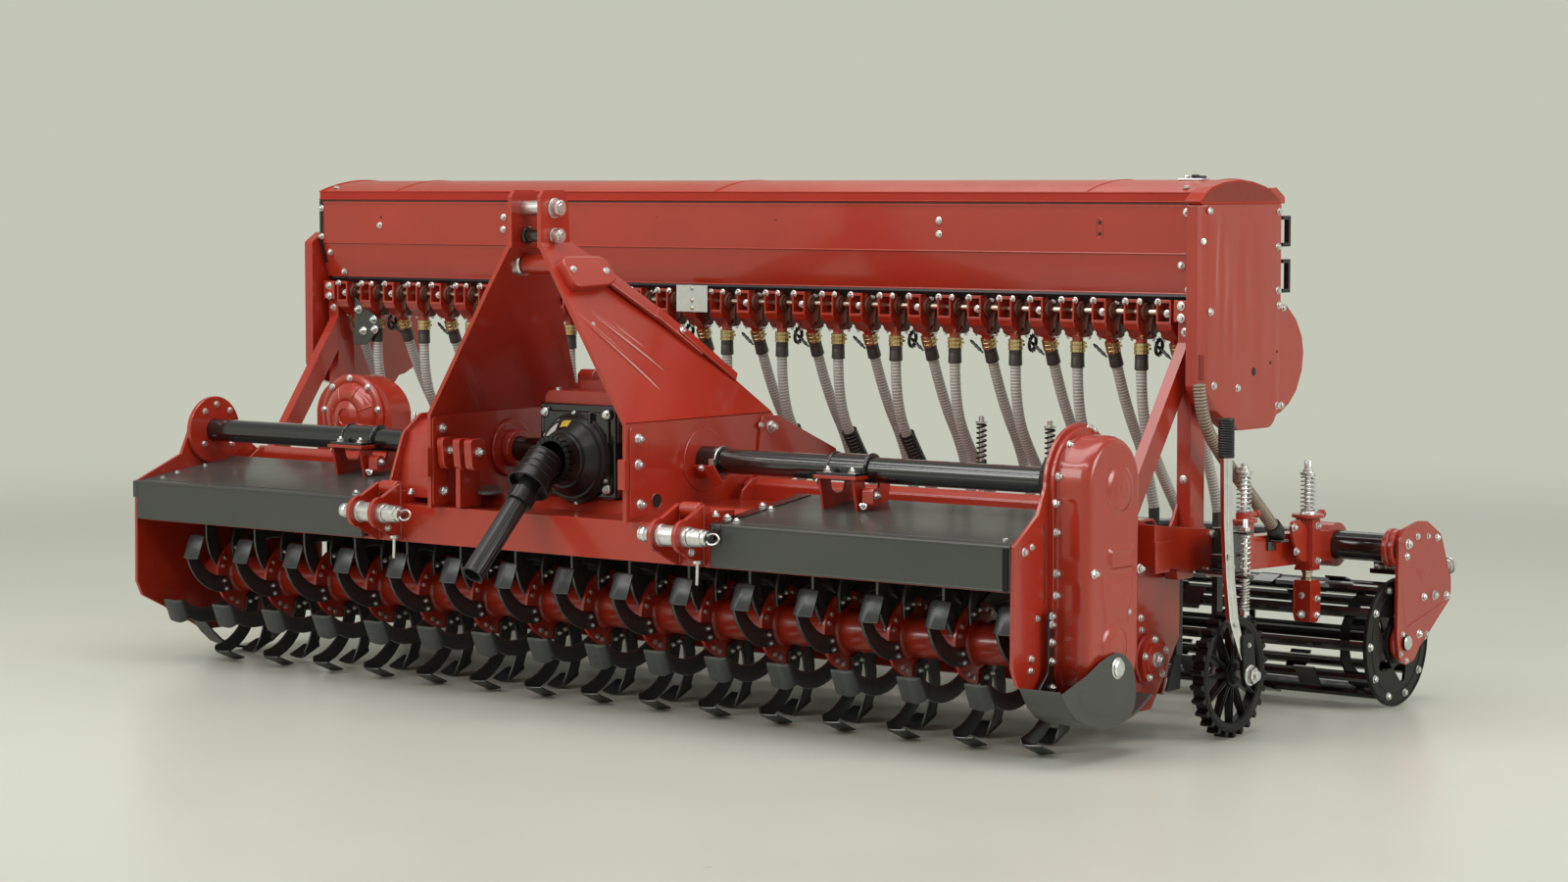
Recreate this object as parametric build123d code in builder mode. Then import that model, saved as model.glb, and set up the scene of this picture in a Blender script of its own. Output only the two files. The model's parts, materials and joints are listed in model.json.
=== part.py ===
from build123d import *
import math
import os

# Mounted seed drill: a rotary tiller with a cage roller carries a seed hopper over it.
# Millimetres. X runs across the machine, +Y to its rear, +Z up from the ground. While the pieces
# are drawn, Y is zero at the cross tube; frameShift moves the finished pieces so that the middle
# of the whole machine's box stands over the origin.

os.makedirs("parts", exist_ok=True)

# ---- overall sizes ----
halfWidth = 1500.0  # outer faces of the tiller's side plates
plateThick = 10.0
sheetThick = 6.0
coverThick = 4.0
seatGap = 0.3  # between a shaft and its hole
frameShift = -463.4

# ---- tiller ----
tubeHeight = 645.0
tubeRadius = 32.0
tubeFlange = 108.0
tubeFlangeLeft = 68.0
rotorY = -20.0
bladeReach = 252.0
bladesPerFlange = 8
rotorTubeRadius = 50.0
rotorStubRadius = 25.0
flangePitch = 197.0
flangeMargin = 120.0  # least room from an end flange to a side plate's outer face
flangeCount = int(2 * (halfWidth - flangeMargin) // flangePitch) + 1
flangeSideways = 30.0
flangeRadius = 100.0
flangeThick = 10.0
bladeThick = 8.0
bladeFoot = 66.0
footHalf = 36.0  # half of the foot's width at its outer face
footReach = bladeReach - 4
halfStep = math.pi / bladesPerFlange
rotorZ = footReach * math.cos(halfStep) + footHalf * math.sin(halfStep)  # two rows of feet stand
hoodTop = 535.0
hoodFront = -170.0
hoodBack = 440.0
beamDepth = 100.0
beamHeight = 100.0
beamWall = 12.0
beamTop = 505.0
beamFront = hoodFront - beamDepth
coverFront = -290.0
coverInner = 600.0

# ---- hitch ----
cheekX = 330.0
cheekThick = 12.0
cheekTop = 748.0
mastX = 44.0
mastFoot = 1198.0
mastTop = 1335.0
linkPinY = -250.0
linkPinHeights = (1289.0, 1219.0)
linkPinRadius = 12.7
lowerPinY = -344.0
lowerPinZ = 486.0
lowerPinRadius = 18.3
pinStub = 58.0
pinCollar = 15.0
innerStub = 42.0
innerCollar = 8.0
clevisX = 519.0
clevisGap = 66.0
clevisThick = 12.0

# ---- gearbox and drive shaft ----
driveZ = 640.0
gearboxHalf = 125.0
gearboxFront = -85.0
jointY = -232.0
shaftDroop = 45.0
crossRadius = 8.0
guardRadius = 27.0
guardLength = 385.0

# ---- gear case ----
caseThick = 100.0
caseY = -14.0
caseTopRadius = 119.0
caseLowRadius = 117.0
caseRim = 14.0
caseBoss = 12.0
plateLobe = 143.0
skidOut = 120.0
skidThick = 8.0

# ---- rear frame ----
armWidth = 55.0
armStart = 232.0
armStep = 560.0
beamRearY = 545.0
beamRearSize = 80.0
beamRearTop = 490.0
postWide = 40.0
postX = halfWidth - postWide / 2
postDeep = 66.0
postY = 517.0
rollerTubeY = 1130.0
rollerTubeZ = 412.0
rollerTubeRadius = 38.0
armEnd = rollerTubeY
armLug = 58.0

# ---- roller ----
rollerY = 1147.0
rollerRadius = 167.0
rollerBars = 10
rollerOverhang = 222.0  # from a side plate's outer face to the roller's end
rollerHalf = halfWidth + rollerOverhang
rollerZ = rollerRadius
rollerBarRadius = 13.0
rollerBarInset = 26.0
rollerBarCircle = rollerRadius - rollerBarInset
rollerRingInset = 92.0
rollerRings = (rollerRingInset - rollerHalf, 0.0, rollerHalf - rollerRingInset)
rollerDiscThick = 8.0
rollerAxleRadius = 20.0
endPlateThick = 10.0

# ---- ground wheel ----
wheelOffset = 150.0
wheelX = halfWidth + wheelOffset
wheelY = 425.0
leverOffset = 42.0  # from the wheel's middle plane to the lever's inner face
leverThick = 12.0
wheelRadius = 158.0
wheelTeeth = 24
wheelSpokes = 12
wheelWidth = 34.0
wheelZ = wheelRadius

# ---- hopper ----
hopperOverhang = 12.0
hopperHalf = halfWidth + hopperOverhang
hopperFront = 463.0
hopperBack = 845.0
hopperFloor = 1064.0
floorFront = 540.0
floorInset = 85.0
bendRise = 114.0  # heights above the hopper's floor
chinRise = 14.0
rimRise = 238.5
hopperBend = hopperFloor + bendRise
hopperRim = hopperFloor + rimRise
lidDeep = 26.5
lidBow = 32.0
lidTop = hopperRim + lidDeep
lidCrown = lidTop + lidBow
lidThick = 3.0
coverDeep = 48.0
coverProud = 8.0  # how far the side covers stand behind the hopper
lobeReach = 127.0

# ---- metering ----
unitPitch = 95.2
unitWidth = 60.0
unitMargin = 60.0
unitCount = int(2 * (halfWidth - unitMargin) // unitPitch) + 1
shaftY = 500.0
shaftDrop = 32.0
shaftZ = hopperFloor - shaftDrop
shaftRadius = 9.0
outletLean = 22.0
hoseSides = 6
outletDrop = 84.0
outletZ = hopperFloor - outletDrop
clipDrop = 26.0
clipLength = 30.0
cuffLength = 34.0
neckY = 520.0
neckSide = 22.0
hoseRadius = 14.5
cuffWall = 3.0
cuffRadius = hoseRadius + cuffWall
clipWall = 3.0
clipRadius = cuffRadius + clipWall
seedBarY = 655.0
seedBarSize = 60.0
seedBarTop = 470.0
seedTubeTop = 520.0
seedTubeWall = 1.5
seedTubeRadius = hoseRadius + seedTubeWall
tubeFlat = seedTubeRadius * math.cos(math.pi / hoseSides)  # from a tube's middle to its flats
frontTubeY = seedBarY + seedBarSize / 2 + tubeFlat
rearTubeY = frontTubeY + 38


def block(x0, x1, y0, y1, z0, z1, mode=Mode.ADD):
    with Locations(((x0 + x1) / 2, (y0 + y1) / 2, (z0 + z1) / 2)):
        Box(x1 - x0, y1 - y0, z1 - z0, mode=mode)


def rodX(x0, x1, y, z, radius, mode=Mode.ADD):
    with Locations(Location(((x0 + x1) / 2, y, z), (0, 90, 0))):
        Cylinder(radius, x1 - x0, mode=mode)


def rodY(x, y0, y1, z, radius, mode=Mode.ADD):
    with Locations(Location((x, (y0 + y1) / 2, z), (90, 0, 0))):
        Cylinder(radius, y1 - y0, mode=mode)


def rodZ(x, y, z0, z1, radius, mode=Mode.ADD):
    with Locations(Location((x, y, (z0 + z1) / 2))):
        Cylinder(radius, z1 - z0, mode=mode)


def outlineX(x0, x1, points, mode=Mode.ADD):
    # a closed outline in Y and Z, drawn out along X
    with BuildSketch(Plane.YZ.offset(x0)) as outline:
        with BuildLine():
            Polyline(*points, close=True)
        make_face()
    extrude(outline.sketch, amount=x1 - x0, mode=mode)


def sheetX(x0, x1, points, thick):
    # a bent sheet: an open path in Y and Z, thickened to its right-hand side
    with BuildSketch(Plane.YZ.offset(x0)) as section:
        with BuildLine():
            Polyline(*points)
            offset(amount=thick, side=Side.RIGHT, kind=Kind.INTERSECTION)
        make_face()
    extrude(section.sketch, amount=x1 - x0)


def finish(piece, name):
    made = piece.part.moved(Location((0, frameShift, 0)))
    made.label = name
    export_step(made, f"parts/{name}.step")


# ================= tiller =================

flangeX = [flangeSideways + flangePitch * (i - (flangeCount - 1) / 2) for i in range(flangeCount)]

plateFoot = [(-290, 231), (-270, 189), (-189, 150), (-40, 69), (310, 69), (438, 235), (438, 470), (230, 545)]
with BuildPart() as sidePlates:
    for x0, lobeY, lobe in ((-halfWidth, 0, 88), (halfWidth - plateThick, caseY, plateLobe)):
        with BuildSketch(Plane.YZ.offset(x0)) as plate:
            with BuildLine():
                Polyline(*plateFoot, (lobeY + lobe, tubeHeight), (lobeY - lobe, tubeHeight),
                         (lobeY - lobe - 30, tubeHeight - 62), (-287, 516), close=True)
            make_face()
            with Locations((lobeY, tubeHeight)):
                Circle(lobe)
            with Locations((0, tubeHeight)):
                Circle(tubeRadius + seatGap, mode=Mode.SUBTRACT)
            with Locations((rotorY, rotorZ)):
                Circle(rotorStubRadius + seatGap, mode=Mode.SUBTRACT)
        extrude(plate.sketch, amount=plateThick)
finish(sidePlates, "side_plates")

with BuildPart() as hood:
    sheetX(-halfWidth + plateThick, halfWidth - plateThick,
           [(hoodFront, beamTop), (hoodFront + 40, beamTop), (-90, hoodTop), (330, hoodTop),
            (430, 440), (hoodBack, 300)], sheetThick)
finish(hood, "hood")

# the front beam is an upright plate with a shelf behind its top edge
with BuildPart() as frontBeam:
    inner = halfWidth - plateThick
    block(-inner, inner, beamFront, beamFront + beamWall, beamTop - beamHeight, beamTop)
finish(frontBeam, "front_beam")

with BuildPart() as beamShelf:
    block(-inner, inner, beamFront + beamWall, hoodFront, beamTop - beamWall, beamTop)
finish(beamShelf, "beam_shelf")

with BuildPart() as frontCovers:
    for x0, x1 in ((-halfWidth + plateThick, -coverInner), (coverInner, halfWidth - plateThick)):
        sheetX(x0, x1, [(coverFront, 410), (coverFront, 515), (80, 565), (80, hoodTop)], coverThick)
    notch = halfWidth - plateThick
    block(notch - 30, notch, -tubeFlange, 200, 500, 600, mode=Mode.SUBTRACT)
finish(frontCovers, "front_covers")

with BuildPart() as crossTube:
    for side in (-1, 1):
        near = side * gearboxHalf
        far = side * halfWidth
        rodX(min(near, far), max(near, far), 0, tubeHeight, tubeRadius)
finish(crossTube, "cross_tubes")

with BuildPart() as tubeFlanges:
    inner = halfWidth - plateThick
    rodX(inner - 12, inner, 0, tubeHeight, tubeFlange)
    rodX(-inner, -inner + 12, 0, tubeHeight, tubeFlangeLeft)
    rodX(-inner, inner, 0, tubeHeight, tubeRadius + seatGap, mode=Mode.SUBTRACT)
finish(tubeFlanges, "tube_flanges")

with BuildPart() as rotorShaft:
    reach = (flangeCount - 1) / 2 * flangePitch + 70
    rodX(-reach, reach, rotorY, rotorZ, rotorTubeRadius)
    rodX(-halfWidth - 18, halfWidth + 18, rotorY, rotorZ, rotorStubRadius)
finish(rotorShaft, "rotor_shaft")

with BuildPart() as rotorFlanges:
    with BuildSketch(Plane.YZ) as flange:
        with Locations((rotorY, rotorZ)):
            RegularPolygon(flangeRadius, bladesPerFlange * 2)
            Circle(rotorTubeRadius, mode=Mode.SUBTRACT)
    disc = extrude(flange.sketch, amount=flangeThick / 2, both=True, mode=Mode.PRIVATE)
    with Locations(*[(x, 0, 0) for x in flangeX]):
        add(disc)
finish(rotorFlanges, "rotor_flanges")

# one blade: a curved shank flat on the flange's face, then a foot turned through a right angle.
# Each station is a radius, the degrees it trails the foot by, and the shank's half width there
bladeStations = [(68, 46, 24), (120, 35, 25), (180, 18, 27), (footReach, 0, 30)]
shankFront = []
shankBack = []
for radius, trail, half in bladeStations:
    side = math.radians(trail)
    middle = Vector(-math.sin(side), math.cos(side)) * radius
    across = Vector(math.cos(side), math.sin(side)) * half
    front = middle + across
    back = middle - across
    shankFront.append((front.X, front.Y))
    shankBack.append((back.X, back.Y))
with BuildPart() as blade:
    outlineX(flangeThick / 2, flangeThick / 2 + bladeThick, shankFront + shankBack[::-1])
with BuildPart() as foot:
    block(flangeThick / 2 + bladeThick, flangeThick / 2 + bladeFoot, -footHalf, footHalf,
          footReach - bladeThick, footReach)

step = 360 / bladesPerFlange
straight = []
turned = []
for x in flangeX:
    for i in range(bladesPerFlange):
        spot = Location((x, rotorY, rotorZ), (step * (i + 0.5), 0, 0))
        if i % 2:
            straight.append(spot)
        else:
            turned.append(spot)
for name, half in (("rotor_blades", blade), ("blade_feet", foot)):
    with BuildPart() as bladeRows:
        with Locations(*straight):
            add(half.part)
        with Locations(*turned):
            add(mirror(half.part, about=Plane.YZ, mode=Mode.PRIVATE))
    finish(bladeRows, name)

with BuildPart() as bearingFlanges:
    rodX(-halfWidth - 40, -halfWidth, rotorY, rotorZ, 62)
    rodX(-halfWidth - 20, -halfWidth, rotorY, rotorZ, rotorStubRadius + seatGap, mode=Mode.SUBTRACT)
    rodX(halfWidth, halfWidth + 26, 285, 196, 58)
finish(bearingFlanges, "bearing_flanges")

with BuildPart() as gearCase:
    inner = halfWidth + caseThick
    for inset, x0, x1 in ((-caseRim, halfWidth, halfWidth + 14), (0, halfWidth, inner - 16),
                          (8, inner - 16, inner - 8), (16, inner - 8, inner)):
        with BuildSketch(Plane.YZ.offset(x0)) as case:
            with Locations((caseY, tubeHeight)):
                Circle(caseTopRadius - inset)
            with Locations((caseY, rotorZ)):
                Circle(caseLowRadius - inset)
            make_hull()
        extrude(case.sketch, amount=x1 - x0)
    rodX(halfWidth, halfWidth + 22, rotorY, rotorZ, rotorStubRadius + seatGap, mode=Mode.SUBTRACT)
    rodX(inner, inner + caseBoss, caseY + 8, tubeHeight - 8, 46)
    block(inner, inner + 8, caseY - 46, caseY + 66, 448, 496)
finish(gearCase, "gear_case")

# the skids: a shoe under the gear case and a plain sole under the other side
soleLine = [(-262, 178), (-200, 104), (-64, 78), (73, 98), (132, 131)]
with BuildPart() as skids:
    outer = halfWidth + skidOut
    outlineX(outer - skidThick, outer,
             [(-262, 178), (-148, 214), (-60, 246), (-29, 254), (10, 240), (50, 207), (62, 166),
              (132, 131), (73, 98), (-64, 78), (-200, 104)])
    sheetX(halfWidth, outer - skidThick, soleLine[::-1], skidThick)
    sheetX(-halfWidth - 60, -halfWidth, soleLine[::-1], skidThick)
finish(skids, "skids")

# ================= hitch =================

clevisSides = [side * clevisX + leaf * (clevisGap + clevisThick) / 2
               for side in (-1, 1) for leaf in (-1, 1)]

with BuildPart() as clevises:
    for x in clevisSides:
        with BuildSketch(Plane.YZ.offset(x - clevisThick / 2)) as ear:
            with BuildLine():
                Polyline((beamFront, 405), (beamFront, 560), (lowerPinY + 10, 530),
                         (lowerPinY - 40, lowerPinZ), (lowerPinY, 440), close=True)
            make_face()
            with Locations((lowerPinY, lowerPinZ)):
                Circle(42)
                Circle(lowerPinRadius + seatGap, mode=Mode.SUBTRACT)
        extrude(ear.sketch, amount=clevisThick)
finish(clevises, "lower_hitch_clevises")

with BuildPart() as lowerPins:
    ear = clevisGap / 2 + clevisThick
    for side in (-1, 1):
        x = side * clevisX
        rodX(x - ear - innerCollar - innerStub, x + ear + pinCollar + pinStub, lowerPinY, lowerPinZ,
             lowerPinRadius)
        rodX(x + ear, x + ear + pinCollar, lowerPinY, lowerPinZ, lowerPinRadius + 8)
        rodX(x - ear - innerCollar, x - ear, lowerPinY, lowerPinZ, lowerPinRadius + 8)
finish(lowerPins, "lower_hitch_pins")


def headstock(side):
    slope = math.hypot(cheekX - mastX, mastFoot - cheekTop)
    leanX = -(cheekX - mastX) / slope
    leanZ = (mastFoot - cheekTop) / slope
    if side > 0:
        leg = Plane(origin=(cheekX, 0, cheekTop), x_dir=(0, 1, 0), z_dir=(leanZ, 0, -leanX))
    else:
        leg = Plane(origin=(-cheekX, 0, cheekTop), x_dir=(0, -1, 0), z_dir=(-leanZ, 0, -leanX))
    x0 = cheekX if side > 0 else -cheekX - cheekThick
    m0 = mastX if side > 0 else -mastX - cheekThick
    outlineX(x0, x0 + cheekThick,
             [(-306, beamTop), (hoodFront + 40, beamTop), (-90, hoodTop), (300, hoodTop),
              (320, 690), (285, cheekTop + 4), (-306, cheekTop + 4)])
    rodX(x0 - 1, x0 + cheekThick + 1, 0, tubeHeight, tubeRadius + seatGap, mode=Mode.SUBTRACT)
    with BuildSketch(leg) as web:
        with BuildLine():
            Polyline(*[(side * u, v) for u, v in
                       ((-306, 0), (285, 0), (-95, 455), (-150, 500), (-190, slope + 2),
                        (-302, slope + 2), (-306, 400))], close=True)
        make_face()
    extrude(web.sketch, amount=cheekThick)
    with BuildSketch(Plane.YZ.offset(m0)) as head:
        with BuildLine():
            Polyline((-302, mastFoot - 10), (-190, mastFoot - 10), (-197, 1300), (-212, mastTop),
                     (-288, mastTop), (-302, 1318), close=True)
        make_face()
        with Locations(*[(linkPinY, z) for z in linkPinHeights]):
            Circle(linkPinRadius + seatGap, mode=Mode.SUBTRACT)
    extrude(head.sketch, amount=cheekThick)


with BuildPart() as headstockRight:
    headstock(1)
finish(headstockRight, "headstock_right")

with BuildPart() as headstockLeft:
    headstock(-1)
finish(headstockLeft, "headstock_left")

with BuildPart() as topPins:
    for z in linkPinHeights:
        rodX(-mastX - cheekThick - 10, mastX + cheekThick + 10, linkPinY, z, linkPinRadius)
        rodX(mastX + cheekThick + 10, mastX + cheekThick + 22, linkPinY, z, linkPinRadius + 6)
        rodX(-mastX - cheekThick - 22, -mastX - cheekThick - 10, linkPinY, z, linkPinRadius + 6)
finish(topPins, "top_link_pins")

spacerZ = 1145.0
spacerHalf = cheekX - (cheekX - mastX) * (spacerZ + 26 - cheekTop) / (mastFoot - cheekTop)
with BuildPart() as mastSpacer:
    rodX(-spacerHalf, spacerHalf, -225, spacerZ, 25)
finish(mastSpacer, "mast_spacer")

# ================= gearbox and drive shaft =================

with BuildPart() as gearbox:
    block(-gearboxHalf, gearboxHalf, gearboxFront, 175, hoodTop, 812)
    fillet(gearbox.edges().filter_by(Axis.Y), 22)
    block(-60, 60, -20, 120, 812, 836)
    rodZ(40, 60, 836, 858, 14)
finish(gearbox, "gearbox")

with BuildPart() as gearboxPlate:
    block(-126, 126, gearboxFront - 15, gearboxFront, 540, 776)
    fillet(gearboxPlate.edges().filter_by(Axis.Y), 24)
    rodY(0, jointY + 27, gearboxFront - 15, driveZ, 22)
    for x0 in (-31, 21):
        block(x0, x0 + 10, jointY - 13, jointY + 30, driveZ - 13, driveZ + 13)
    rodX(-40, 40, jointY, driveZ, crossRadius + seatGap, mode=Mode.SUBTRACT)
finish(gearboxPlate, "gearbox_plate")

with BuildPart() as shaftShield:
    with BuildSketch(Plane.YZ) as shieldSection:
        with BuildLine():
            Polyline((gearboxFront - 15, driveZ + 105), (gearboxFront - 33, driveZ + 111),
                     (gearboxFront - 80, driveZ + 66), (gearboxFront - 100, driveZ + 60),
                     (gearboxFront - 100, driveZ + 55), (gearboxFront - 79, driveZ + 61),
                     (gearboxFront - 33, driveZ + 105), (gearboxFront - 15, driveZ + 99), close=True)
        make_face()
    revolve(shieldSection.sketch, axis=Axis((0, 0, driveZ), (0, 1, 0)), revolution_arc=360)
finish(shaftShield, "drive_shaft_shield")

# the drive shaft's guard leaves the joint at a droop below the horizontal
droop = math.radians(shaftDroop)
shaftPlane = Plane(origin=(0, jointY, driveZ), x_dir=(1, 0, 0),
                   z_dir=(0, -math.cos(droop), -math.sin(droop)))

with BuildPart() as shaftBell:
    with BuildSketch(Plane(origin=shaftPlane.origin, x_dir=shaftPlane.z_dir,
                           z_dir=(1, 0, 0))) as bellSection:
        with BuildLine():
            Polyline((-12, 44), (-12, 47), (30, 49), (88, 56), (88, 53), (70, 50), (70, guardRadius),
                     (64, guardRadius), (64, 49), (30, 46), close=True)
        make_face()
    revolve(bellSection.sketch, axis=Axis((0, jointY, driveZ), tuple(shaftPlane.z_dir)),
            revolution_arc=360)
finish(shaftBell, "drive_shaft_bell")

with BuildPart() as shaftGuard:
    with BuildSketch(shaftPlane.offset(40)) as guardEnd:
        Circle(guardRadius)
        Circle(guardRadius - 5, mode=Mode.SUBTRACT)
    extrude(guardEnd.sketch, amount=guardLength - 40)
    with BuildSketch(shaftPlane.offset(110)) as collar:
        Circle(guardRadius + 8)
        Circle(guardRadius - 2, mode=Mode.SUBTRACT)
    extrude(collar.sketch, amount=36)
    with BuildSketch(shaftPlane) as yoke:
        Circle(18)
    extrude(yoke.sketch, amount=70)
    with BuildSketch(shaftPlane.offset(44)) as bulkhead:
        Circle(guardRadius - 1)
    extrude(bulkhead.sketch, amount=14)
    rodX(-31, 31, jointY, driveZ, crossRadius)
finish(shaftGuard, "drive_shaft_guard")

# ================= rear frame =================


def armZ(y):
    # top edge of the side arm
    return 530 - (y - armStart) * 0.115


with BuildPart() as sideArms:
    for x0 in (halfWidth, -halfWidth - armWidth):
        with BuildSketch(Plane.YZ.offset(x0)) as arm:
            with BuildLine():
                Polyline((armStart, armZ(armStart) - 102), (armStart, armZ(armStart)),
                         (armStep, armZ(armStep)), (armStep, armZ(armStep) - 20),
                         (armEnd, rollerTubeZ + 38), (armEnd, rollerTubeZ - 40),
                         (armStep, armZ(armStep) - 106), close=True)
            make_face()
            with Locations((armEnd, rollerTubeZ)):
                Circle(armLug)
        extrude(arm.sketch, amount=armWidth)
        rodX(x0, x0 + armWidth, rollerTubeY, rollerTubeZ, rollerTubeRadius + seatGap, mode=Mode.SUBTRACT)
finish(sideArms, "side_arms")

with BuildPart() as rearBeam:
    block(-halfWidth, halfWidth, beamRearY - beamRearSize / 2, beamRearY + beamRearSize / 2,
          beamRearTop - beamRearSize, beamRearTop)
finish(rearBeam, "rear_beam")

with BuildPart() as posts:
    for x in (-postX, postX):
        block(x - postWide / 2, x + postWide / 2, postY - postDeep / 2, postY + postDeep / 2,
              beamRearTop, hopperFloor)
        rodX(x - postWide, x + postWide, shaftY, shaftZ, shaftRadius + seatGap, mode=Mode.SUBTRACT)
finish(posts, "hopper_posts")

with BuildPart() as braces:
    for x in (-postX, postX):
        inner = math.copysign(min(abs(x) + 20, halfWidth - plateThick), x)
        outlineX(min(x - math.copysign(20, x), inner), max(x - math.copysign(20, x), inner),
                 [(postY - postDeep / 2, hopperFloor - 104),
                  (postY - postDeep / 2, hopperFloor - 204), (250, hoodTop),
                  (180, hoodTop)])
finish(braces, "hopper_braces")

with BuildPart() as seedBar:
    block(-halfWidth, halfWidth, seedBarY - seedBarSize / 2, seedBarY + seedBarSize / 2,
          seedBarTop - seedBarSize, seedBarTop)
finish(seedBar, "seed_bar")

# ================= roller =================

with BuildPart() as rollerTube:
    rodX(-rollerHalf - 16, rollerHalf + 16, rollerTubeY, rollerTubeZ, rollerTubeRadius)
finish(rollerTube, "roller_frame_tube")

with BuildPart() as rollerEnds:
    for side in (-1, 1):
        x0 = side * (rollerHalf + 16) if side > 0 else -rollerHalf - 16 - endPlateThick
        with BuildSketch(Plane.YZ.offset(x0)) as endPlate:
            with BuildLine():
                Polyline((1140, 465), (1204, 477), (1258, 473), (1333, 434), (1367, 361),
                         (1390, 315), (1390, 262), (rollerY + 68, rollerZ - 22),
                         (rollerY + 43, rollerZ - 49), (rollerY + 3, rollerZ - 57),
                         (rollerY - 32, rollerZ - 42), (rollerY - 47, rollerZ + 18),
                         (1104, 438), close=True)
            make_face()
            with Locations((rollerY, rollerZ)):
                Circle(rollerAxleRadius + seatGap, mode=Mode.SUBTRACT)
        extrude(endPlate.sketch, amount=endPlateThick)
        inner = side * (rollerHalf + 16)
        near = side * (rollerHalf + 4)
        rodX(min(near, inner), max(near, inner), rollerTubeY, rollerTubeZ, rollerTubeRadius + 12)
        rodX(min(near, inner), max(near, inner), rollerTubeY, rollerTubeZ, rollerTubeRadius + seatGap,
             mode=Mode.SUBTRACT)
        near = side * (rollerHalf + 8)
        rodX(min(near, inner), max(near, inner), rollerY, rollerZ, rollerAxleRadius + 16)
        rodX(min(near, inner), max(near, inner), rollerY, rollerZ, rollerAxleRadius + seatGap,
             mode=Mode.SUBTRACT)
        lug = side * (rollerHalf - 4)
        block(min(lug, inner), max(lug, inner), 1345, 1385, 330, 356)
finish(rollerEnds, "roller_end_plates")

with BuildPart() as roller:
    rodX(-rollerHalf - 32, rollerHalf + 32, rollerY, rollerZ, rollerAxleRadius)
    for x0 in (-rollerHalf, rollerHalf - rollerDiscThick):
        with BuildSketch(Plane.YZ.offset(x0)) as disc:
            with Locations((rollerY, rollerZ)):
                Circle(rollerRadius)
                with PolarLocations(85, 5):
                    Trapezoid(74, 52, 62, rotation=-90, mode=Mode.SUBTRACT)
        extrude(disc.sketch, amount=rollerDiscThick)
finish(roller, "roller_cage")

# the bars are eight-sided, and each lays one flat on the inner rings' ten flats
with BuildPart() as bars:
    with BuildSketch(Plane.YZ.offset(rollerDiscThick - rollerHalf)) as barEnds:
        with Locations((rollerY, rollerZ)):
            with PolarLocations(rollerBarCircle, rollerBars):
                RegularPolygon(rollerBarRadius, 8, major_radius=False, rotation=22.5)
    extrude(barEnds.sketch, amount=2 * (rollerHalf - rollerDiscThick))
finish(bars, "roller_bars")

with BuildPart() as rings:
    with BuildSketch(Plane.YZ.offset(-3)) as ringSketch:
        with Locations((rollerY, rollerZ)):
            RegularPolygon(rollerBarCircle - rollerBarRadius, rollerBars, major_radius=False,
                           rotation=180 / rollerBars)
            RegularPolygon(rollerBarCircle - rollerBarRadius - 34, rollerBars, mode=Mode.SUBTRACT)
    ring = extrude(ringSketch.sketch, amount=6, mode=Mode.PRIVATE)
    with Locations(*[(x, 0, 0) for x in rollerRings]):
        add(ring)
finish(rings, "roller_rings")

# ================= ground wheel =================

with BuildPart() as groundWheel:
    with BuildSketch(Plane.YZ.offset(wheelX - wheelWidth / 2)) as rim:
        with Locations((wheelY, wheelZ)):
            Circle(wheelRadius - 14)
            Circle(wheelRadius - 24, mode=Mode.SUBTRACT)
    extrude(rim.sketch, amount=wheelWidth)
    with BuildSketch(Plane.YZ.offset(wheelX - 6)) as web:
        with Locations((wheelY, wheelZ)):
            with PolarLocations(wheelRadius - 9, wheelTeeth):
                Rectangle(18, 12)
            with PolarLocations((wheelRadius - 10) / 2, wheelSpokes):
                Rectangle(wheelRadius - 30, 9)
            Circle(34)
    extrude(web.sketch, amount=12)
    rodX(wheelX - 26, wheelX + 26, wheelY, wheelZ, 24)
    rodX(wheelX - 26, wheelX + 26, wheelY, wheelZ, 12 + seatGap, mode=Mode.SUBTRACT)
finish(groundWheel, "ground_wheel")

# the lever stands outside the wheel and carries its axle
leverX = wheelX + leverOffset
leverTop = 700.0
gripY = wheelY - 90
with BuildPart() as wheelLever:
    outlineX(leverX, leverX + leverThick,
             [(gripY - 20, leverTop), (gripY + 20, leverTop), (wheelY - 52, 345), (wheelY + 3, 228),
              (wheelY + 26, wheelZ + 30), (wheelY + 26, wheelZ - 26), (wheelY - 26, wheelZ - 26),
              (wheelY - 30, 228), (wheelY - 94, 345)])
    rodX(wheelX - 38, leverX, wheelY, wheelZ, 12)
    rodX(leverX + leverThick, leverX + leverThick + 14, wheelY, wheelZ, 16)
finish(wheelLever, "wheel_lever")

with BuildPart() as wheelGrip:
    rodZ(leverX + leverThick / 2, gripY, leverTop, leverTop + 90, 20)
finish(wheelGrip, "wheel_lever_grip")

bracketY = wheelY - 30
with BuildPart() as wheelBracket:
    block(halfWidth + armWidth, leverX, bracketY - 62, bracketY + 62, 408, 506)
finish(wheelBracket, "wheel_bracket")

# ================= depth adjusters =================

adjusterY = 932.0
adjusterHalf = 22.0
screwRadius = 9.0
with BuildPart() as adjusters:
    for side in (-1, 1):
        x = side * (halfWidth + armWidth + adjusterHalf)
        near = adjusterHalf
        block(x - near, x + near, adjusterY - near, adjusterY + near, 366, 500)
        block(x - near, x + near, adjusterY - near - 16, adjusterY + near + 16, 500, 508)
        block(x - near, x + near, adjusterY - near, adjusterY + near, 232, 338)
finish(adjusters, "depth_adjusters")

with BuildPart() as adjusterScrews:
    for side in (-1, 1):
        x = side * (halfWidth + armWidth + adjusterHalf)
        rodZ(x, adjusterY, 338, 366, screwRadius)
        rodZ(x, adjusterY, 508, 640, screwRadius)
        rodY(side * (rollerHalf + 6), 1385, 1450, 343, screwRadius)
finish(adjusterScrews, "adjuster_screws")

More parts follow.
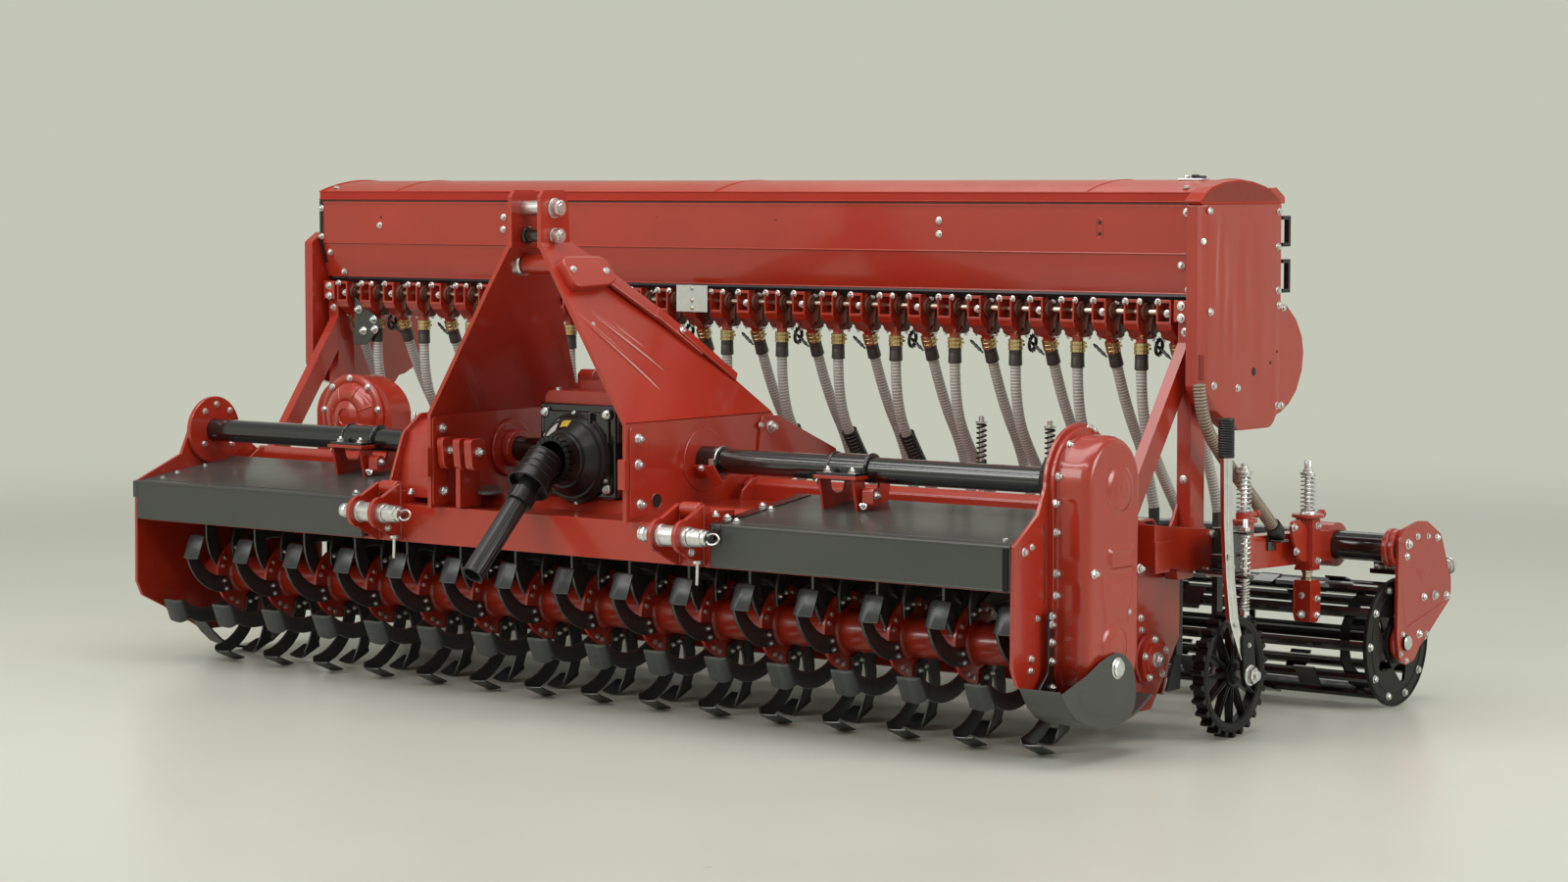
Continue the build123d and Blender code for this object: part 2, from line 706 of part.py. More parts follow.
with BuildPart() as rateBox:
    with BuildSketch(Plane.XZ.offset(-330)) as boxFace:
        with Locations((-1165, (hoodTop + 700) / 2)):
            Rectangle(300, 700 - hoodTop)
        with Locations((-1165, 690)):
            Ellipse(150, 110)
    extrude(boxFace.sketch, amount=80)
finish(rateBox, "rate_gearbox")

# ================= hopper =================

section = [(hopperFront, hopperRim), (hopperFront, hopperBend), (hopperFront + 32, hopperFloor + chinRise),
           (floorFront, hopperFloor), (hopperBack - floorInset, hopperFloor),
           (hopperBack, hopperBend), (hopperBack, hopperRim)]

with BuildPart() as hopper:
    outlineX(-hopperHalf, hopperHalf, section)
    with BuildSketch(Plane.YZ.offset(-hopperHalf + coverThick)) as inside:
        with BuildLine():
            Polyline(*section, close=True)
        make_face()
        offset(amount=-coverThick)
        with Locations(((hopperFront + hopperBack) / 2, hopperRim)):
            Rectangle(hopperBack - hopperFront - 2 * coverThick, 40)
    extrude(inside.sketch, amount=2 * (hopperHalf - coverThick), mode=Mode.SUBTRACT)
finish(hopper, "hopper")

with BuildPart() as lid:
    with BuildSketch(Plane.YZ.offset(-hopperHalf)) as lidOuter:
        with BuildLine():
            a = (hopperFront, hopperRim + seatGap)
            b = (hopperFront, lidTop)
            c = (hopperBack, lidTop)
            d = (hopperBack, hopperRim + seatGap)
            Line(a, b)
            ThreePointArc(b, ((hopperFront + hopperBack) / 2, lidCrown), c)
            Line(c, d)
            Line(d, a)
        make_face()
    extrude(lidOuter.sketch, amount=2 * hopperHalf)
    with BuildSketch(Plane.YZ.offset(-hopperHalf + lidThick)) as lidInner:
        with BuildLine():
            a = (hopperFront + lidThick, hopperRim)
            b = (hopperFront + lidThick, lidTop - lidThick)
            c = (hopperBack - lidThick, lidTop - lidThick)
            d = (hopperBack - lidThick, hopperRim)
            Line(a, b)
            ThreePointArc(b, ((hopperFront + hopperBack) / 2, lidCrown - lidThick), c)
            Line(c, d)
            Line(d, a)
        make_face()
    extrude(lidInner.sketch, amount=2 * (hopperHalf - lidThick), mode=Mode.SUBTRACT)
finish(lid, "hopper_lid")

coverFrontY = hopperFront - 31
coverBackY = hopperBack + coverProud
lobeY = hopperBack + lobeReach
coverOutline = [(coverFrontY, hopperRim - 2.5), (coverBackY, hopperRim - 2.5),
                (coverBackY, hopperFloor - 17), (lobeY - 42, hopperFloor - 49), (lobeY, hopperFloor - 114),
                (lobeY, hopperFloor - 194), (lobeY - 67, hopperFloor - 274),
                (lobeY - 202, hopperFloor - 326), (lobeY - 358, hopperFloor - 326),
                (coverFrontY + 42, hopperFloor - 219), (coverFrontY, hopperFloor - 64)]
for name, side in (("side_cover_right", 1), ("side_cover_left", -1)):
    with BuildPart() as sideCover:
        x0 = hopperHalf if side > 0 else -hopperHalf - coverDeep
        outlineX(x0, x0 + coverDeep, coverOutline)
        with BuildSketch(Plane.YZ.offset(x0 if side > 0 else x0 + coverThick)) as pan:
            with BuildLine():
                Polyline(*coverOutline, close=True)
            make_face()
            offset(amount=-coverThick)
        extrude(pan.sketch, amount=coverDeep - coverThick, mode=Mode.SUBTRACT)
    finish(sideCover, name)

with BuildPart() as handles:
    x = hopperHalf + coverDeep / 2
    for low, high in ((128, 206), (11, 96)):
        z0 = hopperFloor + low
        z1 = hopperFloor + high
        y0 = coverBackY
        block(x - 7, x + 7, y0, y0 + 38, z1 - 10, z1)
        block(x - 7, x + 7, y0, y0 + 38, z0, z0 + 10)
        block(x - 7, x + 7, y0 + 28, y0 + 38, z0, z1)
finish(handles, "cover_handles")

# ================= metering =================

unitX = [unitPitch * (i - (unitCount - 1) / 2) for i in range(unitCount)]

with BuildPart() as unit:
    outlineX(-unitWidth / 2, unitWidth / 2,
             [(476, hopperFloor), (470, hopperFloor - 64), (495, hopperFloor - 99),
              (545, hopperFloor - 99), (572, hopperFloor - 64), (572, hopperFloor)])
    slot = shaftRadius + seatGap
    block(-unitWidth / 2 + 6, unitWidth / 2 - 6, 460, 545, hopperFloor - 74, hopperFloor - 6,
          mode=Mode.SUBTRACT)
    block(-unitWidth, unitWidth, 460, shaftY + slot, shaftZ - slot, shaftZ + slot, mode=Mode.SUBTRACT)

# every second outlet leans to the rear; a fitting hangs from its swivel point along -Z
leans = [outletLean if i % 2 == 0 else 0 for i in range(unitCount)]
outlets = [Location((x, neckY, outletZ), (lean, 0, 0)) for x, lean in zip(unitX, leans)]

with BuildPart() as units:
    with Locations(*[(x, 0, 0) for x in unitX]):
        add(unit.part)
    with Locations(*outlets):
        Box(neckSide, neckSide, 60, align=(Align.CENTER, Align.CENTER, Align.MAX))
finish(units, "metering_units")

with BuildPart() as meterShaft:
    rodX(-hopperHalf - 20, hopperHalf + 20, shaftY, shaftZ, shaftRadius)
finish(meterShaft, "metering_shaft")

with BuildPart() as clip:
    with BuildSketch(Plane.XY.offset(-clipDrop)) as clipEnd:
        RegularPolygon(clipRadius, hoseSides)
        Rectangle(neckSide, neckSide, mode=Mode.SUBTRACT)
    extrude(clipEnd.sketch, amount=-clipLength)
with BuildPart() as clips:
    with Locations(*outlets):
        add(clip.part)
finish(clips, "hose_clips")

with BuildPart() as cuff:
    with BuildSketch(Plane.XY.offset(-60)) as cuffEnd:
        RegularPolygon(cuffRadius, hoseSides)
    extrude(cuffEnd.sketch, amount=-cuffLength)
with BuildPart() as cuffs:
    with Locations(*outlets):
        add(cuff.part)
finish(cuffs, "hose_cuffs")

# each hose leaves its cuff along the outlet's lean; the two kinds turn down by routes of their own,
# each the Y and Z of its points after the first run
firstRun = 118.0
routes = {outletLean: [(700, 640), (rearTubeY, seedTubeTop)], 0: [(600, 640), (frontTubeY, seedTubeTop)]}

with BuildPart() as seedTubes:
    with BuildSketch(Plane.XY.offset(150)) as bore:
        for x, lean in zip(unitX, leans):
            with Locations((x, routes[lean][-1][0])):
                RegularPolygon(seedTubeRadius, hoseSides)
    extrude(bore.sketch, amount=seedTubeTop - 150)
finish(seedTubes, "seed_tubes")

# each tube is held off the bar by a block, and a flat coulter shoe hangs from its lower end
with BuildPart() as tubeShoes:
    edge = seedBarY + seedBarSize / 2
    for x, lean in zip(unitX, leans):
        middle = routes[lean][-1][0]
        if lean:
            block(x - 8, x + 8, edge, middle - tubeFlat, seedBarTop - 50, seedBarTop - 20)
        outlineX(x - 4, x + 4,
                 [(middle - 12, 150), (middle - 52, 60), (middle + 12, 60), (middle + 14, 150)])
finish(tubeShoes, "coulter_shoes")

hoseRadii = []
with BuildPart() as hoses:
    for place, lean in zip(outlets, leans):
        start = (place * Location((0, 0, -60 - cuffLength))).position
        turn = (place * Location((0, 0, -60 - cuffLength - firstRun))).position
        spine = [start, turn] + [Vector(start.X, y, z) for y, z in routes[lean]]
        spine[-1] += (spine[-1] - spine[-2]).normalized() * hoseRadius
        radii = []
        for a, b, c in zip(spine, spine[1:], spine[2:]):
            bend = (b - a).get_angle(c - b)
            radii.append(0.45 * min((b - a).length, (c - b).length) / math.tan(math.radians(bend / 2)))
        with BuildLine() as route:
            FilletPolyline(*spine, radius=radii)
        with BuildSketch(Plane(origin=start, z_dir=turn - start)) as ring:
            RegularPolygon(hoseRadius, hoseSides)
        sweep(ring.sketch, path=route.line)
        hoseRadii.append([round(r) for r in radii])
    # the hoses are cut level where they meet their tubes
    block(-halfWidth, halfWidth, hopperFront, hopperBack, seedTubeTop - 40, seedTubeTop,
          mode=Mode.SUBTRACT)
finish(hoses, "seed_hoses")
print("hose bend radii, leaning and upright:", hoseRadii[0], hoseRadii[1])
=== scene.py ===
import json
import math
import random
import bpy
import bmesh
from mathutils import Matrix, Vector


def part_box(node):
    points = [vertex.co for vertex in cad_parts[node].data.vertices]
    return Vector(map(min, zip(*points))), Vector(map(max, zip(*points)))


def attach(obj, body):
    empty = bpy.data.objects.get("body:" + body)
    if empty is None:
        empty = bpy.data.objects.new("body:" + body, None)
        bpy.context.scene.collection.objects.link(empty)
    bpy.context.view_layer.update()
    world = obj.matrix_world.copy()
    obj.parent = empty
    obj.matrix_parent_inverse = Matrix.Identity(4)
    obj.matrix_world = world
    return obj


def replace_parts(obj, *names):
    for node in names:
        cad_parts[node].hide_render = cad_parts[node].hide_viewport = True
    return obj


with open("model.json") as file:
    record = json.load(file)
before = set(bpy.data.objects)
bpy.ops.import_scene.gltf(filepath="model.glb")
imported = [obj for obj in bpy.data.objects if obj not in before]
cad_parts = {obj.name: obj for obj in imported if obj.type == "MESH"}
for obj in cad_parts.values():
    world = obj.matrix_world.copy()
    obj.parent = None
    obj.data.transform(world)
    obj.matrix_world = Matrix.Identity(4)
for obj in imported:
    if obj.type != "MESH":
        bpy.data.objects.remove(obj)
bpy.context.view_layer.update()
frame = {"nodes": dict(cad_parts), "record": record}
nodes = frame["nodes"]
scene = bpy.context.scene
random.seed(7)


def middleOf(node):
    low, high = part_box(node)
    return (low + high) / 2


zeroY = middleOf("cross_tubes").y  # the drawing's own zero, at the cross tube
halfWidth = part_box("cross_tubes")[1].x  # outer faces of the side plates


def at(x, y, z):
    # a place measured from the cross tube's upright plane, in metres
    return Vector((x, y + zeroY, z))


tubeZ = 0.645  # the cross tube's height


def newPiece(name, bm, material, body="frame", bevel=0.0, smooth=40, segments=2, slotName=None):
    # one visible piece; the slot that its first material usually fills is looked up, but not kept
    bmesh.ops.recalc_face_normals(bm, faces=bm.faces)
    mesh = bpy.data.meshes.new(name)
    bm.to_mesh(mesh)
    bm.free()
    piece = bpy.data.objects.new(name, mesh)
    scene.collection.objects.link(piece)
    looks = material if isinstance(material, list) else [material]
    for look in looks:
        mesh.materials.append(look)
    mesh.shade_smooth()
    if bevel:
        softEdges(piece, bevel, segments)
    elif smooth:
        mesh.set_sharp_from_angle(angle=math.radians(smooth))
    if slotName is None:
        slotName = slotOf[looks[0].name]
    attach(piece, body)
    return piece


def softEdges(piece, width, segments=2):
    # rounds the outside edges a little, so that they catch the light
    rounding = piece.modifiers.new("rounding", "BEVEL")
    rounding.width = width
    rounding.segments = segments
    rounding.limit_method = "ANGLE"
    rounding.angle_limit = math.radians(32)
    evening = piece.modifiers.new("evening", "WEIGHTED_NORMAL")
    evening.keep_sharp = False
    evening.weight = 80


def addFaces(bm, points, faces):
    made = [bm.verts.new(p) for p in points]
    for face in faces:
        bm.faces.new([made[i] for i in face])


def bridge(bm, rings):
    # faces from each closed ring to the next
    for a, b in zip(rings, rings[1:]):
        for i in range(len(a)):
            j = (i + 1) % len(a)
            bm.faces.new((a[i], a[j], b[j], b[i]))


def addSheet(bm, rows):
    # faces from each open row to the next
    for a, b in zip(rows, rows[1:]):
        for i in range(len(a) - 1):
            bm.faces.new((a[i], a[i + 1], b[i + 1], b[i]))


def sideFaces(count, start=0):
    # the faces between two outlines of so many points
    return [(start + i, start + (i + 1) % count, start + count + (i + 1) % count, start + count + i)
            for i in range(count)]


def prismFaces(count):
    return [tuple(range(count)), tuple(range(2 * count - 1, count - 1, -1)), *sideFaces(count)]


boxFaces = [(0, 1, 3, 2), (4, 6, 7, 5), (0, 4, 5, 1), (2, 3, 7, 6), (0, 2, 6, 4), (1, 5, 7, 3)]


def addBlock(bm, low, high, turn=Matrix()):
    # a box between two corners, moved by the matrix
    points = [turn @ Vector((x, y, z)) for x in (low[0], high[0]) for y in (low[1], high[1])
              for z in (low[2], high[2])]
    addFaces(bm, points, boxFaces)


def addPrism(bm, outline, x0, x1):
    # a closed outline of (y, z), drawn out along X
    addFaces(bm, [(x, y, z) for x in (x0, x1) for y, z in outline], prismFaces(len(outline)))


def around(centre, radius, turn, high=None):
    # a place on a circle, or on an oval when its half height is given too
    return centre[0] + radius * math.cos(turn), centre[1] + (high or radius) * math.sin(turn)


def evenSteps(start, end, count):
    return [start + (end - start) * i / count for i in range(count + 1)]


def fullTurn(count):
    # so many angles, evenly round a circle
    return [2 * math.pi * i / count for i in range(count)]


def turnTo(direction):
    # a turn that takes +Z to this direction
    return Vector((0, 0, 1)).rotation_difference(Vector(direction)).to_matrix().to_4x4()


def placed(position, direction=(0, 0, 1), spin=0.0):
    return Matrix.Translation(position) @ turnTo(direction) @ Matrix.Rotation(spin, 4, "Z")


def addLathe(bm, profile, matrix, sides=32, closed=False):
    # (radius, height) pairs turned about the matrix's own Z; a radius of 0 closes the end in a point
    rings = []
    for radius, height in profile:
        if radius < 1e-6:
            rings.append([bm.verts.new(matrix @ Vector((0, 0, height)))])
        else:
            rings.append([bm.verts.new(matrix @ Vector((radius * math.cos(t), radius * math.sin(t),
                                                        height))) for t in fullTurn(sides)])
    pairs = list(zip(rings, rings[1:]))
    if closed:
        pairs.append((rings[-1], rings[0]))
    for a, b in pairs:
        for i in range(sides):
            j = (i + 1) % sides
            if len(a) == 1 and len(b) == 1:
                break
            if len(a) == 1:
                face = (a[0], b[i], b[j])
            elif len(b) == 1:
                face = (a[i], a[j], b[0])
            else:
                face = (a[i], a[j], b[j], b[i])
            bm.faces.new(face)


def addDisc(bm, radius, thick, matrix, sides):
    addLathe(bm, [(0, 0), (radius, 0), (radius, thick), (0, thick)], matrix, sides)


def addRod(bm, start, end, radius, sides=24, chamfer=0.0):
    start, end = Vector(start), Vector(end)
    length = (end - start).length
    c = chamfer or min(radius, length) * 0.06
    profile = [(0, 0), (radius - c, 0), (radius, c), (radius, length - c), (radius - c, length),
               (0, length)]
    addLathe(bm, profile, placed(start, end - start), sides)


def addTube(bm, path, radii, sides=12, closed=False):
    # a tube through the points; radii is one number or one for each point
    path = [Vector(p) for p in path]
    count = len(path)
    if isinstance(radii, (int, float)):
        radii = [radii] * count
    rings = []
    normal = None
    for i, point in enumerate(path):
        before = path[i - 1] if i or closed else path[0]
        after = path[(i + 1) % count] if i < count - 1 or closed else path[-1]
        along = (after - before).normalized()
        if normal is None:
            normal = along.orthogonal().normalized()
        normal = (normal - along * normal.dot(along)).normalized()
        side = along.cross(normal)
        rings.append([bm.verts.new(point + (normal * math.cos(t) + side * math.sin(t)) * radii[i])
                      for t in fullTurn(sides)])
    bridge(bm, rings + rings[:1] if closed else rings)
    if not closed:
        bm.faces.new(rings[0])
        bm.faces.new(rings[-1][::-1])
    return rings


def addRibbedTube(bm, path, outer, depth, sides):
    # every third ring is a groove; all faces but those on the ridges take the second material, a darker one:
    # painted shade in the grooves
    radii = [outer - depth * (i % 3 == 0) for i in range(len(path))]
    rank = {v: i for i, ring in enumerate(addTube(bm, path, radii, sides)) for v in ring}
    for face in bm.faces:
        if min(rank[v] for v in face.verts) % 3 != 1:
            face.material_index = 1


def addSpring(bm, base, direction, coilRadius, wire, turns, length):
    stepsPerTurn = 14
    matrix = placed(base, direction)
    count = int(turns * stepsPerTurn)
    path = []
    for i in range(count + 1):
        share = i / count
        angle = 2 * math.pi * turns * share
        # the end turns lie flat, as ground spring ends do
        rise = min(max((share * turns - 0.7) / (turns - 1.4), 0), 1)
        path.append(matrix @ Vector((coilRadius * math.cos(angle), coilRadius * math.sin(angle),
                                     wire + rise * (length - 2 * wire))))
    addTube(bm, path, wire, 7)


def addCollar(bm, x0, x1, centre, outer, inner=0.0, chamfer=0.002, sides=40):
    # a turned disc or ring about a line along X; centre is its (y, z)
    length = x1 - x0
    profile = [(inner, 0), (outer - chamfer, 0), (outer, chamfer), (outer, length - chamfer),
               (outer - chamfer, length), (inner, length)]
    addLathe(bm, profile, placed(at(x0, *centre), (1, 0, 0)), sides, inner > 0)


def addPlate(bm, corners, x0, x1, steps=4):
    # a flat plate across X; corners are (y, z) or (y, z, radius)
    addPrism(bm, [(y + zeroY, z) for y, z in roundedOutline(corners, steps)], x0, x1)


def addBox(bm, x0, x1, y0, y1, z0, z1):
    addBlock(bm, at(x0, y0, z0), at(x1, y1, z1))


def addBolt(bm, position, direction, size, stub=0.0, washer=True):
    # a hexagon head with its washer; stub is the thread that stands past a nut
    matrix = placed(position, direction, random.uniform(0, 1))
    lift = 0.0
    if washer:
        lift = size * 0.16
        addLathe(bm, [(0, 0), (size * 1.12, 0), (size * 1.12, lift * 0.8), (size * 1.05, lift), (0, lift)],
                 matrix, 20)
    across = size * 0.9
    top = lift + size * 0.62
    head = [(0, lift), (across, lift), (across, top - size * 0.1), (across * 0.84, top), (0, top)]
    addLathe(bm, head, matrix, 6)
    if stub:
        thread = [(0, top)]
        ridges = max(2, int(stub / 0.0016))
        for i in range(ridges):
            z = top + stub * i / ridges
            thread += [(size * 0.44, z), (size * 0.5, z + stub / ridges * 0.5)]
        thread += [(size * 0.4, top + stub), (0, top + stub)]
        addLathe(bm, thread, matrix, 12)
    else:
        dish = [(across * 0.5, top + 0.0001), (across * 0.42, top + size * 0.03), (0, top + size * 0.03)]
        addLathe(bm, [(0, top), *dish], matrix, 12)


def boltGroup(name, places, body="frame", material=None):
    # places: (position, direction, size) or (position, direction, size, stub)
    bm = bmesh.new()
    for place in places:
        addBolt(bm, *place)
    newPiece(name, bm, material or zinc, body, smooth=28)


def boltsOn(x, places, size, stub=0.0, direction=(1, 0, 0)):
    # bolts of one size at places (y, z) on an upright face across X
    return [(at(x, y, z), direction, size, stub) for y, z in places]


def roundedOutline(corners, steps=4):
    # corners as (y, z, radius): each is rounded with an arc of that radius
    points = []
    count = len(corners)
    for i in range(count):
        here = Vector(corners[i][:2])
        back = Vector(corners[i - 1][:2]) - here
        front = Vector(corners[(i + 1) % count][:2]) - here
        radius = corners[i][2] if len(corners[i]) > 2 else 0
        if radius <= 0:
            points.append(tuple(here))
            continue
        back.normalize()
        front.normalize()
        half = math.acos(max(-1, min(1, back.dot(front)))) / 2
        reach = radius / math.tan(half)
        centre = here + (back + front).normalized() * radius / math.sin(half)
        start, end = here + back * reach - centre, here + front * reach - centre
        sweep = start.angle_signed(end)
        for k in range(steps + 1):
            turn = Matrix.Rotation(-sweep * k / steps, 2)
            points.append(tuple(centre + turn @ start))
    return points


def softenCad(names, width=0.0012):
    # the CAD pieces stay as they are: a weld and a small rounding are modifiers on them
    for name in names:
        piece = nodes[name]
        weld = piece.modifiers.new("weld", "WELD")
        weld.merge_threshold = 0.00002
        softEdges(piece, width)


def newGroup(name, inputs, outputs):
    group = bpy.data.node_groups.new(name, "ShaderNodeTree")
    for label, kind, value in inputs:
        socket = group.interface.new_socket(label, in_out="INPUT", socket_type=kind)
        socket.default_value = value
    for label, kind in outputs:
        group.interface.new_socket(label, in_out="OUTPUT", socket_type=kind)
    start = group.nodes.new("NodeGroupInput")
    end = group.nodes.new("NodeGroupOutput")
    return group, start.outputs, end.inputs


def addNode(tree, kind, settings=None, **values):
    node = tree.nodes.new(kind)
    for key, value in (settings or {}).items():
        setattr(node, key, value)
    for key, value in values.items():
        node.inputs[key.replace("_", " ")].default_value = value
    return node


def mathNode(tree, operation, a, b, clamp=False):
    node = tree.nodes.new("ShaderNodeMath")
    node.operation = operation
    node.use_clamp = clamp
    for socket, value in zip(node.inputs, (a, b)):
        if isinstance(value, (int, float)):
            socket.default_value = value
        else:
            tree.links.new(value, socket)
    return node.outputs[0]


def stretchValue(tree, value, low, gain):
    # 0 up to the low value, then rising by the gain, to 1 at most
    return mathNode(tree, "MULTIPLY", mathNode(tree, "SUBTRACT", value, low), gain, True)


def mixColour(tree, factor, a, b):
    node = tree.nodes.new("ShaderNodeMix")
    node.data_type = "RGBA"
    for socket, value in ((node.inputs["Factor"], factor), (node.inputs[6], a), (node.inputs[7], b)):
        if isinstance(value, (int, float, tuple)):
            socket.default_value = value
        else:
            tree.links.new(value, socket)
    return node.outputs[2]


def noise(tree, place, scale, detail=3.0, roughness=0.5):
    node = addNode(tree, "ShaderNodeTexNoise", Scale=scale, Detail=detail, Roughness=roughness)
    tree.links.new(place, node.inputs["Vector"])
    return node.outputs["Fac"]


def makeEdgeWearAndHighlight():
    # where an outside edge is rubbed, with a painted highlight along it too: 1 on the edge, broken up by
    # noise
    group, given, out = newGroup("edgeWearAndHighlight", [("Place", "NodeSocketVector", (0, 0, 0)),
                                              ("Amount", "NodeSocketFloat", 0.5),
                                              ("Breakup Scale", "NodeSocketFloat", 60.0)],
                                 [("Mask", "NodeSocketFloat")])
    shape = group.nodes.new("ShaderNodeNewGeometry")
    spots = addNode(group, "ShaderNodeTexNoise", Detail=4.0, Roughness=0.65)
    group.links.new(given["Place"], spots.inputs["Vector"])
    group.links.new(given["Breakup Scale"], spots.inputs["Scale"])
    edge = stretchValue(group, shape.outputs["Pointiness"], 0.56, 9.0)
    broken = stretchValue(group, spots.outputs["Fac"], 0.42, 4.0)
    mask = mathNode(group, "MULTIPLY", mathNode(group, "MULTIPLY", edge, broken), given["Amount"], True)
    group.links.new(mask, out["Mask"])
    return group


def makeDust():
    # thin dust that settles on what faces up, thicker in patches
    group, given, out = newGroup("settledDust", [("Place", "NodeSocketVector", (0, 0, 0)),
                                                 ("Amount", "NodeSocketFloat", 0.2)],
                                 [("Mask", "NodeSocketFloat")])
    shape = group.nodes.new("ShaderNodeNewGeometry")
    parts = group.nodes.new("ShaderNodeSeparateXYZ")
    group.links.new(shape.outputs["Normal"], parts.inputs[0])
    facing = stretchValue(group, parts.outputs["Z"], 0.25, 1.4)
    patches = noise(group, given["Place"], 3.2, 6.0, 0.62)
    patches = stretchValue(group, patches, 0.36, 2.6)
    base = mathNode(group, "ADD", mathNode(group, "MULTIPLY", facing, 0.8), 0.2)
    group.links.new(mathNode(group, "MULTIPLY", mathNode(group, "MULTIPLY", base, patches),
                             given["Amount"]), out["Mask"])
    return group


def makePaintFilm():
    # sprayed paint: a fine orange peel, slow waves of the sheet below, thin and full places, faint wipe marks
    group, given, out = newGroup("paintFilm",
                                 [("Place", "NodeSocketVector", (0, 0, 0)),
                                  ("Colour", "NodeSocketColor", (0.5, 0.05, 0.03, 1)),
                                  ("Deep Colour", "NodeSocketColor", (0.4, 0.03, 0.02, 1)),
                                  ("Gloss Roughness", "NodeSocketFloat", 0.2),
                                  ("Peel", "NodeSocketFloat", 1.0), ("Wave", "NodeSocketFloat", 1.0)],
                                 [("Colour", "NodeSocketColor"), ("Roughness", "NodeSocketFloat"),
                                  ("Height", "NodeSocketFloat")])
    place = given["Place"]
    tone = noise(group, place, 1.7, 5.0, 0.6)
    tone = stretchValue(group, tone, 0.34, 2.4)
    group.links.new(mixColour(group, tone, given["Deep Colour"], given["Colour"]), out["Colour"])
    smear = noise(group, place, 9.0, 6.0, 0.7)
    smear = mathNode(group, "MULTIPLY", mathNode(group, "SUBTRACT", smear, 0.45),
                     mathNode(group, "MULTIPLY", given["Wave"], 0.6))
    rough = mathNode(group, "ADD", given["Gloss Roughness"], smear)
    group.links.new(mathNode(group, "MAXIMUM", rough, 0.05), out["Roughness"])
    peel = mathNode(group, "MULTIPLY", noise(group, place, 420.0, 2.0), given["Peel"])
    wave = mathNode(group, "MULTIPLY", mathNode(group, "MULTIPLY", noise(group, place, 7.0, 2.0), 26.0),
                    given["Wave"])
    group.links.new(mathNode(group, "ADD", peel, wave), out["Height"])
    return group


def makeBrushed():
    # drawn or plated metal: fine streaks along one direction with stains over them
    group, given, out = newGroup("metalGrain",
                                 [("Place", "NodeSocketVector", (0, 0, 0)),
                                  ("Stretch", "NodeSocketVector", (1, 1, 30)),
                                  ("Bright Colour", "NodeSocketColor", (0.7, 0.7, 0.7, 1)),
                                  ("Stain Colour", "NodeSocketColor", (0.4, 0.4, 0.38, 1)),
                                  ("Base Roughness", "NodeSocketFloat", 0.3)],
                                 [("Colour", "NodeSocketColor"), ("Roughness", "NodeSocketFloat"),
                                  ("Height", "NodeSocketFloat")])
    stretched = group.nodes.new("ShaderNodeVectorMath")
    stretched.operation = "MULTIPLY"
    group.links.new(given["Place"], stretched.inputs[0])
    group.links.new(given["Stretch"], stretched.inputs[1])
    grain = noise(group, stretched.outputs[0], 60.0, 3.0, 0.6)
    stains = noise(group, given["Place"], 34.0, 5.0, 0.66)
    stains = stretchValue(group, stains, 0.44, 3.0)
    group.links.new(mixColour(group, stains, given["Bright Colour"], given["Stain Colour"]), out["Colour"])
    rough = mathNode(group, "ADD", given["Base Roughness"], mathNode(group, "MULTIPLY", stains, 0.16))
    rough = mathNode(group, "ADD", rough,
                     mathNode(group, "MULTIPLY", mathNode(group, "SUBTRACT", grain, 0.5), 0.18))
    group.links.new(mathNode(group, "MAXIMUM", rough, 0.06), out["Roughness"])
    group.links.new(grain, out["Height"])
    return group


effects = {"edgeWearAndHighlight": makeEdgeWearAndHighlight(), "dust": makeDust(), "paint": makePaintFilm(), "metal": makeBrushed()}


def newMaterial(name):
    material = bpy.data.materials.new(name)
    material.use_nodes = True
    tree = material.node_tree
    tree.nodes.clear()
    out = tree.nodes.new("ShaderNodeOutputMaterial")
    shader = tree.nodes.new("ShaderNodeBsdfPrincipled")
    tree.links.new(shader.outputs[0], out.inputs[0])
    place = tree.nodes.new("ShaderNodeTexCoord").outputs["Object"]
    return material, tree, shader, place


def useEffect(tree, effect, place, **values):
    node = tree.nodes.new("ShaderNodeGroup")
    node.node_tree = effects[effect]
    tree.links.new(place, node.inputs["Place"])
    for key, value in values.items():
        node.inputs[key].default_value = value
    return node.outputs


def addBump(tree, shader, height, distance):
    bump = addNode(tree, "ShaderNodeBump", Strength=1.0, Distance=distance)
    tree.links.new(height, bump.inputs["Height"])
    tree.links.new(bump.outputs[0], shader.inputs["Normal"])


def paintMaterial(name, look):
    material, tree, shader, place = newMaterial(name)
    film = useEffect(tree, "paint", place, **{"Colour": (*look["colour"], 1),
                                              "Deep Colour": (*look["deep"], 1),
                                              "Gloss Roughness": look["roughness"], "Peel": look["peel"],
                                              "Wave": look["wave"]})
    wearAndHighlight = useEffect(tree, "edgeWearAndHighlight", place, **{"Amount": look["wearAndHighlight"], "Breakup Scale": 70.0})["Mask"]
    dust = useEffect(tree, "dust", place, **{"Amount": look["dust"]})["Mask"]
    # edges take a lighter colour: rubbed paint and a painted highlight
    colour = mixColour(tree, wearAndHighlight, film["Colour"], (*look["bareAndHighlight"], 1))
    colour = mixColour(tree, dust, colour, (*look["dustColour"], 1))
    tree.links.new(colour, shader.inputs["Base Color"])
    rough = mathNode(tree, "ADD", film["Roughness"], mathNode(tree, "MULTIPLY", dust, 0.5))
    tree.links.new(rough, shader.inputs["Roughness"])
    for socket, key in (("Metallic", "metallic"), ("Coat Weight", "coat"),
                        ("Coat Roughness", "coatRoughness"), ("Specular IOR Level", "specular")):
        shader.inputs[socket].default_value = look[key]
    addBump(tree, shader, film["Height"], 0.00003)
    return material


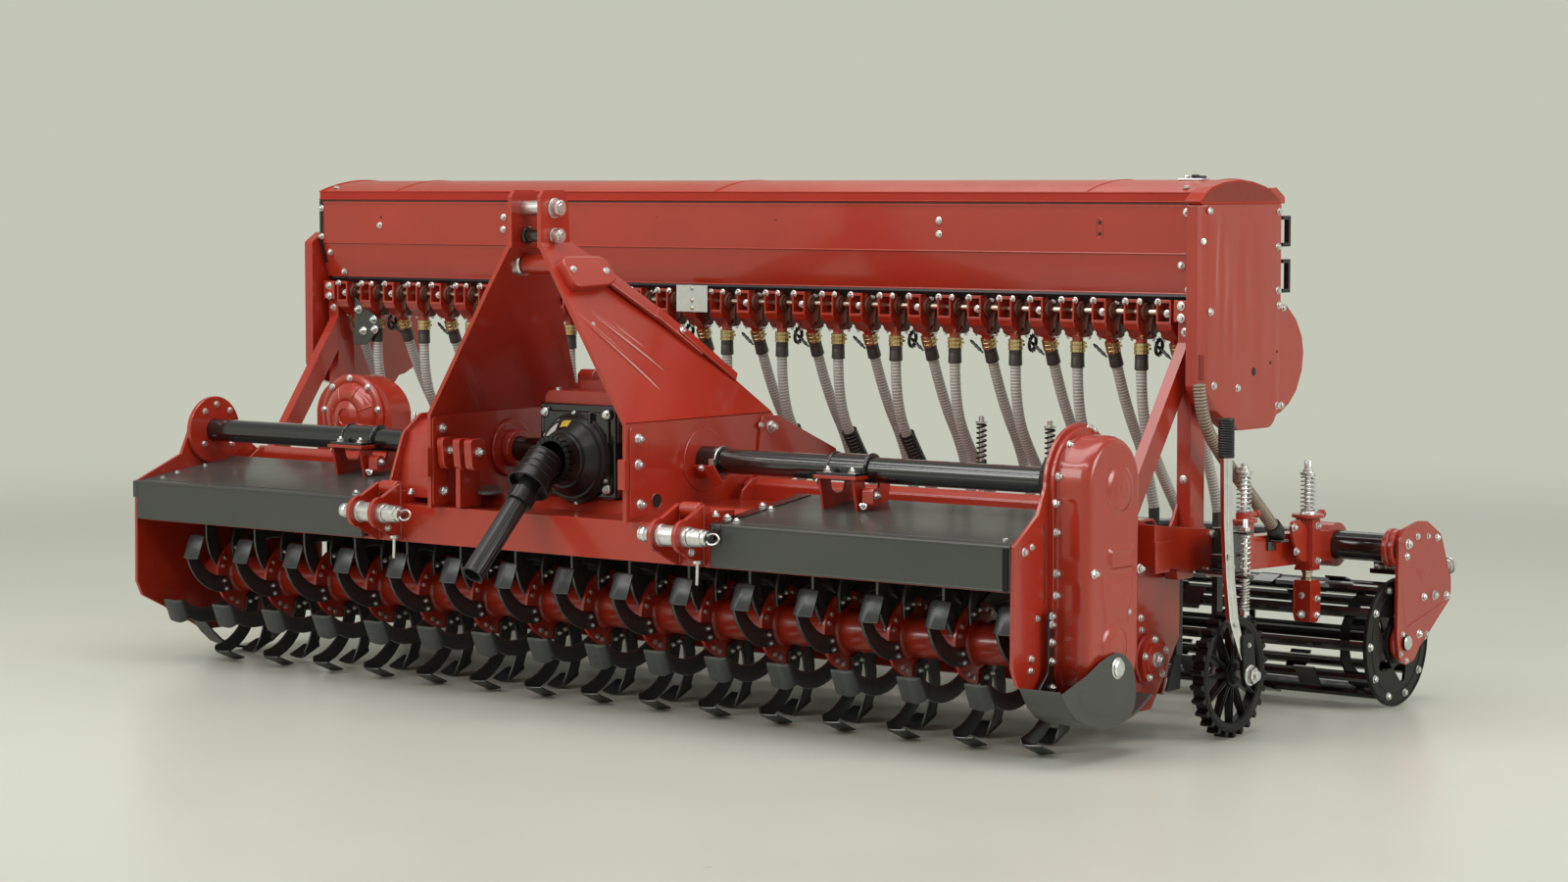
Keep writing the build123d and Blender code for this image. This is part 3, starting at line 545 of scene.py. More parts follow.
def metalMaterial(name, look):
    material, tree, shader, place = newMaterial(name)
    grain = useEffect(tree, "metal", place, **{"Stretch": look["stretch"],
                                               "Bright Colour": (*look["colour"], 1),
                                               "Stain Colour": (*look["stain"], 1),
                                               "Base Roughness": look["roughness"]})
    wearAndHighlight = useEffect(tree, "edgeWearAndHighlight", place, **{"Amount": look["wearAndHighlight"], "Breakup Scale": 90.0})["Mask"]
    # edges take a lighter colour: rubbed metal and a painted highlight
    colour = mixColour(tree, wearAndHighlight, grain["Colour"], (*look["bareAndHighlight"], 1))
    tree.links.new(colour, shader.inputs["Base Color"])
    tree.links.new(grain["Roughness"], shader.inputs["Roughness"])
    shader.inputs["Metallic"].default_value = look["metallic"]
    addBump(tree, shader, grain["Height"], look["bump"])
    return material


def plasticMaterial(name, look):
    material, tree, shader, place = newMaterial(name)
    tone = noise(tree, place, look["patch"], 5.0, 0.6)
    colour = mixColour(tree, tone, (*look["colour"], 1), (*look["tint"], 1))
    dust = useEffect(tree, "dust", place, Amount=look["dust"])["Mask"]
    tree.links.new(mixColour(tree, dust, colour, (0.3, 0.29, 0.26, 1)), shader.inputs["Base Color"])
    fine = noise(tree, place, look["grain"], 2.0)
    rough = mathNode(tree, "ADD", mathNode(tree, "MULTIPLY", mathNode(tree, "SUBTRACT", tone, 0.5), 0.2),
                     look["roughness"])
    tree.links.new(rough, shader.inputs["Roughness"])
    shader.inputs["IOR"].default_value = 1.48
    addBump(tree, shader, fine, look["bump"])
    return material


# each look's lighter edge colour stands for rubbed edges and a painted highlight on them
redLook = {"colour": (0.405, 0.023, 0.0065), "deep": (0.33, 0.016, 0.0045), "roughness": 0.32, "peel": 0.4,
           "wave": 0.35, "wearAndHighlight": 0.1, "bareAndHighlight": (0.6, 0.12, 0.07), "dust": 0.07,
           "dustColour": (0.42, 0.25, 0.19), "metallic": 0.0, "coat": 0.75, "coatRoughness": 0.11,
           "specular": 0.5}
greyLook = {"colour": (0.05, 0.053, 0.048), "deep": (0.04, 0.043, 0.039), "roughness": 0.4, "peel": 0.3,
            "wave": 0.35, "wearAndHighlight": 0.12, "bareAndHighlight": (0.18, 0.185, 0.18), "dust": 0.08,
            "dustColour": (0.2, 0.2, 0.18), "metallic": 0.0, "coat": 0.35, "coatRoughness": 0.16,
            "specular": 0.4}
blackLook = {"colour": (0.0075, 0.0075, 0.008), "deep": (0.004, 0.004, 0.0045), "roughness": 0.22,
             "peel": 0.06, "wave": 0.03, "wearAndHighlight": 0.08, "bareAndHighlight": (0.06, 0.06, 0.06), "dust": 0.02,
             "dustColour": (0.12, 0.115, 0.1), "metallic": 0.0, "coat": 1.0, "coatRoughness": 0.04,
             "specular": 0.5}
zincLook = {"colour": (0.78, 0.79, 0.78), "stain": (0.55, 0.55, 0.52), "bareAndHighlight": (0.85, 0.85, 0.85),
            "wearAndHighlight": 0.0, "roughness": 0.3, "metallic": 1.0, "stretch": (1, 1, 1), "bump": 0.000003}
bladeLook = {"colour": (0.042, 0.045, 0.047), "stain": (0.035, 0.037, 0.039), "bareAndHighlight": (0.2, 0.2, 0.2),
             "wearAndHighlight": 0.0, "roughness": 0.3, "metallic": 0.25, "stretch": (1, 1, 1), "bump": 0.000002}
# the blades' edge faces: ground bare steel, lighter also as a painted highlight along the edges
bladeEdgeHighlightLook = {"colour": (0.125, 0.128, 0.125), "stain": (0.085, 0.085, 0.085),
                 "bareAndHighlight": (0.35, 0.35, 0.35), "wearAndHighlight": 0.0, "roughness": 0.3, "metallic": 0.9,
                 "stretch": (1, 1, 1), "bump": 0.00001}
brightLook = {"colour": (0.86, 0.86, 0.87), "stain": (0.72, 0.72, 0.72), "bareAndHighlight": (0.9, 0.9, 0.9),
              "wearAndHighlight": 0.0, "roughness": 0.1, "metallic": 1.0, "stretch": (1, 1, 0.1), "bump": 0.000004}
shaftLook = {"colour": (0.62, 0.55, 0.44), "stain": (0.4, 0.27, 0.15), "bareAndHighlight": (0.8, 0.78, 0.72),
             "wearAndHighlight": 0.0, "roughness": 0.18, "metallic": 1.0, "stretch": (0.2, 1, 1), "bump": 0.000003}
clipLook = {"colour": (0.66, 0.56, 0.32), "stain": (0.46, 0.27, 0.09), "bareAndHighlight": (0.8, 0.76, 0.6),
            "wearAndHighlight": 0.1, "roughness": 0.26, "metallic": 1.0, "stretch": (1, 1, 1), "bump": 0.00002}
plateLook = {"colour": (0.7, 0.7, 0.69), "stain": (0.56, 0.56, 0.55), "bareAndHighlight": (0.8, 0.8, 0.8), "wearAndHighlight": 0.2,
             "roughness": 0.34, "metallic": 1.0, "stretch": (0.1, 1, 6), "bump": 0.00003}
blackPlasticLook = {"colour": (0.0085, 0.0085, 0.009), "tint": (0.014, 0.014, 0.014), "patch": 22.0,
                    "dust": 0.05, "grain": 520.0, "roughness": 0.33, "bump": 0.00004}
cuffLook = {"colour": (0.052, 0.043, 0.04), "tint": (0.03, 0.025, 0.024), "patch": 30.0, "dust": 0.05,
            "grain": 500.0, "roughness": 0.38, "bump": 0.00003}
hoseLook = {"colour": (0.72, 0.74, 0.7), "tint": (0.62, 0.63, 0.59), "patch": 14.0, "dust": 0.06,
            "grain": 300.0, "roughness": 0.26, "bump": 0.00001}
# the darker hose colour for the grooves: painted shade
grooveShadeLook = {"colour": (0.3, 0.3, 0.28), "tint": (0.38, 0.38, 0.35), "patch": 30.0, "dust": 0.0,
              "grain": 300.0, "roughness": 0.34, "bump": 0.00001}
whiteLook = {"colour": (0.6, 0.6, 0.58), "tint": (0.5, 0.5, 0.48), "patch": 40.0, "dust": 0.05,
             "grain": 300.0, "roughness": 0.4, "bump": 0.00002}
yellowLook = {**whiteLook, "colour": (0.62, 0.46, 0.05), "tint": (0.55, 0.4, 0.05), "dust": 0.03}
redSatinLook = {**redLook, "coat": 0.2, "coatRoughness": 0.22, "specular": 0.25, "roughness": 0.38}
# a darker copy of the red paint: painted shade
redPaintedShadeLook = {**redSatinLook, "colour": (0.24, 0.026, 0.012), "deep": (0.2, 0.02, 0.009)}
housingLook = {**redSatinLook, "colour": (0.17, 0.06, 0.034), "deep": (0.1, 0.03, 0.018), "dust": 0.25,
               "coat": 0.1}
blackSatinLook = {**blackLook, "coat": 0.12, "coatRoughness": 0.25, "specular": 0.18, "roughness": 0.34}

red = paintMaterial("redPaint", redLook)
blackSatin = paintMaterial("blackSatin", blackSatinLook)
redSatin = paintMaterial("redSatin", redSatinLook)
redPaintedShade = paintMaterial("redPaintedShade", redPaintedShadeLook)
housing = paintMaterial("housingPaint", housingLook)
grey = paintMaterial("greyPaint", greyLook)
black = paintMaterial("blackPaint", blackLook)
blackPlastic = plasticMaterial("blackPlastic", blackPlasticLook)
blade = metalMaterial("bladeSteel", bladeLook)
bladeEdgeHighlight = metalMaterial("bladeEdgeHighlight", bladeEdgeHighlightLook)
zinc = metalMaterial("zincPlate", zincLook)
bright = metalMaterial("brightSteel", brightLook)
bronze = metalMaterial("shaftSteel", shaftLook)
clipMetal = metalMaterial("yellowZinc", clipLook)
platingPale = metalMaterial("palePlate", plateLook)
cuffPlastic = plasticMaterial("cuffPlastic", cuffLook)
hosePlastic = plasticMaterial("hosePlastic", hoseLook)
hoseGrooveShade = plasticMaterial("hoseGrooveShade", grooveShadeLook)
drainPlastic = plasticMaterial("drainPlastic", {**hoseLook, "colour": (0.46, 0.37, 0.28),
                                                "tint": (0.3, 0.22, 0.15)})
# the drain hose's grooves, darker: painted shade
drainGrooveShade = plasticMaterial("drainGrooveShade", {**grooveShadeLook, "colour": (0.12, 0.085, 0.06),
                                              "tint": (0.2, 0.15, 0.11)})
whiteLabel = plasticMaterial("whiteLabel", whiteLook)
yellowLabel = plasticMaterial("yellowLabel", yellowLook)

# what fills each slot, its usual material first
finishes = {"red_paint": [red, redSatin, redPaintedShade, housing], "grey_paint": [grey],
            "black_paint": [black, blackSatin], "black_plastic": [blackPlastic, whiteLabel, yellowLabel],
            "blade_steel": [blade], "zinc": [zinc, bronze, platingPale], "bright_steel": [bright],
            "clip_metal": [clipMetal], "cuff_plastic": [cuffPlastic],
            "hose_plastic": [hosePlastic, drainPlastic]}
slotOf = {material.name: slotName for slotName, group in finishes.items() for material in group}
for part in frame["record"]["subparts"]:
    for place in nodes[part["node"]].material_slots:
        place.material = finishes[part["material_slot"]][0]
nodes["metering_shaft"].material_slots[0].material = bronze
nodes["hopper_lid"].material_slots[0].material = redSatin
for name in ("roller_cage", "roller_rings"):
    nodes[name].material_slots[0].material = blackSatin
print("finishes ready")

cameraPlace = {"lens": 81.11, "position": (6.0658, -6.9984, 1.344), "pitch": -0.0719, "turn": 0.6628}
cameraData = bpy.data.cameras.new("camera")
cameraData.lens = cameraPlace["lens"]
cameraData.sensor_width = 36
cameraData.clip_end = 200
camera = bpy.data.objects.new("camera", cameraData)
camera.location = at(*cameraPlace["position"])
camera.rotation_euler = (math.pi / 2 + cameraPlace["pitch"], 0, cameraPlace["turn"])
scene.collection.objects.link(camera)
scene.camera = camera

studio = {"haze": (0.552, 0.571, 0.479), "floorColour": (0.6, 0.612, 0.545), "floorRoughness": 0.3,
          "reach": 60.0, "nearHaze": 3.4, "farHaze": 9.0, "zenith": (0.3, 0.305, 0.29)}


def smoothShare(tree, value, low, high):
    node = addNode(tree, "ShaderNodeMapRange", {"interpolation_type": "SMOOTHERSTEP"})
    tree.links.new(value, node.inputs["Value"])
    node.inputs["From Min"].default_value = low
    node.inputs["From Max"].default_value = high
    return node.outputs["Result"]


def floorMaterial():
    # a painted floor that melts into the pale backdrop away from the machine
    material, tree, shader, place = newMaterial("studioFloor")
    patches = noise(tree, place, 0.35, 4.0, 0.55)
    pale = tuple(c * 1.03 for c in studio["floorColour"])
    dim = tuple(c * 0.95 for c in studio["floorColour"])
    tree.links.new(mixColour(tree, patches, (*pale, 1), (*dim, 1)), shader.inputs["Base Color"])
    streaks = noise(tree, place, 2.2, 5.0, 0.6)
    tree.links.new(mathNode(tree, "ADD", mathNode(tree, "MULTIPLY", streaks, 0.12),
                            studio["floorRoughness"] - 0.06), shader.inputs["Roughness"])
    shader.inputs["Specular IOR Level"].default_value = 0.35
    glow = addNode(tree, "ShaderNodeEmission", Color=(*studio["haze"], 1))
    away = addNode(tree, "ShaderNodeVectorMath", {"operation": "LENGTH"})
    tree.links.new(place, away.inputs[0])
    mix = tree.nodes.new("ShaderNodeMixShader")
    tree.links.new(smoothShare(tree, away.outputs["Value"], studio["nearHaze"], studio["farHaze"]),
                   mix.inputs[0])
    tree.links.new(shader.outputs[0], mix.inputs[1])
    tree.links.new(glow.outputs[0], mix.inputs[2])
    out = next(n for n in tree.nodes if n.type == "OUTPUT_MATERIAL")
    tree.links.new(mix.outputs[0], out.inputs[0])
    return material


def makeStudio():
    bm = bmesh.new()
    bmesh.ops.create_circle(bm, cap_ends=True, segments=96, radius=studio["reach"])
    mesh = bpy.data.meshes.new("studioFloor")
    bm.to_mesh(mesh)
    bm.free()
    mesh.materials.append(floorMaterial())
    floor = bpy.data.objects.new("studioFloor", mesh)
    scene.collection.objects.link(floor)
    world = bpy.data.worlds.new("studio")
    scene.world = world
    world.use_nodes = True
    tree = world.node_tree
    height = tree.nodes.new("ShaderNodeSeparateXYZ")
    tree.links.new(tree.nodes.new("ShaderNodeTexCoord").outputs["Generated"], height.inputs[0])
    share = smoothShare(tree, height.outputs["Z"], 0.2, 0.8)
    tree.links.new(mixColour(tree, share, (*studio["haze"], 1), (*studio["zenith"], 1)),
                   tree.nodes["Background"].inputs["Color"])


makeStudio()

lamps = {"top": {"place": (0.4, -0.6, 5.0), "aim": (0, 0.1, 0.4), "size": (6.5, 2.6), "power": 165},
         "strip": {"place": (0.0, -3.6, 4.4), "aim": (0, 0, 0.6), "size": (7.5, 0.5), "power": 80},
         "front": {"place": (-3.6, -9.0, 5.2), "aim": (-0.2, 0, 0.6), "size": (5.0, 3.4), "power": 250},
         "side": {"place": (7.4, 1.4, 3.0), "aim": (1.2, 0, 0.7), "size": (3.5, 2.6), "power": 180},
         "back": {"place": (-1.0, 5.5, 5.4), "aim": (0, 0.4, 0.6), "size": (6.0, 2.0), "power": 45}}
for name, lamp in lamps.items():
    light = bpy.data.lights.new("lamp_" + name, "AREA")
    light.shape = "RECTANGLE"
    light.size, light.size_y = lamp["size"]
    light.energy = lamp["power"]
    light.color = (1.0, 0.99, 0.965)
    holder = bpy.data.objects.new("lamp_" + name, light)
    holder.location = at(*lamp["place"])
    holder.rotation_euler = (at(*lamp["aim"]) - holder.location).to_track_quat("-Z", "Y").to_euler()
    scene.collection.objects.link(holder)

scene.view_settings.view_transform = "Standard"
print("camera, floor and lamps ready")

# each hose leaves its cuff, leans or drops, and turns down into its seed tube: (y, z) at its points
hoseRoutes = {"leaning": [(0.5552, 0.8928), (0.5994, 0.7834), (0.7, 0.64), (0.73686, 0.52)],
              "upright": [(0.52, 0.886), (0.52, 0.768), (0.6, 0.64), (0.69886, 0.52)]}
hose = {"diameter": 0.029, "ribPitch": 0.008, "ribDepth": 0.0014, "sides": 14, "pitch": 0.0952, "count": 31}


def readRoute(points, name):
    # the line of a NURBS spline through these control points, as a list of places
    curve = bpy.data.curves.new(name, "CURVE")
    curve.dimensions = "3D"
    spline = curve.splines.new("NURBS")
    spline.points.add(len(points) - 1)
    for point, place in zip(spline.points, points):
        point.co = (*place, 1)
    spline.order_u = 3
    spline.use_endpoint_u = True
    spline.resolution_u = 20
    holder = bpy.data.objects.new(name, curve)
    scene.collection.objects.link(holder)
    bpy.context.view_layer.update()
    mesh = bpy.data.meshes.new_from_object(holder)
    line = [v.co.copy() for v in mesh.vertices]
    bpy.data.objects.remove(holder)
    bpy.data.curves.remove(curve)
    bpy.data.meshes.remove(mesh)
    return line


def evenly(line, step):
    # places a step apart along a line, from its first end to its last
    lengths = [0.0]
    for a, b in zip(line, line[1:]):
        lengths.append(lengths[-1] + (b - a).length)
    count = max(2, round(lengths[-1] / step))
    places = []
    k = 0
    for i in range(count + 1):
        want = lengths[-1] * i / count
        while k < len(line) - 2 and lengths[k + 1] < want:
            k += 1
        share = (want - lengths[k]) / max(lengths[k + 1] - lengths[k], 1e-9)
        places.append(line[k].lerp(line[k + 1], min(max(share, 0), 1)))
    return places, lengths[-1]


def makeHose(index, x, route):
    name = f"seedHose{index + 1:02d}"
    line = readRoute([at(x, y, z) for y, z in route], name)
    path, length = evenly(line, hose["ribPitch"] / 3)
    bm = bmesh.new()
    addRibbedTube(bm, path, hose["diameter"] / 2, hose["ribDepth"], hose["sides"])
    piece = newPiece(name, bm, [hosePlastic, hoseGrooveShade], smooth=60)
    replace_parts(piece, "seed_hoses")
    return path


unitX = [hose["pitch"] * (i - (hose["count"] - 1) / 2) for i in range(hose["count"])]
hosePaths = [makeHose(i, x, hoseRoutes["leaning" if i % 2 == 0 else "upright"])
             for i, x in enumerate(unitX)]
print("seed hoses ready")

# rotor: curved blades with turned feet, round flanges and their bolts
rotor = {"firstX": -1.349, "pitch": 0.197, "flanges": 15, "flangeRadius": 0.1, "flangeThick": 0.01,
         "blades": 8, "reach": 0.244, "bend": 0.018, "half": 0.004, "footEnd": 0.071, "boltCircle": 0.084}
rotorSpot = middleOf("rotor_shaft")


def bladePath():
    # down one blade: its middle, half its width, half its thickness
    bend, half, root = rotor["bend"], rotor["half"], 0.064
    path = []
    for i in range(10):
        share = i / 9
        trail = math.radians(46 * (1 - share) ** 0.9)
        out = Vector((0, -math.sin(trail), math.cos(trail)))
        across = Vector((0, math.cos(trail), math.sin(trail)))
        middle = Vector((0.009, 0, 0)) + out * (root + (rotor["reach"] - bend - root) * share)
        path.append((middle, across * (0.023 + 0.008 * share), Vector((half, 0, 0))))
    for i in range(1, 6):
        turn = math.pi / 2 * i / 5
        middle = Vector((0.009 + bend * (1 - math.cos(turn)), 0,
                         rotor["reach"] - bend * (1 - math.sin(turn))))
        path.append((middle, Vector((0, 0.031 + 0.005 * i / 5, 0)),
                     Vector((math.cos(turn), 0, -math.sin(turn))) * half))
    for i in range(1, 5):
        share = i / 4
        middle = Vector((0.027 + (rotor["footEnd"] - 0.027) * share, 0,
                         rotor["reach"] - 0.004 * share ** 2))
        path.append((middle, Vector((0, 0.036 - 0.003 * share ** 3, 0)),
                     Vector((0, 0, 0.0018 * share - half))))
    return path


def makeRotor():
    section = [(-1, -0.4), (-0.95, -1), (0.84, -1), (1, -0.3), (1, 0.3), (0.84, 1), (-0.95, 1), (-1, 0.4)]
    bladeMesh, discMesh, boltMesh = bmesh.new(), bmesh.new(), bmesh.new()
    path = bladePath()
    edge = rotor["flangeRadius"]
    for k in range(rotor["flanges"]):
        x = rotor["firstX"] + rotor["pitch"] * k
        centre = Vector((x, rotorSpot.y, rotorSpot.z))
        t = rotor["flangeThick"] / 2
        profile = [(0.05, t + 0.007), (0.0515, t + 0.006), (0.056, t + 0.0005), (edge - 0.0012, t),
                   (edge, t - 0.0012), (edge, 0.0012 - t), (edge - 0.0012, -t), (0.056, -t - 0.0005),
                   (0.0515, -t - 0.006), (0.05, -t - 0.007)]
        addLathe(discMesh, profile, placed(centre, (1, 0, 0)), 48, closed=True)
        for i in range(rotor["blades"]):
            side = 1 if i % 2 else -1
            turn = Matrix.Rotation(2 * math.pi * (i + 0.5) / rotor["blades"], 4, "X")
            rings = []
            for middle, across, through in path:
                ring = []
                for u, v in section:
                    spot = turn @ (middle + across * u + through * v)
                    ring.append(bladeMesh.verts.new(centre + Vector((spot.x * side, spot.y, spot.z))))
                rings.append(ring)
            for a, b in zip(rings, rings[1:]):
                for j in range(8):
                    face = bladeMesh.faces.new((a[j], a[(j + 1) % 8], b[(j + 1) % 8], b[j]))
                    # the edge faces take the lighter steel: ground edges and a painted highlight
                    face.material_index = 0 if j in (1, 5) else 1
            bladeMesh.faces.new(rings[0])
            bladeMesh.faces.new(rings[-1]).material_index = 1
            for shift in (-0.012, 0.012):
                spot = Vector((0, -math.sin(0.72), math.cos(0.72))) * rotor["boltCircle"]
                spot = turn @ (spot + Vector((0, math.cos(0.72), math.sin(0.72))) * shift)
                addBolt(boltMesh, centre + Vector((side * 0.013, spot.y, spot.z)), (side, 0, 0), 0.008,
                        0.005, False)
                addBolt(boltMesh, centre + Vector((-side * t, spot.y, spot.z)), (-side, 0, 0), 0.008,
                        washer=False)
    blades = newPiece("rotorBlades", bladeMesh, [blade, bladeEdgeHighlight], "rotor", smooth=50)
    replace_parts(blades, "rotor_blades", "blade_feet")
    discs = newPiece("rotorFlanges", discMesh, red, "rotor")
    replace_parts(discs, "rotor_flanges")
    newPiece("rotorBolts", boltMesh, zinc, "rotor", smooth=28)


makeRotor()
print("rotor ready")


def roundedBox(y, z, middle, half, corner):
    # distance to a rounded rectangle's edge, less than zero inside it
    dy, dz = abs(y - middle[0]) - half[0] + corner, abs(z - middle[1]) - half[1] + corner
    return math.hypot(max(dy, 0), max(dz, 0)) + min(max(dy, dz), 0) - corner


def raised(distance, width):
    # 1 well inside an edge and 0 outside it, smooth across the width
    share = min(max(0.5 - distance / width, 0), 1)
    return share * share * (3 - 2 * share)


# gear case: a pressed shell between two round ends, with bosses and a rounded shoulder
gearCase = {"y": -0.014, "topZ": tubeZ, "lowZ": rotorSpot.z, "topRadius": 0.119, "lowRadius": 0.117,
            "rim": 0.014, "face": halfWidth + 0.1, "arcRows": 22, "sideRows": 78, "columns": 44}
caseRings = [(-0.014, 0.0), (-0.014, 0.0125), (-0.0125, 0.014), (-0.0005, 0.014), (0.001, 0.0155),
             (0.0015, 0.022), (0.002, 0.032), (0.0022, 0.042), (0.0022, 0.052), (0.0022, 0.062),
             (0.0025, 0.072), (0.0035, 0.08), (0.0065, 0.088), (0.011, 0.0945), (0.0165, 0.0985),
             (0.0225, 0.1)]


def caseEdge(inset):
    # the outline as pairs of (y, z), front and rear, from the top to the bottom
    top, low = gearCase["topRadius"] - inset, gearCase["lowRadius"] - inset
    pairs = []
    for i in range(gearCase["arcRows"] + 1):
        turn = math.pi / 2 * i / gearCase["arcRows"]
        pairs.append((top * math.sin(turn), gearCase["topZ"] + top * math.cos(turn)))
    for i in range(1, gearCase["sideRows"]):
        share = i / gearCase["sideRows"]
        pairs.append((top + (low - top) * share,
                      gearCase["topZ"] + (gearCase["lowZ"] - gearCase["topZ"]) * share))
    for i in range(gearCase["arcRows"] + 1):
        turn = math.pi / 2 * i / gearCase["arcRows"]
        pairs.append((low * math.cos(turn), gearCase["lowZ"] - low * math.sin(turn)))
    return pairs


def caseFace(y, z):
    # how far the face is pressed out at a place
    boss = math.hypot(y - 0.004, z - 0.636)
    lift = 0.0065 * raised(boss - 0.052, 0.012) + 0.0025 * raised(boss - 0.03, 0.01)
    lift += 0.002 * raised(boss - 0.008, 0.005) - 0.0022 * raised(boss - 0.0028, 0.002)
    lift += 0.0075 * raised(roundedBox(y, z, (0.012, 0.473), (0.054, 0.023), 0.01), 0.01)
    lift -= 0.0022 * raised(roundedBox(y, z, (0.012, 0.473), (0.041, 0.012), 0.006), 0.006)
    shield = max(abs(y + 0.006) - 0.066 + max(0.4 - z, 0) * 0.25,
                 abs(z - 0.375) - 0.045 - 0.25 * abs(y + 0.006))
    lift += 0.0022 * raised(shield, 0.008)
    low = math.hypot(y + 0.018, z - 0.262)
    lift += 0.0065 * raised(low - 0.052, 0.012) + 0.002 * raised(low - 0.034, 0.008)
    return lift


def makeGearCase():
    bm = bmesh.new()
    rings = []
    for inset, depth in caseRings:
        front, back = [], []
        for half, z in caseEdge(inset):
            dent = 0.0045 * raised(roundedBox(depth, z, (0.052, 0.545), (0.016, 0.07), 0.012), 0.016)
            dent += 0.004 * raised(roundedBox(depth, z, (0.058, 0.385), (0.014, 0.035), 0.01), 0.014)
            y = gearCase["y"]
            wide = max(half, 0)
            front.append(bm.verts.new(at(halfWidth + depth, y - wide + dent * (wide > 0.05), z)))
            back.append(bm.verts.new(at(halfWidth + depth, y + wide, z)) if wide > 1e-6 else front[-1])
        rings.append((front, back))
    for (frontA, backA), (frontB, backB) in zip(rings, rings[1:]):
        addSheet(bm, (frontA, frontB))
        addSheet(bm, (backB, backA))
    edge = caseEdge(caseRings[-1][0])
    columns = gearCase["columns"]
    rows = []
    for i, (half, z) in enumerate(edge):
        if half < 1e-6:
            rows.append([rings[-1][0][i]])
            continue
        row = [rings[-1][0][i]]
        for j in range(1, columns):
            y = gearCase["y"] + half * (2 * j / columns - 1)
            row.append(bm.verts.new(at(gearCase["face"] + caseFace(y, z), y, z)))
        rows.append(row + [rings[-1][1][i]])
    for a, b in zip(rows, rows[1:]):
        for j in range(columns):
            face = [a[j] if len(a) > 1 else a[0], b[j] if len(b) > 1 else b[0]]
            face += [b[j + 1]] if len(b) > 1 else []
            face += [a[j + 1]] if len(a) > 1 else []
            bm.faces.new(face)
    piece = newPiece("gearCaseShell", bm, red, smooth=42)
    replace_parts(piece, "gear_case")
    # the strap beside the shell, and a black strip for the groove beside it: painted shade in the groove
    bm = bmesh.new()
    addPlate(bm, [(-0.174, 0.357, 0.01), (-0.15, 0.357, 0.01), (-0.15, 0.205, 0.02), (-0.128, 0.16, 0.006),
                  (-0.15, 0.146, 0.006), (-0.222, 0.168, 0.008), (-0.174, 0.215, 0.03)], halfWidth + 0.0145,
             halfWidth + 0.0215)
    newPiece("caseStrap", bm, black, bevel=0.0015)
    bm = bmesh.new()
    addPlate(bm, [(-0.1655, 0.56, 0.001), (-0.1625, 0.56, 0.001), (-0.1625, 0.372, 0.001),
                  (-0.1655, 0.372, 0.001)], halfWidth - 0.001, halfWidth + 0.0008)
    newPiece("caseGrooveShade", bm, black, smooth=0)
    right = (1, 0, 0)
    flange = [(-0.093, 0.74), (-0.14, 0.669), (-0.151, 0.608), (-0.1475, 0.539), (-0.1475, 0.442),
              (-0.1475, 0.39)]
    spots = [(at(halfWidth + 0.014, y + 0.012, z), right, 0.0105, 0.006) for y, z in flange]
    spots += [(at(halfWidth, 0.026, 0.77), right, 0.0125, 0.01), (at(halfWidth, 0.078, 0.735), right, 0.01)]
    spots += boltsOn(halfWidth + 0.0215, ((-0.162, 0.345), (-0.162, 0.325), (-0.162, 0.283),
                                          (-0.162, 0.238), (-0.158, 0.176)), 0.0092, 0.004)
    spots += boltsOn(gearCase["face"], ((-0.104, 0.444), (0.093, 0.44)), 0.0105, 0.006)
    spots += [(at(gearCase["face"], 0.045, 0.342), right, 0.0075)]
    spots += [(at(halfWidth, y, z), right, size)
              for y, z, size in ((-0.245, 0.5, 0.0095), (-0.214, 0.509, 0.0075), (-0.215, 0.2476, 0.0085),
                                 (-0.217, 0.219, 0.0085), (-0.19, 0.3405, 0.007), (0.249, 0.51, 0.009),
                                 (0.2515, 0.487, 0.0075), (0.2594, 0.453, 0.0095), (0.2352, 0.422, 0.0095),
                                 (0.2578, 0.298, 0.009), (0.2619, 0.268, 0.0085))]
    boltGroup("caseBolts", spots)


makeGearCase()

# skids: a pressed shield under the gear case and bent soles on both sides
skid = {"outer": halfWidth + 0.12, "thick": 0.008}
shieldLine = [(-0.262, 0.178), (-0.205, 0.196), (-0.148, 0.214), (-0.1, 0.236), (-0.06, 0.248),
              (-0.029, 0.2535), (-0.002, 0.248), (0.025, 0.232), (0.045, 0.212), (0.055, 0.188),
              (0.06, 0.16), (0.058, 0.135), (0.05, 0.11), (0.03, 0.09), (-0.02, 0.08), (-0.064, 0.078),
              (-0.11, 0.084), (-0.16, 0.096), (-0.205, 0.116), (-0.24, 0.146)]


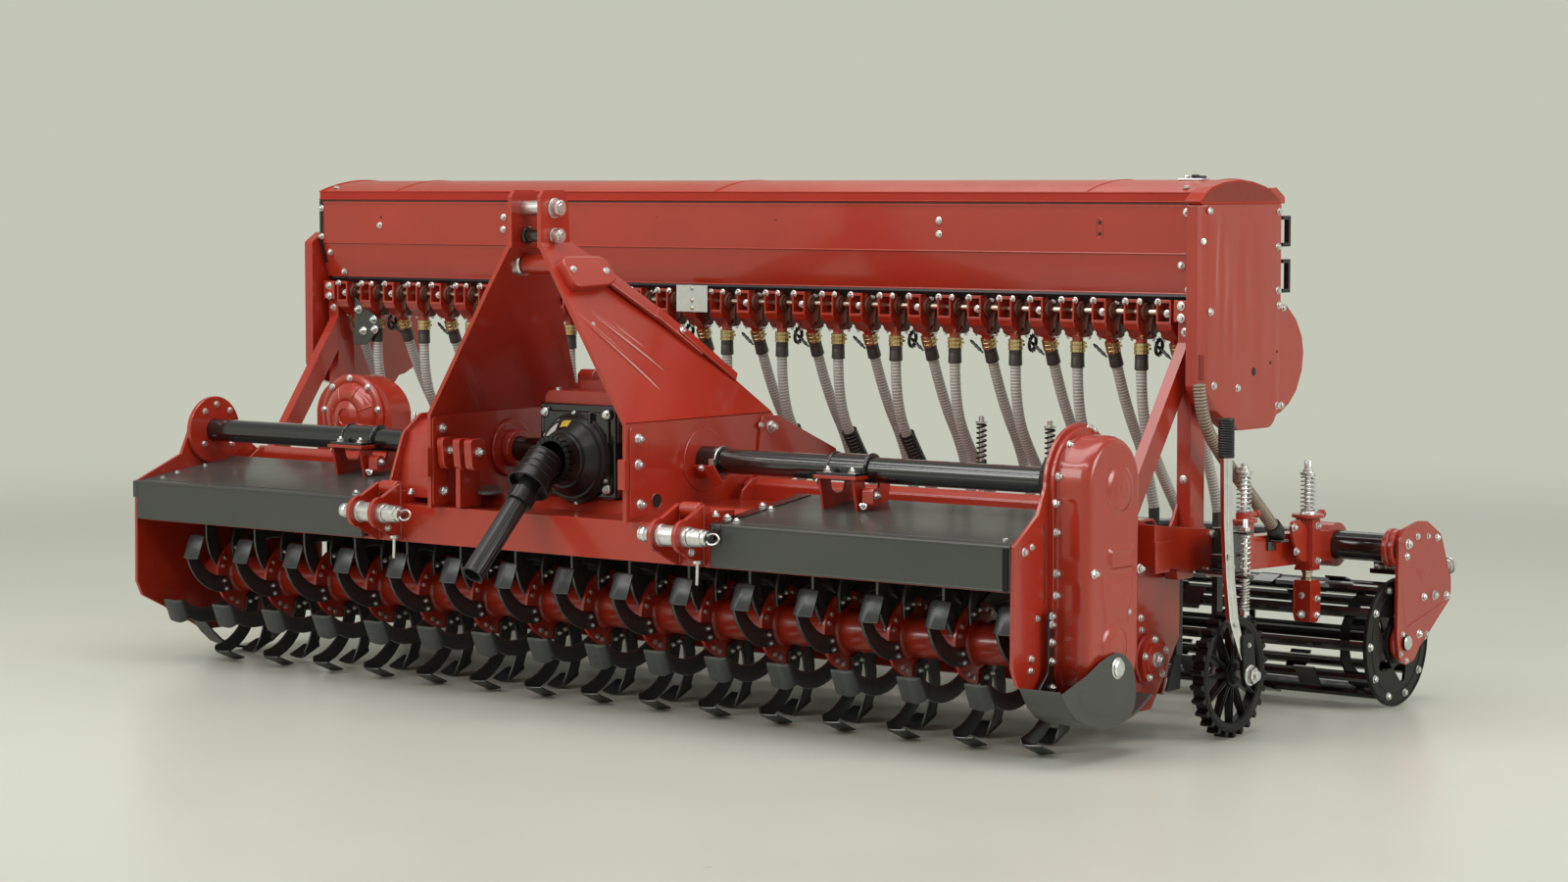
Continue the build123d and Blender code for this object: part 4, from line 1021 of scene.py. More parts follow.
def makeSkids():
    bm = bmesh.new()
    outer, thick = skid["outer"], skid["thick"]
    middle = (-0.085, 0.16)
    rings = [[bm.verts.new(at(outer - thick, y, z)) for y, z in shieldLine]]
    for shrink, depth in ((0.0, thick - 0.0015), (0.012, thick), (0.12, thick - 0.0004),
                          (0.3, thick - 0.0003), (0.36, thick + 0.0015), (0.42, thick + 0.003),
                          (0.72, thick + 0.0034)):
        rings.append([bm.verts.new(at(outer - thick + min(depth, thick) - 0.004
                                      + min(max(depth - thick, 0), 0.004), y + (middle[0] - y) * shrink,
                                      z + (middle[1] - z) * shrink)) for y, z in shieldLine])
    bridge(bm, rings)
    bm.faces.new(rings[0])
    bm.faces.new(rings[-1])
    sole = [(-0.262, 0.178), (-0.232, 0.136), (-0.196, 0.108), (-0.14, 0.088), (-0.064, 0.078),
            (0.0, 0.082), (0.05, 0.0925), (0.09, 0.108), (0.132, 0.131)]
    leftSole = [(-0.085, 0.098), (-0.053, 0.064), (-0.02, 0.036), (0.03, 0.014), (0.085, 0.006),
                (0.132, 0.006), (0.18, 0.018), (0.215, 0.04)]
    for x0, x1, line in ((halfWidth, outer - thick + 0.001, sole), (-1.489, -1.434, leftSole)):
        inner = [(y, z + 0.0075) for y, z in line]
        addPlate(bm, line + inner[::-1], x0, x1)
    piece = newPiece("skids", bm, grey, bevel=0.0014)
    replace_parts(piece, "skids")
    bm = bmesh.new()
    spot = at(outer - 0.004, -0.027, 0.216)
    addLathe(bm, [(0.0, 0.0), (0.026, 0.0), (0.026, 0.003), (0.0235, 0.0045), (0.0215, 0.0045),
                  (0.0215, 0.008), (0.017, 0.0105), (0.0, 0.0115)], placed(spot, (1, 0, 0)), 32)
    newPiece("skidBolt", bm, zinc, smooth=25)


makeSkids()
print("gear case and skids ready")

# end bearing, tube drum and the round flanges at the sides
def makeSideFittings():
    bm = bmesh.new()
    bearing = (0.285, 0.196)
    addCollar(bm, halfWidth + 0.026, halfWidth + 0.03, bearing, 0.04, 0.0, 0.002)
    addCollar(bm, halfWidth + 0.0005, halfWidth + 0.012, bearing, 0.064, 0.0, 0.003, 10)
    newPiece("bearingCover", bm, red, smooth=35)
    spots = [(at(halfWidth + 0.03, *bearing), (1, 0, 0), 0.017, 0.006)]
    for i in range(5):
        turn = 2 * math.pi * (i + 0.3) / 5
        spots.append((at(halfWidth + 0.026, *around(bearing, 0.049, turn)), (1, 0, 0), 0.009, 0.003))
    centre = (rotorSpot.y - zeroY, rotorSpot.z)
    for turn in fullTurn(6):
        spots.append((at(-halfWidth - 0.04, *around(centre, 0.05, turn)), (-1, 0, 0), 0.009, 0.004))
    for y, z in ((0.007, 0.718), (-0.038, 0.7), (0.058, 0.698), (-0.041, 0.607), (0.064, 0.602)):
        spots.append((at(-halfWidth + 0.022, y, z), (1, 0, 0), 0.0095, 0.0))
    boltGroup("sideBolts", spots)
    bm = bmesh.new()
    inner = halfWidth - 0.022
    profile = [(0.033, -0.062), (0.06, -0.062), (0.07, -0.058), (0.0745, -0.05), (0.088, -0.034),
               (0.094, -0.03), (0.1055, -0.024), (0.1075, -0.02), (0.1075, 0.0), (0.033, 0.0)]
    addLathe(bm, profile, placed(at(inner, 0, tubeZ), (1, 0, 0)), 48, closed=True)
    for turn in fullTurn(16):
        spin = Matrix.Translation(at(inner, 0, tubeZ)) @ Matrix.Rotation(turn, 4, "X")
        outline = [(-0.056, 0.04), (-0.056, 0.07), (-0.046, 0.08), (-0.03, 0.098), (-0.021, 0.1035),
                   (-0.021, 0.04)]
        rib = [spin @ Vector((x, y, z)) for y in (-0.0022, 0.0022) for x, z in outline]
        addFaces(bm, rib, prismFaces(6))
    newPiece("tubeDrum", bm, blackPlastic, smooth=30)
    bm = bmesh.new()
    addCollar(bm, -halfWidth + 0.01, -halfWidth + 0.0235, (0, tubeZ), 0.0965, 0.033, 0.002, 48)
    newPiece("leftTubeFlange", bm, red, smooth=35)


makeSideFittings()
print("side fittings ready")


def addBar(bm, start, end, out, width, thick):
    # a flat bar between two places; out is the way its broad face looks
    start, end, out = Vector(start), Vector(end), Vector(out)
    along = (end - start).normalized()
    out = (out - along * out.dot(along)).normalized() * thick / 2
    side = along.cross(out).normalized() * width / 2
    points = [p + side * s + out * o for p in (start, end) for s in (-1, 1) for o in (-1, 1)]
    addFaces(bm, points, boxFaces)


# headstock: link bracket, strut and pressed ribs on the leaning web, and its fittings
web = {"lowX": 0.33, "lowZ": 0.748, "topX": 0.044, "topZ": 1.198, "thick": 0.012}
webUp = Vector((web["topX"] - web["lowX"], 0, web["topZ"] - web["lowZ"])).normalized()
webOut = Vector((webUp.z, 0, -webUp.x))


def onWeb(y, z, lift=0.0):
    # a place on the right web's outer face
    share = (z - web["lowZ"]) / (web["topZ"] - web["lowZ"])
    x = web["lowX"] + (web["topX"] - web["lowX"]) * share
    return at(x, y, z) + webOut * (web["thick"] + lift) - Vector((0, 0, 0.006))


def addWebPlate(bm, corners, low, high):
    outline = roundedOutline(corners, 4)
    points = [onWeb(y, z, lift) for lift in (low, high) for y, z in outline]
    addFaces(bm, points, prismFaces(len(outline)))


def makeHeadstock():
    bm = bmesh.new()
    addWebPlate(bm, [(-0.288, 1.152, 0.02), (-0.118, 1.15, 0.026), (-0.108, 1.092, 0.02),
                     (-0.15, 1.078, 0.02), (-0.28, 1.074, 0.022)], -0.002, 0.03)
    addBar(bm, onWeb(-0.135, 1.108, 0.018), onWeb(0.01, 1.004, 0.012), webOut, 0.042, 0.012)
    addBar(bm, onWeb(-0.002, 1.013, 0.014), onWeb(0.118, 0.912, 0.008), webOut, 0.038, 0.014)
    addBar(bm, onWeb(0.06, 0.962, 0.02), onWeb(0.205, 0.842, 0.006), webOut, 0.03, 0.008)
    newPiece("linkBracket", bm, red, bevel=0.004, segments=3)
    bm = bmesh.new()
    for start, end, wide in (((-0.3, 1.033), (-0.098, 0.811), 0.011),
                             ((-0.252, 1.038), (-0.038, 0.853), 0.01),
                             ((-0.2, 1.02), (-0.06, 0.905), 0.006)):
        path, radii = [], []
        for i in range(15):
            share = i / 14
            path.append(onWeb(start[0] + (end[0] - start[0]) * share,
                              start[1] + (end[1] - start[1]) * share, -0.004))
            radii.append(0.003 + wide * math.sin(math.pi * share) ** 0.5)
        addTube(bm, path, radii, 14)
    newPiece("webRibs", bm, red, smooth=60)
    bm = bmesh.new()
    addPlate(bm, [(-0.296, 0.744, 0.012), (-0.232, 0.744, 0.016), (-0.232, 0.6, 0.012),
                  (-0.222, 0.52, 0.012), (-0.296, 0.512, 0.006)], 0.341, 0.3465)
    addBox(bm, 0.326, 0.35, -0.322, -0.304, 0.588, 0.664)
    addBox(bm, -0.35, -0.326, -0.322, -0.304, 0.588, 0.664)
    addPlate(bm, [(0.205, 0.56), (0.232, 0.747, 0.014), (0.302, 0.744, 0.014), (0.556, 0.642, 0.01),
                  (0.556, 0.612), (0.3, 0.56)], 0.341, 0.349)
    addPlate(bm, [(-0.302, 0.744, 0.012), (-0.236, 0.744, 0.016), (-0.236, 0.512, 0.012),
                  (-0.302, 0.512, 0.006)], -0.331, -0.3255)
    # the boxed gusset outside the left cheek, with its side plate
    addPlate(bm, [(0.06, 0.52), (0.06, 0.72, 0.02), (-0.125, 0.722, 0.03), (-0.178, 0.69, 0.03),
                  (-0.204, 0.615, 0.03), (-0.222, 0.52)], -0.532, -0.341)
    addPlate(bm, [(0.075, 0.512), (0.075, 0.735, 0.02), (-0.13, 0.738, 0.04), (-0.198, 0.69, 0.035),
                  (-0.232, 0.605, 0.06), (-0.268, 0.512)], -0.54, -0.531)
    for x0, x1 in ((-0.318, -0.296), (-0.262, -0.238), (-0.222, -0.196)):
        addPlate(bm, [(-0.298, 0.69, 0.012), (-0.238, 0.69, 0.02), (-0.236, 0.612, 0.02),
                      (-0.29, 0.602, 0.02)], x0, x1)
    addBox(bm, -0.262, -0.246, -0.285, -0.205, 0.508, 0.625)
    addCollar(bm, -0.33, -0.317, (0, tubeZ), 0.078, 0.0325, 0.003, 40)
    addCollar(bm, -0.317, -0.292, (0, tubeZ), 0.05, 0.0325, 0.003, 40)
    newPiece("headstockPlates", bm, red, bevel=0.0018)
    # the saddle, ring and clamp where the tube leaves the right cheek
    bm = bmesh.new()
    saddle = [around((0, tubeZ), 0.05, math.radians(t)) for t in evenSteps(195, 345, 12)]
    saddle += [around((0, tubeZ), 0.0335, math.radians(t)) for t in evenSteps(345, 195, 12)]
    addPlate(bm, saddle, 0.342, 0.402)
    addBar(bm, at(0.395, -0.046, 0.632), at(0.415, -0.03, 0.585), (0, -1, 0), 0.034, 0.006)
    addCollar(bm, 0.3415, 0.3445, (0, tubeZ), 0.082, 0.0325, 0.0015, 44)
    newPiece("tubeSaddle", bm, red, bevel=0.0012)
    bm = bmesh.new()
    addCollar(bm, 0.3415, 0.396, (0, tubeZ), 0.0365, 0.032, 0.001)
    for x in (0.398, 0.409):
        addCollar(bm, x, x + 0.004, (0, tubeZ), 0.0375, 0.032, 0.001)
    newPiece("tubeSleeve", bm, black, smooth=35)
    bm = bmesh.new()
    addCollar(bm, 0.4035, 0.4085, (0, tubeZ), 0.0385, 0.032, 0.001)
    addBox(bm, 0.395, 0.409, -0.047, -0.034, 0.632, 0.652)
    newPiece("tubeBand", bm, zinc, bevel=0.0008)
    # a black disc in the cheek's hole: painted shade inside it
    bm = bmesh.new()
    cheekFace, hole = 0.3425, (-0.189, 0.552)
    for i in range(28):
        a, b = math.radians(360 * i / 28), math.radians(360 * (i + 1) / 28)
        corners = [hole, around(hole, 0.019, a, 0.0185), around(hole, 0.019, b, 0.0185)]
        addFaces(bm, [at(cheekFace, y, z) for y, z in corners], [(0, 1, 2)])
    bmesh.ops.remove_doubles(bm, verts=bm.verts, dist=0.00001)
    newPiece("cheekHoleShade", bm, blackPlastic, smooth=0)
    bm = bmesh.new()
    rim = [at(cheekFace, *around(hole, 0.02, math.radians(15 * i), 0.0195)) for i in range(24)]
    addTube(bm, rim, 0.0018, 8, closed=True)
    newPiece("cheekHoleRim", bm, red, smooth=60)
    right, left, front = (1, 0, 0), (-1, 0, 0), (0, -1, 0)
    spots = boltsOn(0.3465, ((-0.264, 0.713), (-0.265, 0.648), (-0.257, 0.547)), 0.0125, 0.007)
    spots += boltsOn(-0.3255, ((-0.267, 0.712), (-0.267, 0.64), (-0.262, 0.547), (-0.139, 0.637)), 0.012,
                     0.006)
    spots += [(at(0.349, 0.268, 0.716), right, 0.015, 0.01), (at(0.349, 0.225, 0.722), right, 0.008)]
    spots += [(onWeb(-0.262, 1.118, 0.03), webOut, 0.0085), (onWeb(-0.14, 1.112, 0.03), webOut, 0.0085),
              (onWeb(0.06, 0.96, 0.021), webOut, 0.0095), (onWeb(-0.25, 0.995, 0.0), webOut, 0.0065)]
    spots += [(at(-0.196, -0.268, 0.655), right, 0.012, 0.01), (at(-0.296, -0.268, 0.655), right, 0.011),
              (at(-0.53, -0.02, 0.7), left, 0.011, 0.006), (at(0.372, -0.047, 0.628), front, 0.0085, 0.004)]
    spots += boltsOn(-0.35, ((-0.264, 0.713), (-0.265, 0.648), (-0.257, 0.547)), 0.012, 0.006,
                     direction=left)
    boltGroup("headstockBolts", spots)
    bm = bmesh.new()
    addRod(bm, at(-0.33, -0.268, 0.655), at(-0.205, -0.268, 0.655), 0.0075, 16)
    addCollar(bm, -0.095, -0.066, (-0.225, 1.145), 0.031, 0.0, 0.004, 32)
    addCollar(bm, -0.044, 0.044, (-0.25, 1.289), 0.0195, 0.0, 0.001, 32)
    for side in (-1, 1):
        for z, size in ((1.289, 0.026), (1.219, 0.02)):
            # a washer, a head and a hexagon, one outside the other
            for near, far, share, chamfer, sides in ((0.0, 0.004, 1, 0.001, 32),
                                                     (0.004, 0.024, 0.8, 0.003, 32),
                                                     (0.024, 0.026, 0.5, 0.001, 6)):
                x0, x1 = sorted((side * 0.056 + side * near, side * 0.056 + side * far))
                addCollar(bm, x0, x1, (-0.25, z), size * share, 0.0, chamfer, sides)
    newPiece("mastPins", bm, zinc, smooth=30)
    bm = bmesh.new()
    addCollar(bm, -0.044, 0.044, (-0.25, 1.219), 0.0165, 0.0, 0.001, 32)
    addCollar(bm, -0.038, -0.03, (-0.25, 1.219), 0.023, 0.0, 0.002, 32)
    newPiece("mastLowerSleeve", bm, black, smooth=30)


makeHeadstock()
print("headstock ready")

# lower hitch: sleeves between the ears, pin heads, ring clips and hanging lynch pins
lowerHitch = {"spots": (-0.519, 0.519), "y": -0.344, "z": 0.486, "sleeve": 0.0262}


def makeLowerHitch():
    bm = bmesh.new()
    y, z = lowerHitch["y"], lowerHitch["z"]
    for x in lowerHitch["spots"]:
        addCollar(bm, x - 0.033, x + 0.033, (y, z), lowerHitch["sleeve"], 0.0182, 0.002, 32)
        addCollar(bm, x - 0.033, x - 0.025, (y, z), 0.029, 0.0182, 0.001, 32)
        head = [(0.0, -0.004), (0.011, -0.003), (0.017, 0.001), (0.0195, 0.006), (0.0195, 0.014),
                (0.0184, 0.016), (0.0184, 0.018), (0.0195, 0.02), (0.0195, 0.03), (0.018, 0.031)]
        addLathe(bm, head, placed(at(x - 0.095, y, z), (1, 0, 0)), 28)
        for low, high, radius in ((0.0555, 0.062, 0.0245), (0.064, 0.104, 0.0222), (0.074, 0.078, 0.0232)):
            addCollar(bm, x + low, x + high, (y, z), radius, 0.018, 0.0015, 32)
        tip = x + 0.118
        addCollar(bm, tip - 0.01, tip, (y, z), 0.0195, 0.0, 0.003, 28)
        ring = [at(tip - 0.004, y - 0.004, z)
                + Vector((0.02 + 0.02 * math.cos(t), 0.004 * math.sin(t), 0.013 * math.sin(t)))
                for t in fullTurn(24)]
        addTube(bm, ring, 0.0024, 8, closed=True)
        spot = at(x + 0.045, -0.296, 0.424)
        addLathe(bm, [(0, 0), (0.012, 0), (0.013, 0.002), (0.013, 0.008), (0.009, 0.01), (0, 0.01)],
                 placed(spot, (0, 0, -1)), 20)
        addRod(bm, spot - Vector((0, 0, 0.008)), spot - Vector((0.002, 0, 0.062)), 0.0048, 14, 0.002)
    newPiece("hitchPinFittings", bm, zinc, smooth=32)
    spots = []
    for x in lowerHitch["spots"]:
        spots.append((at(x + 0.045, -0.322, 0.446), (1, 0, 0), 0.01, 0.004))
        spots.append((at(x - 0.045, -0.318, 0.45), (-1, 0, 0), 0.01, 0.004))
        spots.append((at(x + 0.075, -0.262, 0.533), (0, 0, 1), 0.01, 0.006))
    boltGroup("hitchBolts", spots)
    bm = bmesh.new()
    for x in lowerHitch["spots"]:
        for side in (-1, 1):
            ear = x + side * 0.039
            for edge in (-0.006, 0.006):
                addTube(bm, [at(ear + edge, -0.2715, 0.408 + 0.148 * i / 6) for i in range(7)], 0.003, 8)
            addBox(bm, ear - 0.006, ear + 0.006, -0.272, -0.15, 0.504, 0.54)
        addCollar(bm, x - 0.03, x + 0.03, (-0.262, 0.545), 0.02, 0.0, 0.003, 24)
    newPiece("hitchWelds", bm, red, bevel=0.0012)


makeLowerHitch()

# gearbox front, its cone and the drive shaft's guard
drive = {"y": -0.232, "z": 0.64, "coneY": (-0.118, -0.165), "coneRadius": (0.111, 0.066)}
shaftAlong = Vector((0, -math.cos(math.radians(45)), -math.sin(math.radians(45))))


def addConePatch(bm, startDeg, endDeg, share0, share1, lift):
    # a blank label laid on the cone
    rows = []
    for j in range(4):
        share = share0 + (share1 - share0) * j / 3
        y = drive["coneY"][0] + (drive["coneY"][1] - drive["coneY"][0]) * share
        radius = drive["coneRadius"][0] + (drive["coneRadius"][1] - drive["coneRadius"][0]) * share + lift
        spots = [around((0, drive["z"]), radius, math.radians(t)) for t in evenSteps(startDeg, endDeg, 8)]
        rows.append([bm.verts.new(at(x, y - lift, z)) for x, z in spots])
    addSheet(bm, rows)


def makeDrive():
    bm = bmesh.new()
    front = (0, -1, 0)
    addLathe(bm, [(0.098, 0.0), (0.116, 0.0), (0.118, 0.004), (0.118, 0.012), (0.113, 0.018),
                  (0.098, 0.016)], placed(at(0, -0.099, drive["z"]), front), 56, closed=True)
    for turn in range(0, 360, 15):
        spin = Matrix.Translation(at(0, 0, drive["z"])) @ Matrix.Rotation(math.radians(turn), 4, "Y")
        addBlock(bm, (-0.006, -0.206, 0.05), (0.006, -0.184, 0.0635), spin)
    for y, radius in ((-0.184, 0.0625), (-0.198, 0.06), (-0.128, 0.1045), (-0.158, 0.075)):
        addLathe(bm, [(radius - 0.006, 0), (radius, 0), (radius + 0.0012, 0.002), (radius, 0.004),
                      (radius - 0.006, 0.004)], placed(at(0, y, drive["z"]), front), 56, closed=True)
    newPiece("coneRings", bm, blackPlastic, smooth=35)
    bm = bmesh.new()
    x0, x1, z0, z1 = -0.118, 0.118, 0.548, 0.768
    addBox(bm, x0 - 0.012, x1 + 0.012, -0.101, -0.086, z0 - 0.01, z1 + 0.012)
    addBox(bm, x0 + 0.006, x1 - 0.006, -0.108, -0.098, z0 + 0.008, z1 - 0.006)
    for x in (x0 + 0.012, x1 - 0.012):
        for z in (z0 + 0.014, z1 - 0.012):
            addLathe(bm, [(0, 0), (0.017, 0), (0.016, 0.01), (0, 0.01)], placed(at(x, -0.1, z), front), 20)
    addBox(bm, 0.05, 0.062, -0.122, -0.1, 0.708, 0.762)
    addBox(bm, 0.098, 0.128, -0.1, -0.03, 0.56, 0.74)
    newPiece("gearboxFace", bm, black, bevel=0.005, segments=3)
    spots = [(at(x, -0.11, z), front, 0.0105, 0.0) for x in (x0 + 0.012, x1 - 0.012)
             for z in (z0 + 0.014, z1 - 0.012)]
    ring = [around((0, drive["z"]), 0.116, math.radians(t)) for t in (92, 152, 212, 272, 332)]
    spots += [(at(x, -0.11, z), front, 0.006) for x, z in ring]
    spots += [(at(0.02, -0.101, 0.553), front, 0.0095), (at(0.125, -0.06, 0.7), (1, 0, 0), 0.0095),
              (at(0.125, -0.06, 0.59), (1, 0, 0), 0.0095)]
    spots += [(at(x, y, 0.812), (0, 0, 1), 0.009) for x in (-0.1, 0.1) for y in (-0.06, 0.15)]
    boltGroup("gearboxBolts", spots)
    bm = bmesh.new()
    addConePatch(bm, 86, 104, 0.22, 0.62, 0.0008)
    newPiece("coneLabelYellow", bm, yellowLabel, smooth=60)
    bm = bmesh.new()
    addConePatch(bm, 113, 150, 0.06, 0.74, 0.0008)
    newPiece("coneLabelWhite", bm, whiteLabel, smooth=60)
    # breather block on the gearbox and the cast ribs on its back
    bm = bmesh.new()
    addBox(bm, -0.122, -0.048, 0.02, 0.08, 0.81, 0.826)
    addPlate(bm, [(0.026, 0.824), (0.026, 0.85, 0.006), (0.04, 0.862, 0.006), (0.066, 0.862, 0.006),
                  (0.076, 0.846, 0.006), (0.076, 0.824)], -0.112, -0.058)
    for x in (-0.09, -0.045, 0.0, 0.045, 0.09):
        addBox(bm, x - 0.004, x + 0.004, 0.172, 0.184, 0.56, 0.79)
    addBox(bm, -0.1, 0.1, 0.172, 0.19, 0.64, 0.652)
    newPiece("gearboxTrim", bm, red, bevel=0.003)
    # the guard: ridged bell, ribbed collar and flutes along the tube
    bm = bmesh.new()
    joint = at(0, drive["y"], drive["z"])
    turn = placed(joint, shaftAlong)
    for step, radius in ((-0.01, 0.0485), (0.006, 0.0495), (0.03, 0.0505), (0.052, 0.053), (0.084, 0.057)):
        addLathe(bm, [(radius - 0.004, 0), (radius, 0), (radius + 0.001, 0.0018), (radius, 0.0036),
                      (radius - 0.004, 0.0036)], turn @ Matrix.Translation((0, 0, step)), 44, closed=True)
    for angle in fullTurn(14):
        spin = turn @ Matrix.Rotation(angle, 4, "Z")
        addBlock(bm, (0.033, -0.003, 0.112), (0.037, 0.003, 0.143), spin)
    for angle in fullTurn(12):
        spin = turn @ Matrix.Rotation(angle, 4, "Z")
        addTube(bm, [spin @ Vector((0.0262, 0, z)) for z in (0.15, 0.23, 0.31, 0.38)], 0.0022, 8)
    addLathe(bm, [(0.022, 0.379), (0.0285, 0.379), (0.029, 0.382), (0.0285, 0.385), (0.022, 0.385)], turn,
             40, closed=True)
    newPiece("guardRidges", bm, blackPlastic, "drive_shaft", smooth=35)
    bm = bmesh.new()
    addBar(bm, at(-0.362, -0.06, 0.545), at(-0.205, -0.215, 0.545), (0, 0, 1), 0.062, 0.01)
    addDisc(bm, 0.03, 0.008, placed(at(-0.205, -0.215, 0.541)), 24)
    newPiece("restingBar", bm, grey, bevel=0.0025)


makeDrive()
print("hitch and drive shaft ready")

# grey front covers: rolled edges, end straps and bolts; clamps over the cross tube
cover = {"frontY": -0.29, "frontZ": 0.515, "rearY": 0.08, "rearZ": 0.565, "inner": 0.6,
         "outer": halfWidth - 0.01}


def coverTop(y):
    share = (y - cover["frontY"]) / (cover["rearY"] - cover["frontY"])
    return cover["frontZ"] + (cover["rearZ"] - cover["frontZ"]) * share


def makeCovers():
    bm, strap = bmesh.new(), bmesh.new()
    spots = []
    rise, strapEnd = 0.0035, cover["inner"] + 0.034
    for side in (-1, 1):
        ends = sorted((side * cover["inner"], side * cover["outer"]))
        steps = evenSteps(*ends, 12)
        addTube(bm, [at(x, cover["frontY"] + 0.003, cover["frontZ"] - 0.002) for x in steps], 0.0048, 12)
        addTube(bm, [at(x, cover["frontY"] + 0.0025, 0.412) for x in steps], 0.0032, 10)
        addTube(bm, [at(x, cover["frontY"] + 0.032, coverTop(cover["frontY"] + 0.032) + 0.0002)
                     for x in steps], 0.0016, 8)
        x0, x1 = sorted((side * (cover["inner"] - 0.003), side * strapEnd))
        line = [(cover["frontY"] - 0.003, 0.47), (cover["frontY"] - 0.003, cover["frontZ"] + 0.001),
                (cover["frontY"] + 0.006, coverTop(cover["frontY"] + 0.006) + rise),
                (0.07, coverTop(0.07) + rise), (0.07, coverTop(0.07)),
                (cover["frontY"] + 0.004, coverTop(cover["frontY"]) - 0.001),
                (cover["frontY"] + 0.001, 0.47)]
        addPlate(strap, line, x0, x1)
        ends = sorted((side * (cover["inner"] - 0.004), side * (cover["inner"] - 0.0005)))
        addPlate(strap, [(-0.287, 0.412), (-0.287, 0.513), (0.076, 0.562), (0.076, 0.538), (-0.1, 0.512),
                         (-0.232, 0.492), (-0.258, 0.412)], ends[0], ends[1])
        for x, y in ((0.612, -0.238), (0.655, -0.255), (0.612, -0.098), (0.65, -0.112), (1.455, -0.06),
                     (1.44, -0.235), (1.462, -0.16)):
            spots.append((at(side * x, y, coverTop(y) + (rise if x < strapEnd else 0.0)), (0, -0.13, 1),
                          *((0.0105, 0.004) if x < 0.7 else (0.0075,))))
    newPiece("coverEdges", bm, grey, smooth=60)
    bm = bmesh.new()
    line = [(cover["frontY"] - 0.001, 0.47), (cover["frontY"] - 0.001, cover["frontZ"] + 0.0005),
            (-0.13, coverTop(-0.13) + 0.0012), (-0.13, coverTop(-0.13) - 0.003),
            (cover["frontY"] + 0.004, cover["frontZ"] - 0.003), (cover["frontY"] + 0.003, 0.47)]
    addPlate(bm, line, -1.5035, -1.486)
    newPiece("coverEnd", bm, grey, bevel=0.0012)
    newPiece("coverStraps", strap, black, bevel=0.001)
    boltGroup("coverBolts", spots)


def makeTubeClamp(name, x0, x1):
    # a black strap over the tube, bolted to a two-legged red bracket under it
    z = tubeZ
    strap, bracket = bmesh.new(), bmesh.new()
    arc = [around((0, z), 0.0385, math.radians(t)) for t in range(-15, 196, 15)]
    arc += [around((0, z), 0.0318, math.radians(t)) for t in range(195, -16, -15)]
    addPlate(strap, arc, x0, x1)
    for y0, y1 in ((-0.078, -0.034), (0.034, 0.078)):
        addBox(strap, x0, x1, y0, y1, z - 0.012, z - 0.005)
    for x in (x0 + 0.004, x1 - 0.004):
        addTube(strap, [at(x, *around((0, z), 0.0392, math.radians(t))) for t in range(-10, 191, 10)],
                0.0032, 8)
    addBox(bracket, x0 - 0.006, x1 + 0.006, -0.084, -0.03, z - 0.021, z - 0.012)
    addBox(bracket, x0 - 0.006, x1 + 0.006, 0.03, 0.084, z - 0.021, z - 0.012)
    for x in (x0 + 0.004, x1 - 0.012):
        addPlate(bracket, [(-0.08, z - 0.016), (-0.034, z - 0.016), (-0.026, z - 0.06, 0.02),
                           (0.026, z - 0.06, 0.02), (0.034, z - 0.016), (0.08, z - 0.016), (0.06, 0.54),
                           (-0.06, 0.54)], x, x + 0.008)
    addBox(bracket, x0, x1 + 0.03, -0.066, 0.066, 0.536, 0.544)
    addPlate(bracket, [(-0.058, z - 0.04, 0.01), (-0.03, z - 0.04, 0.01), (-0.02, 0.56, 0.012),
                       (-0.058, 0.56, 0.01)], x1 + 0.006, x1 + 0.04)
    newPiece(name + "Strap", strap, black, bevel=0.001)
    newPiece(name + "Bracket", bracket, red, bevel=0.0014)
    spots = [(at(x, y, z - 0.005), (0, 0, 1), 0.0105, 0.006) for x in (x0 + 0.022, x1 - 0.022)
             for y in (-0.06, 0.06)]
    spots += [(at(x0 - 0.004, -0.062, z - 0.03), (-1, 0, 0), 0.008, 0.003),
              (at(x1 + 0.04, -0.044, z - 0.058), (1, 0, 0), 0.0095, 0.005),
              (at(x1 + 0.012, -0.058, 0.56), (0, -1, 0.4), 0.0085, 0.008)]
    boltGroup(name + "Bolts", spots)


makeCovers()
makeTubeClamp("rightClamp", 0.765, 0.885)
makeTubeClamp("leftClamp", -0.93, -0.81)
print("covers and clamps ready")

# hopper front, lid hems and the fittings on them
hopperLook = {"front": 0.463, "rear": 0.845, "rim": 1.3025, "bend": 1.178, "chinFoot": (0.495, 1.078),
              "half": 1.4965, "lidEdge": 1.329, "lidRise": 0.032}


def chinAt(z):
    foot, rise = hopperLook["chinFoot"], hopperLook["bend"] - hopperLook["chinFoot"][1]
    return hopperLook["front"] + (foot[0] - hopperLook["front"]) * (hopperLook["bend"] - z) / rise


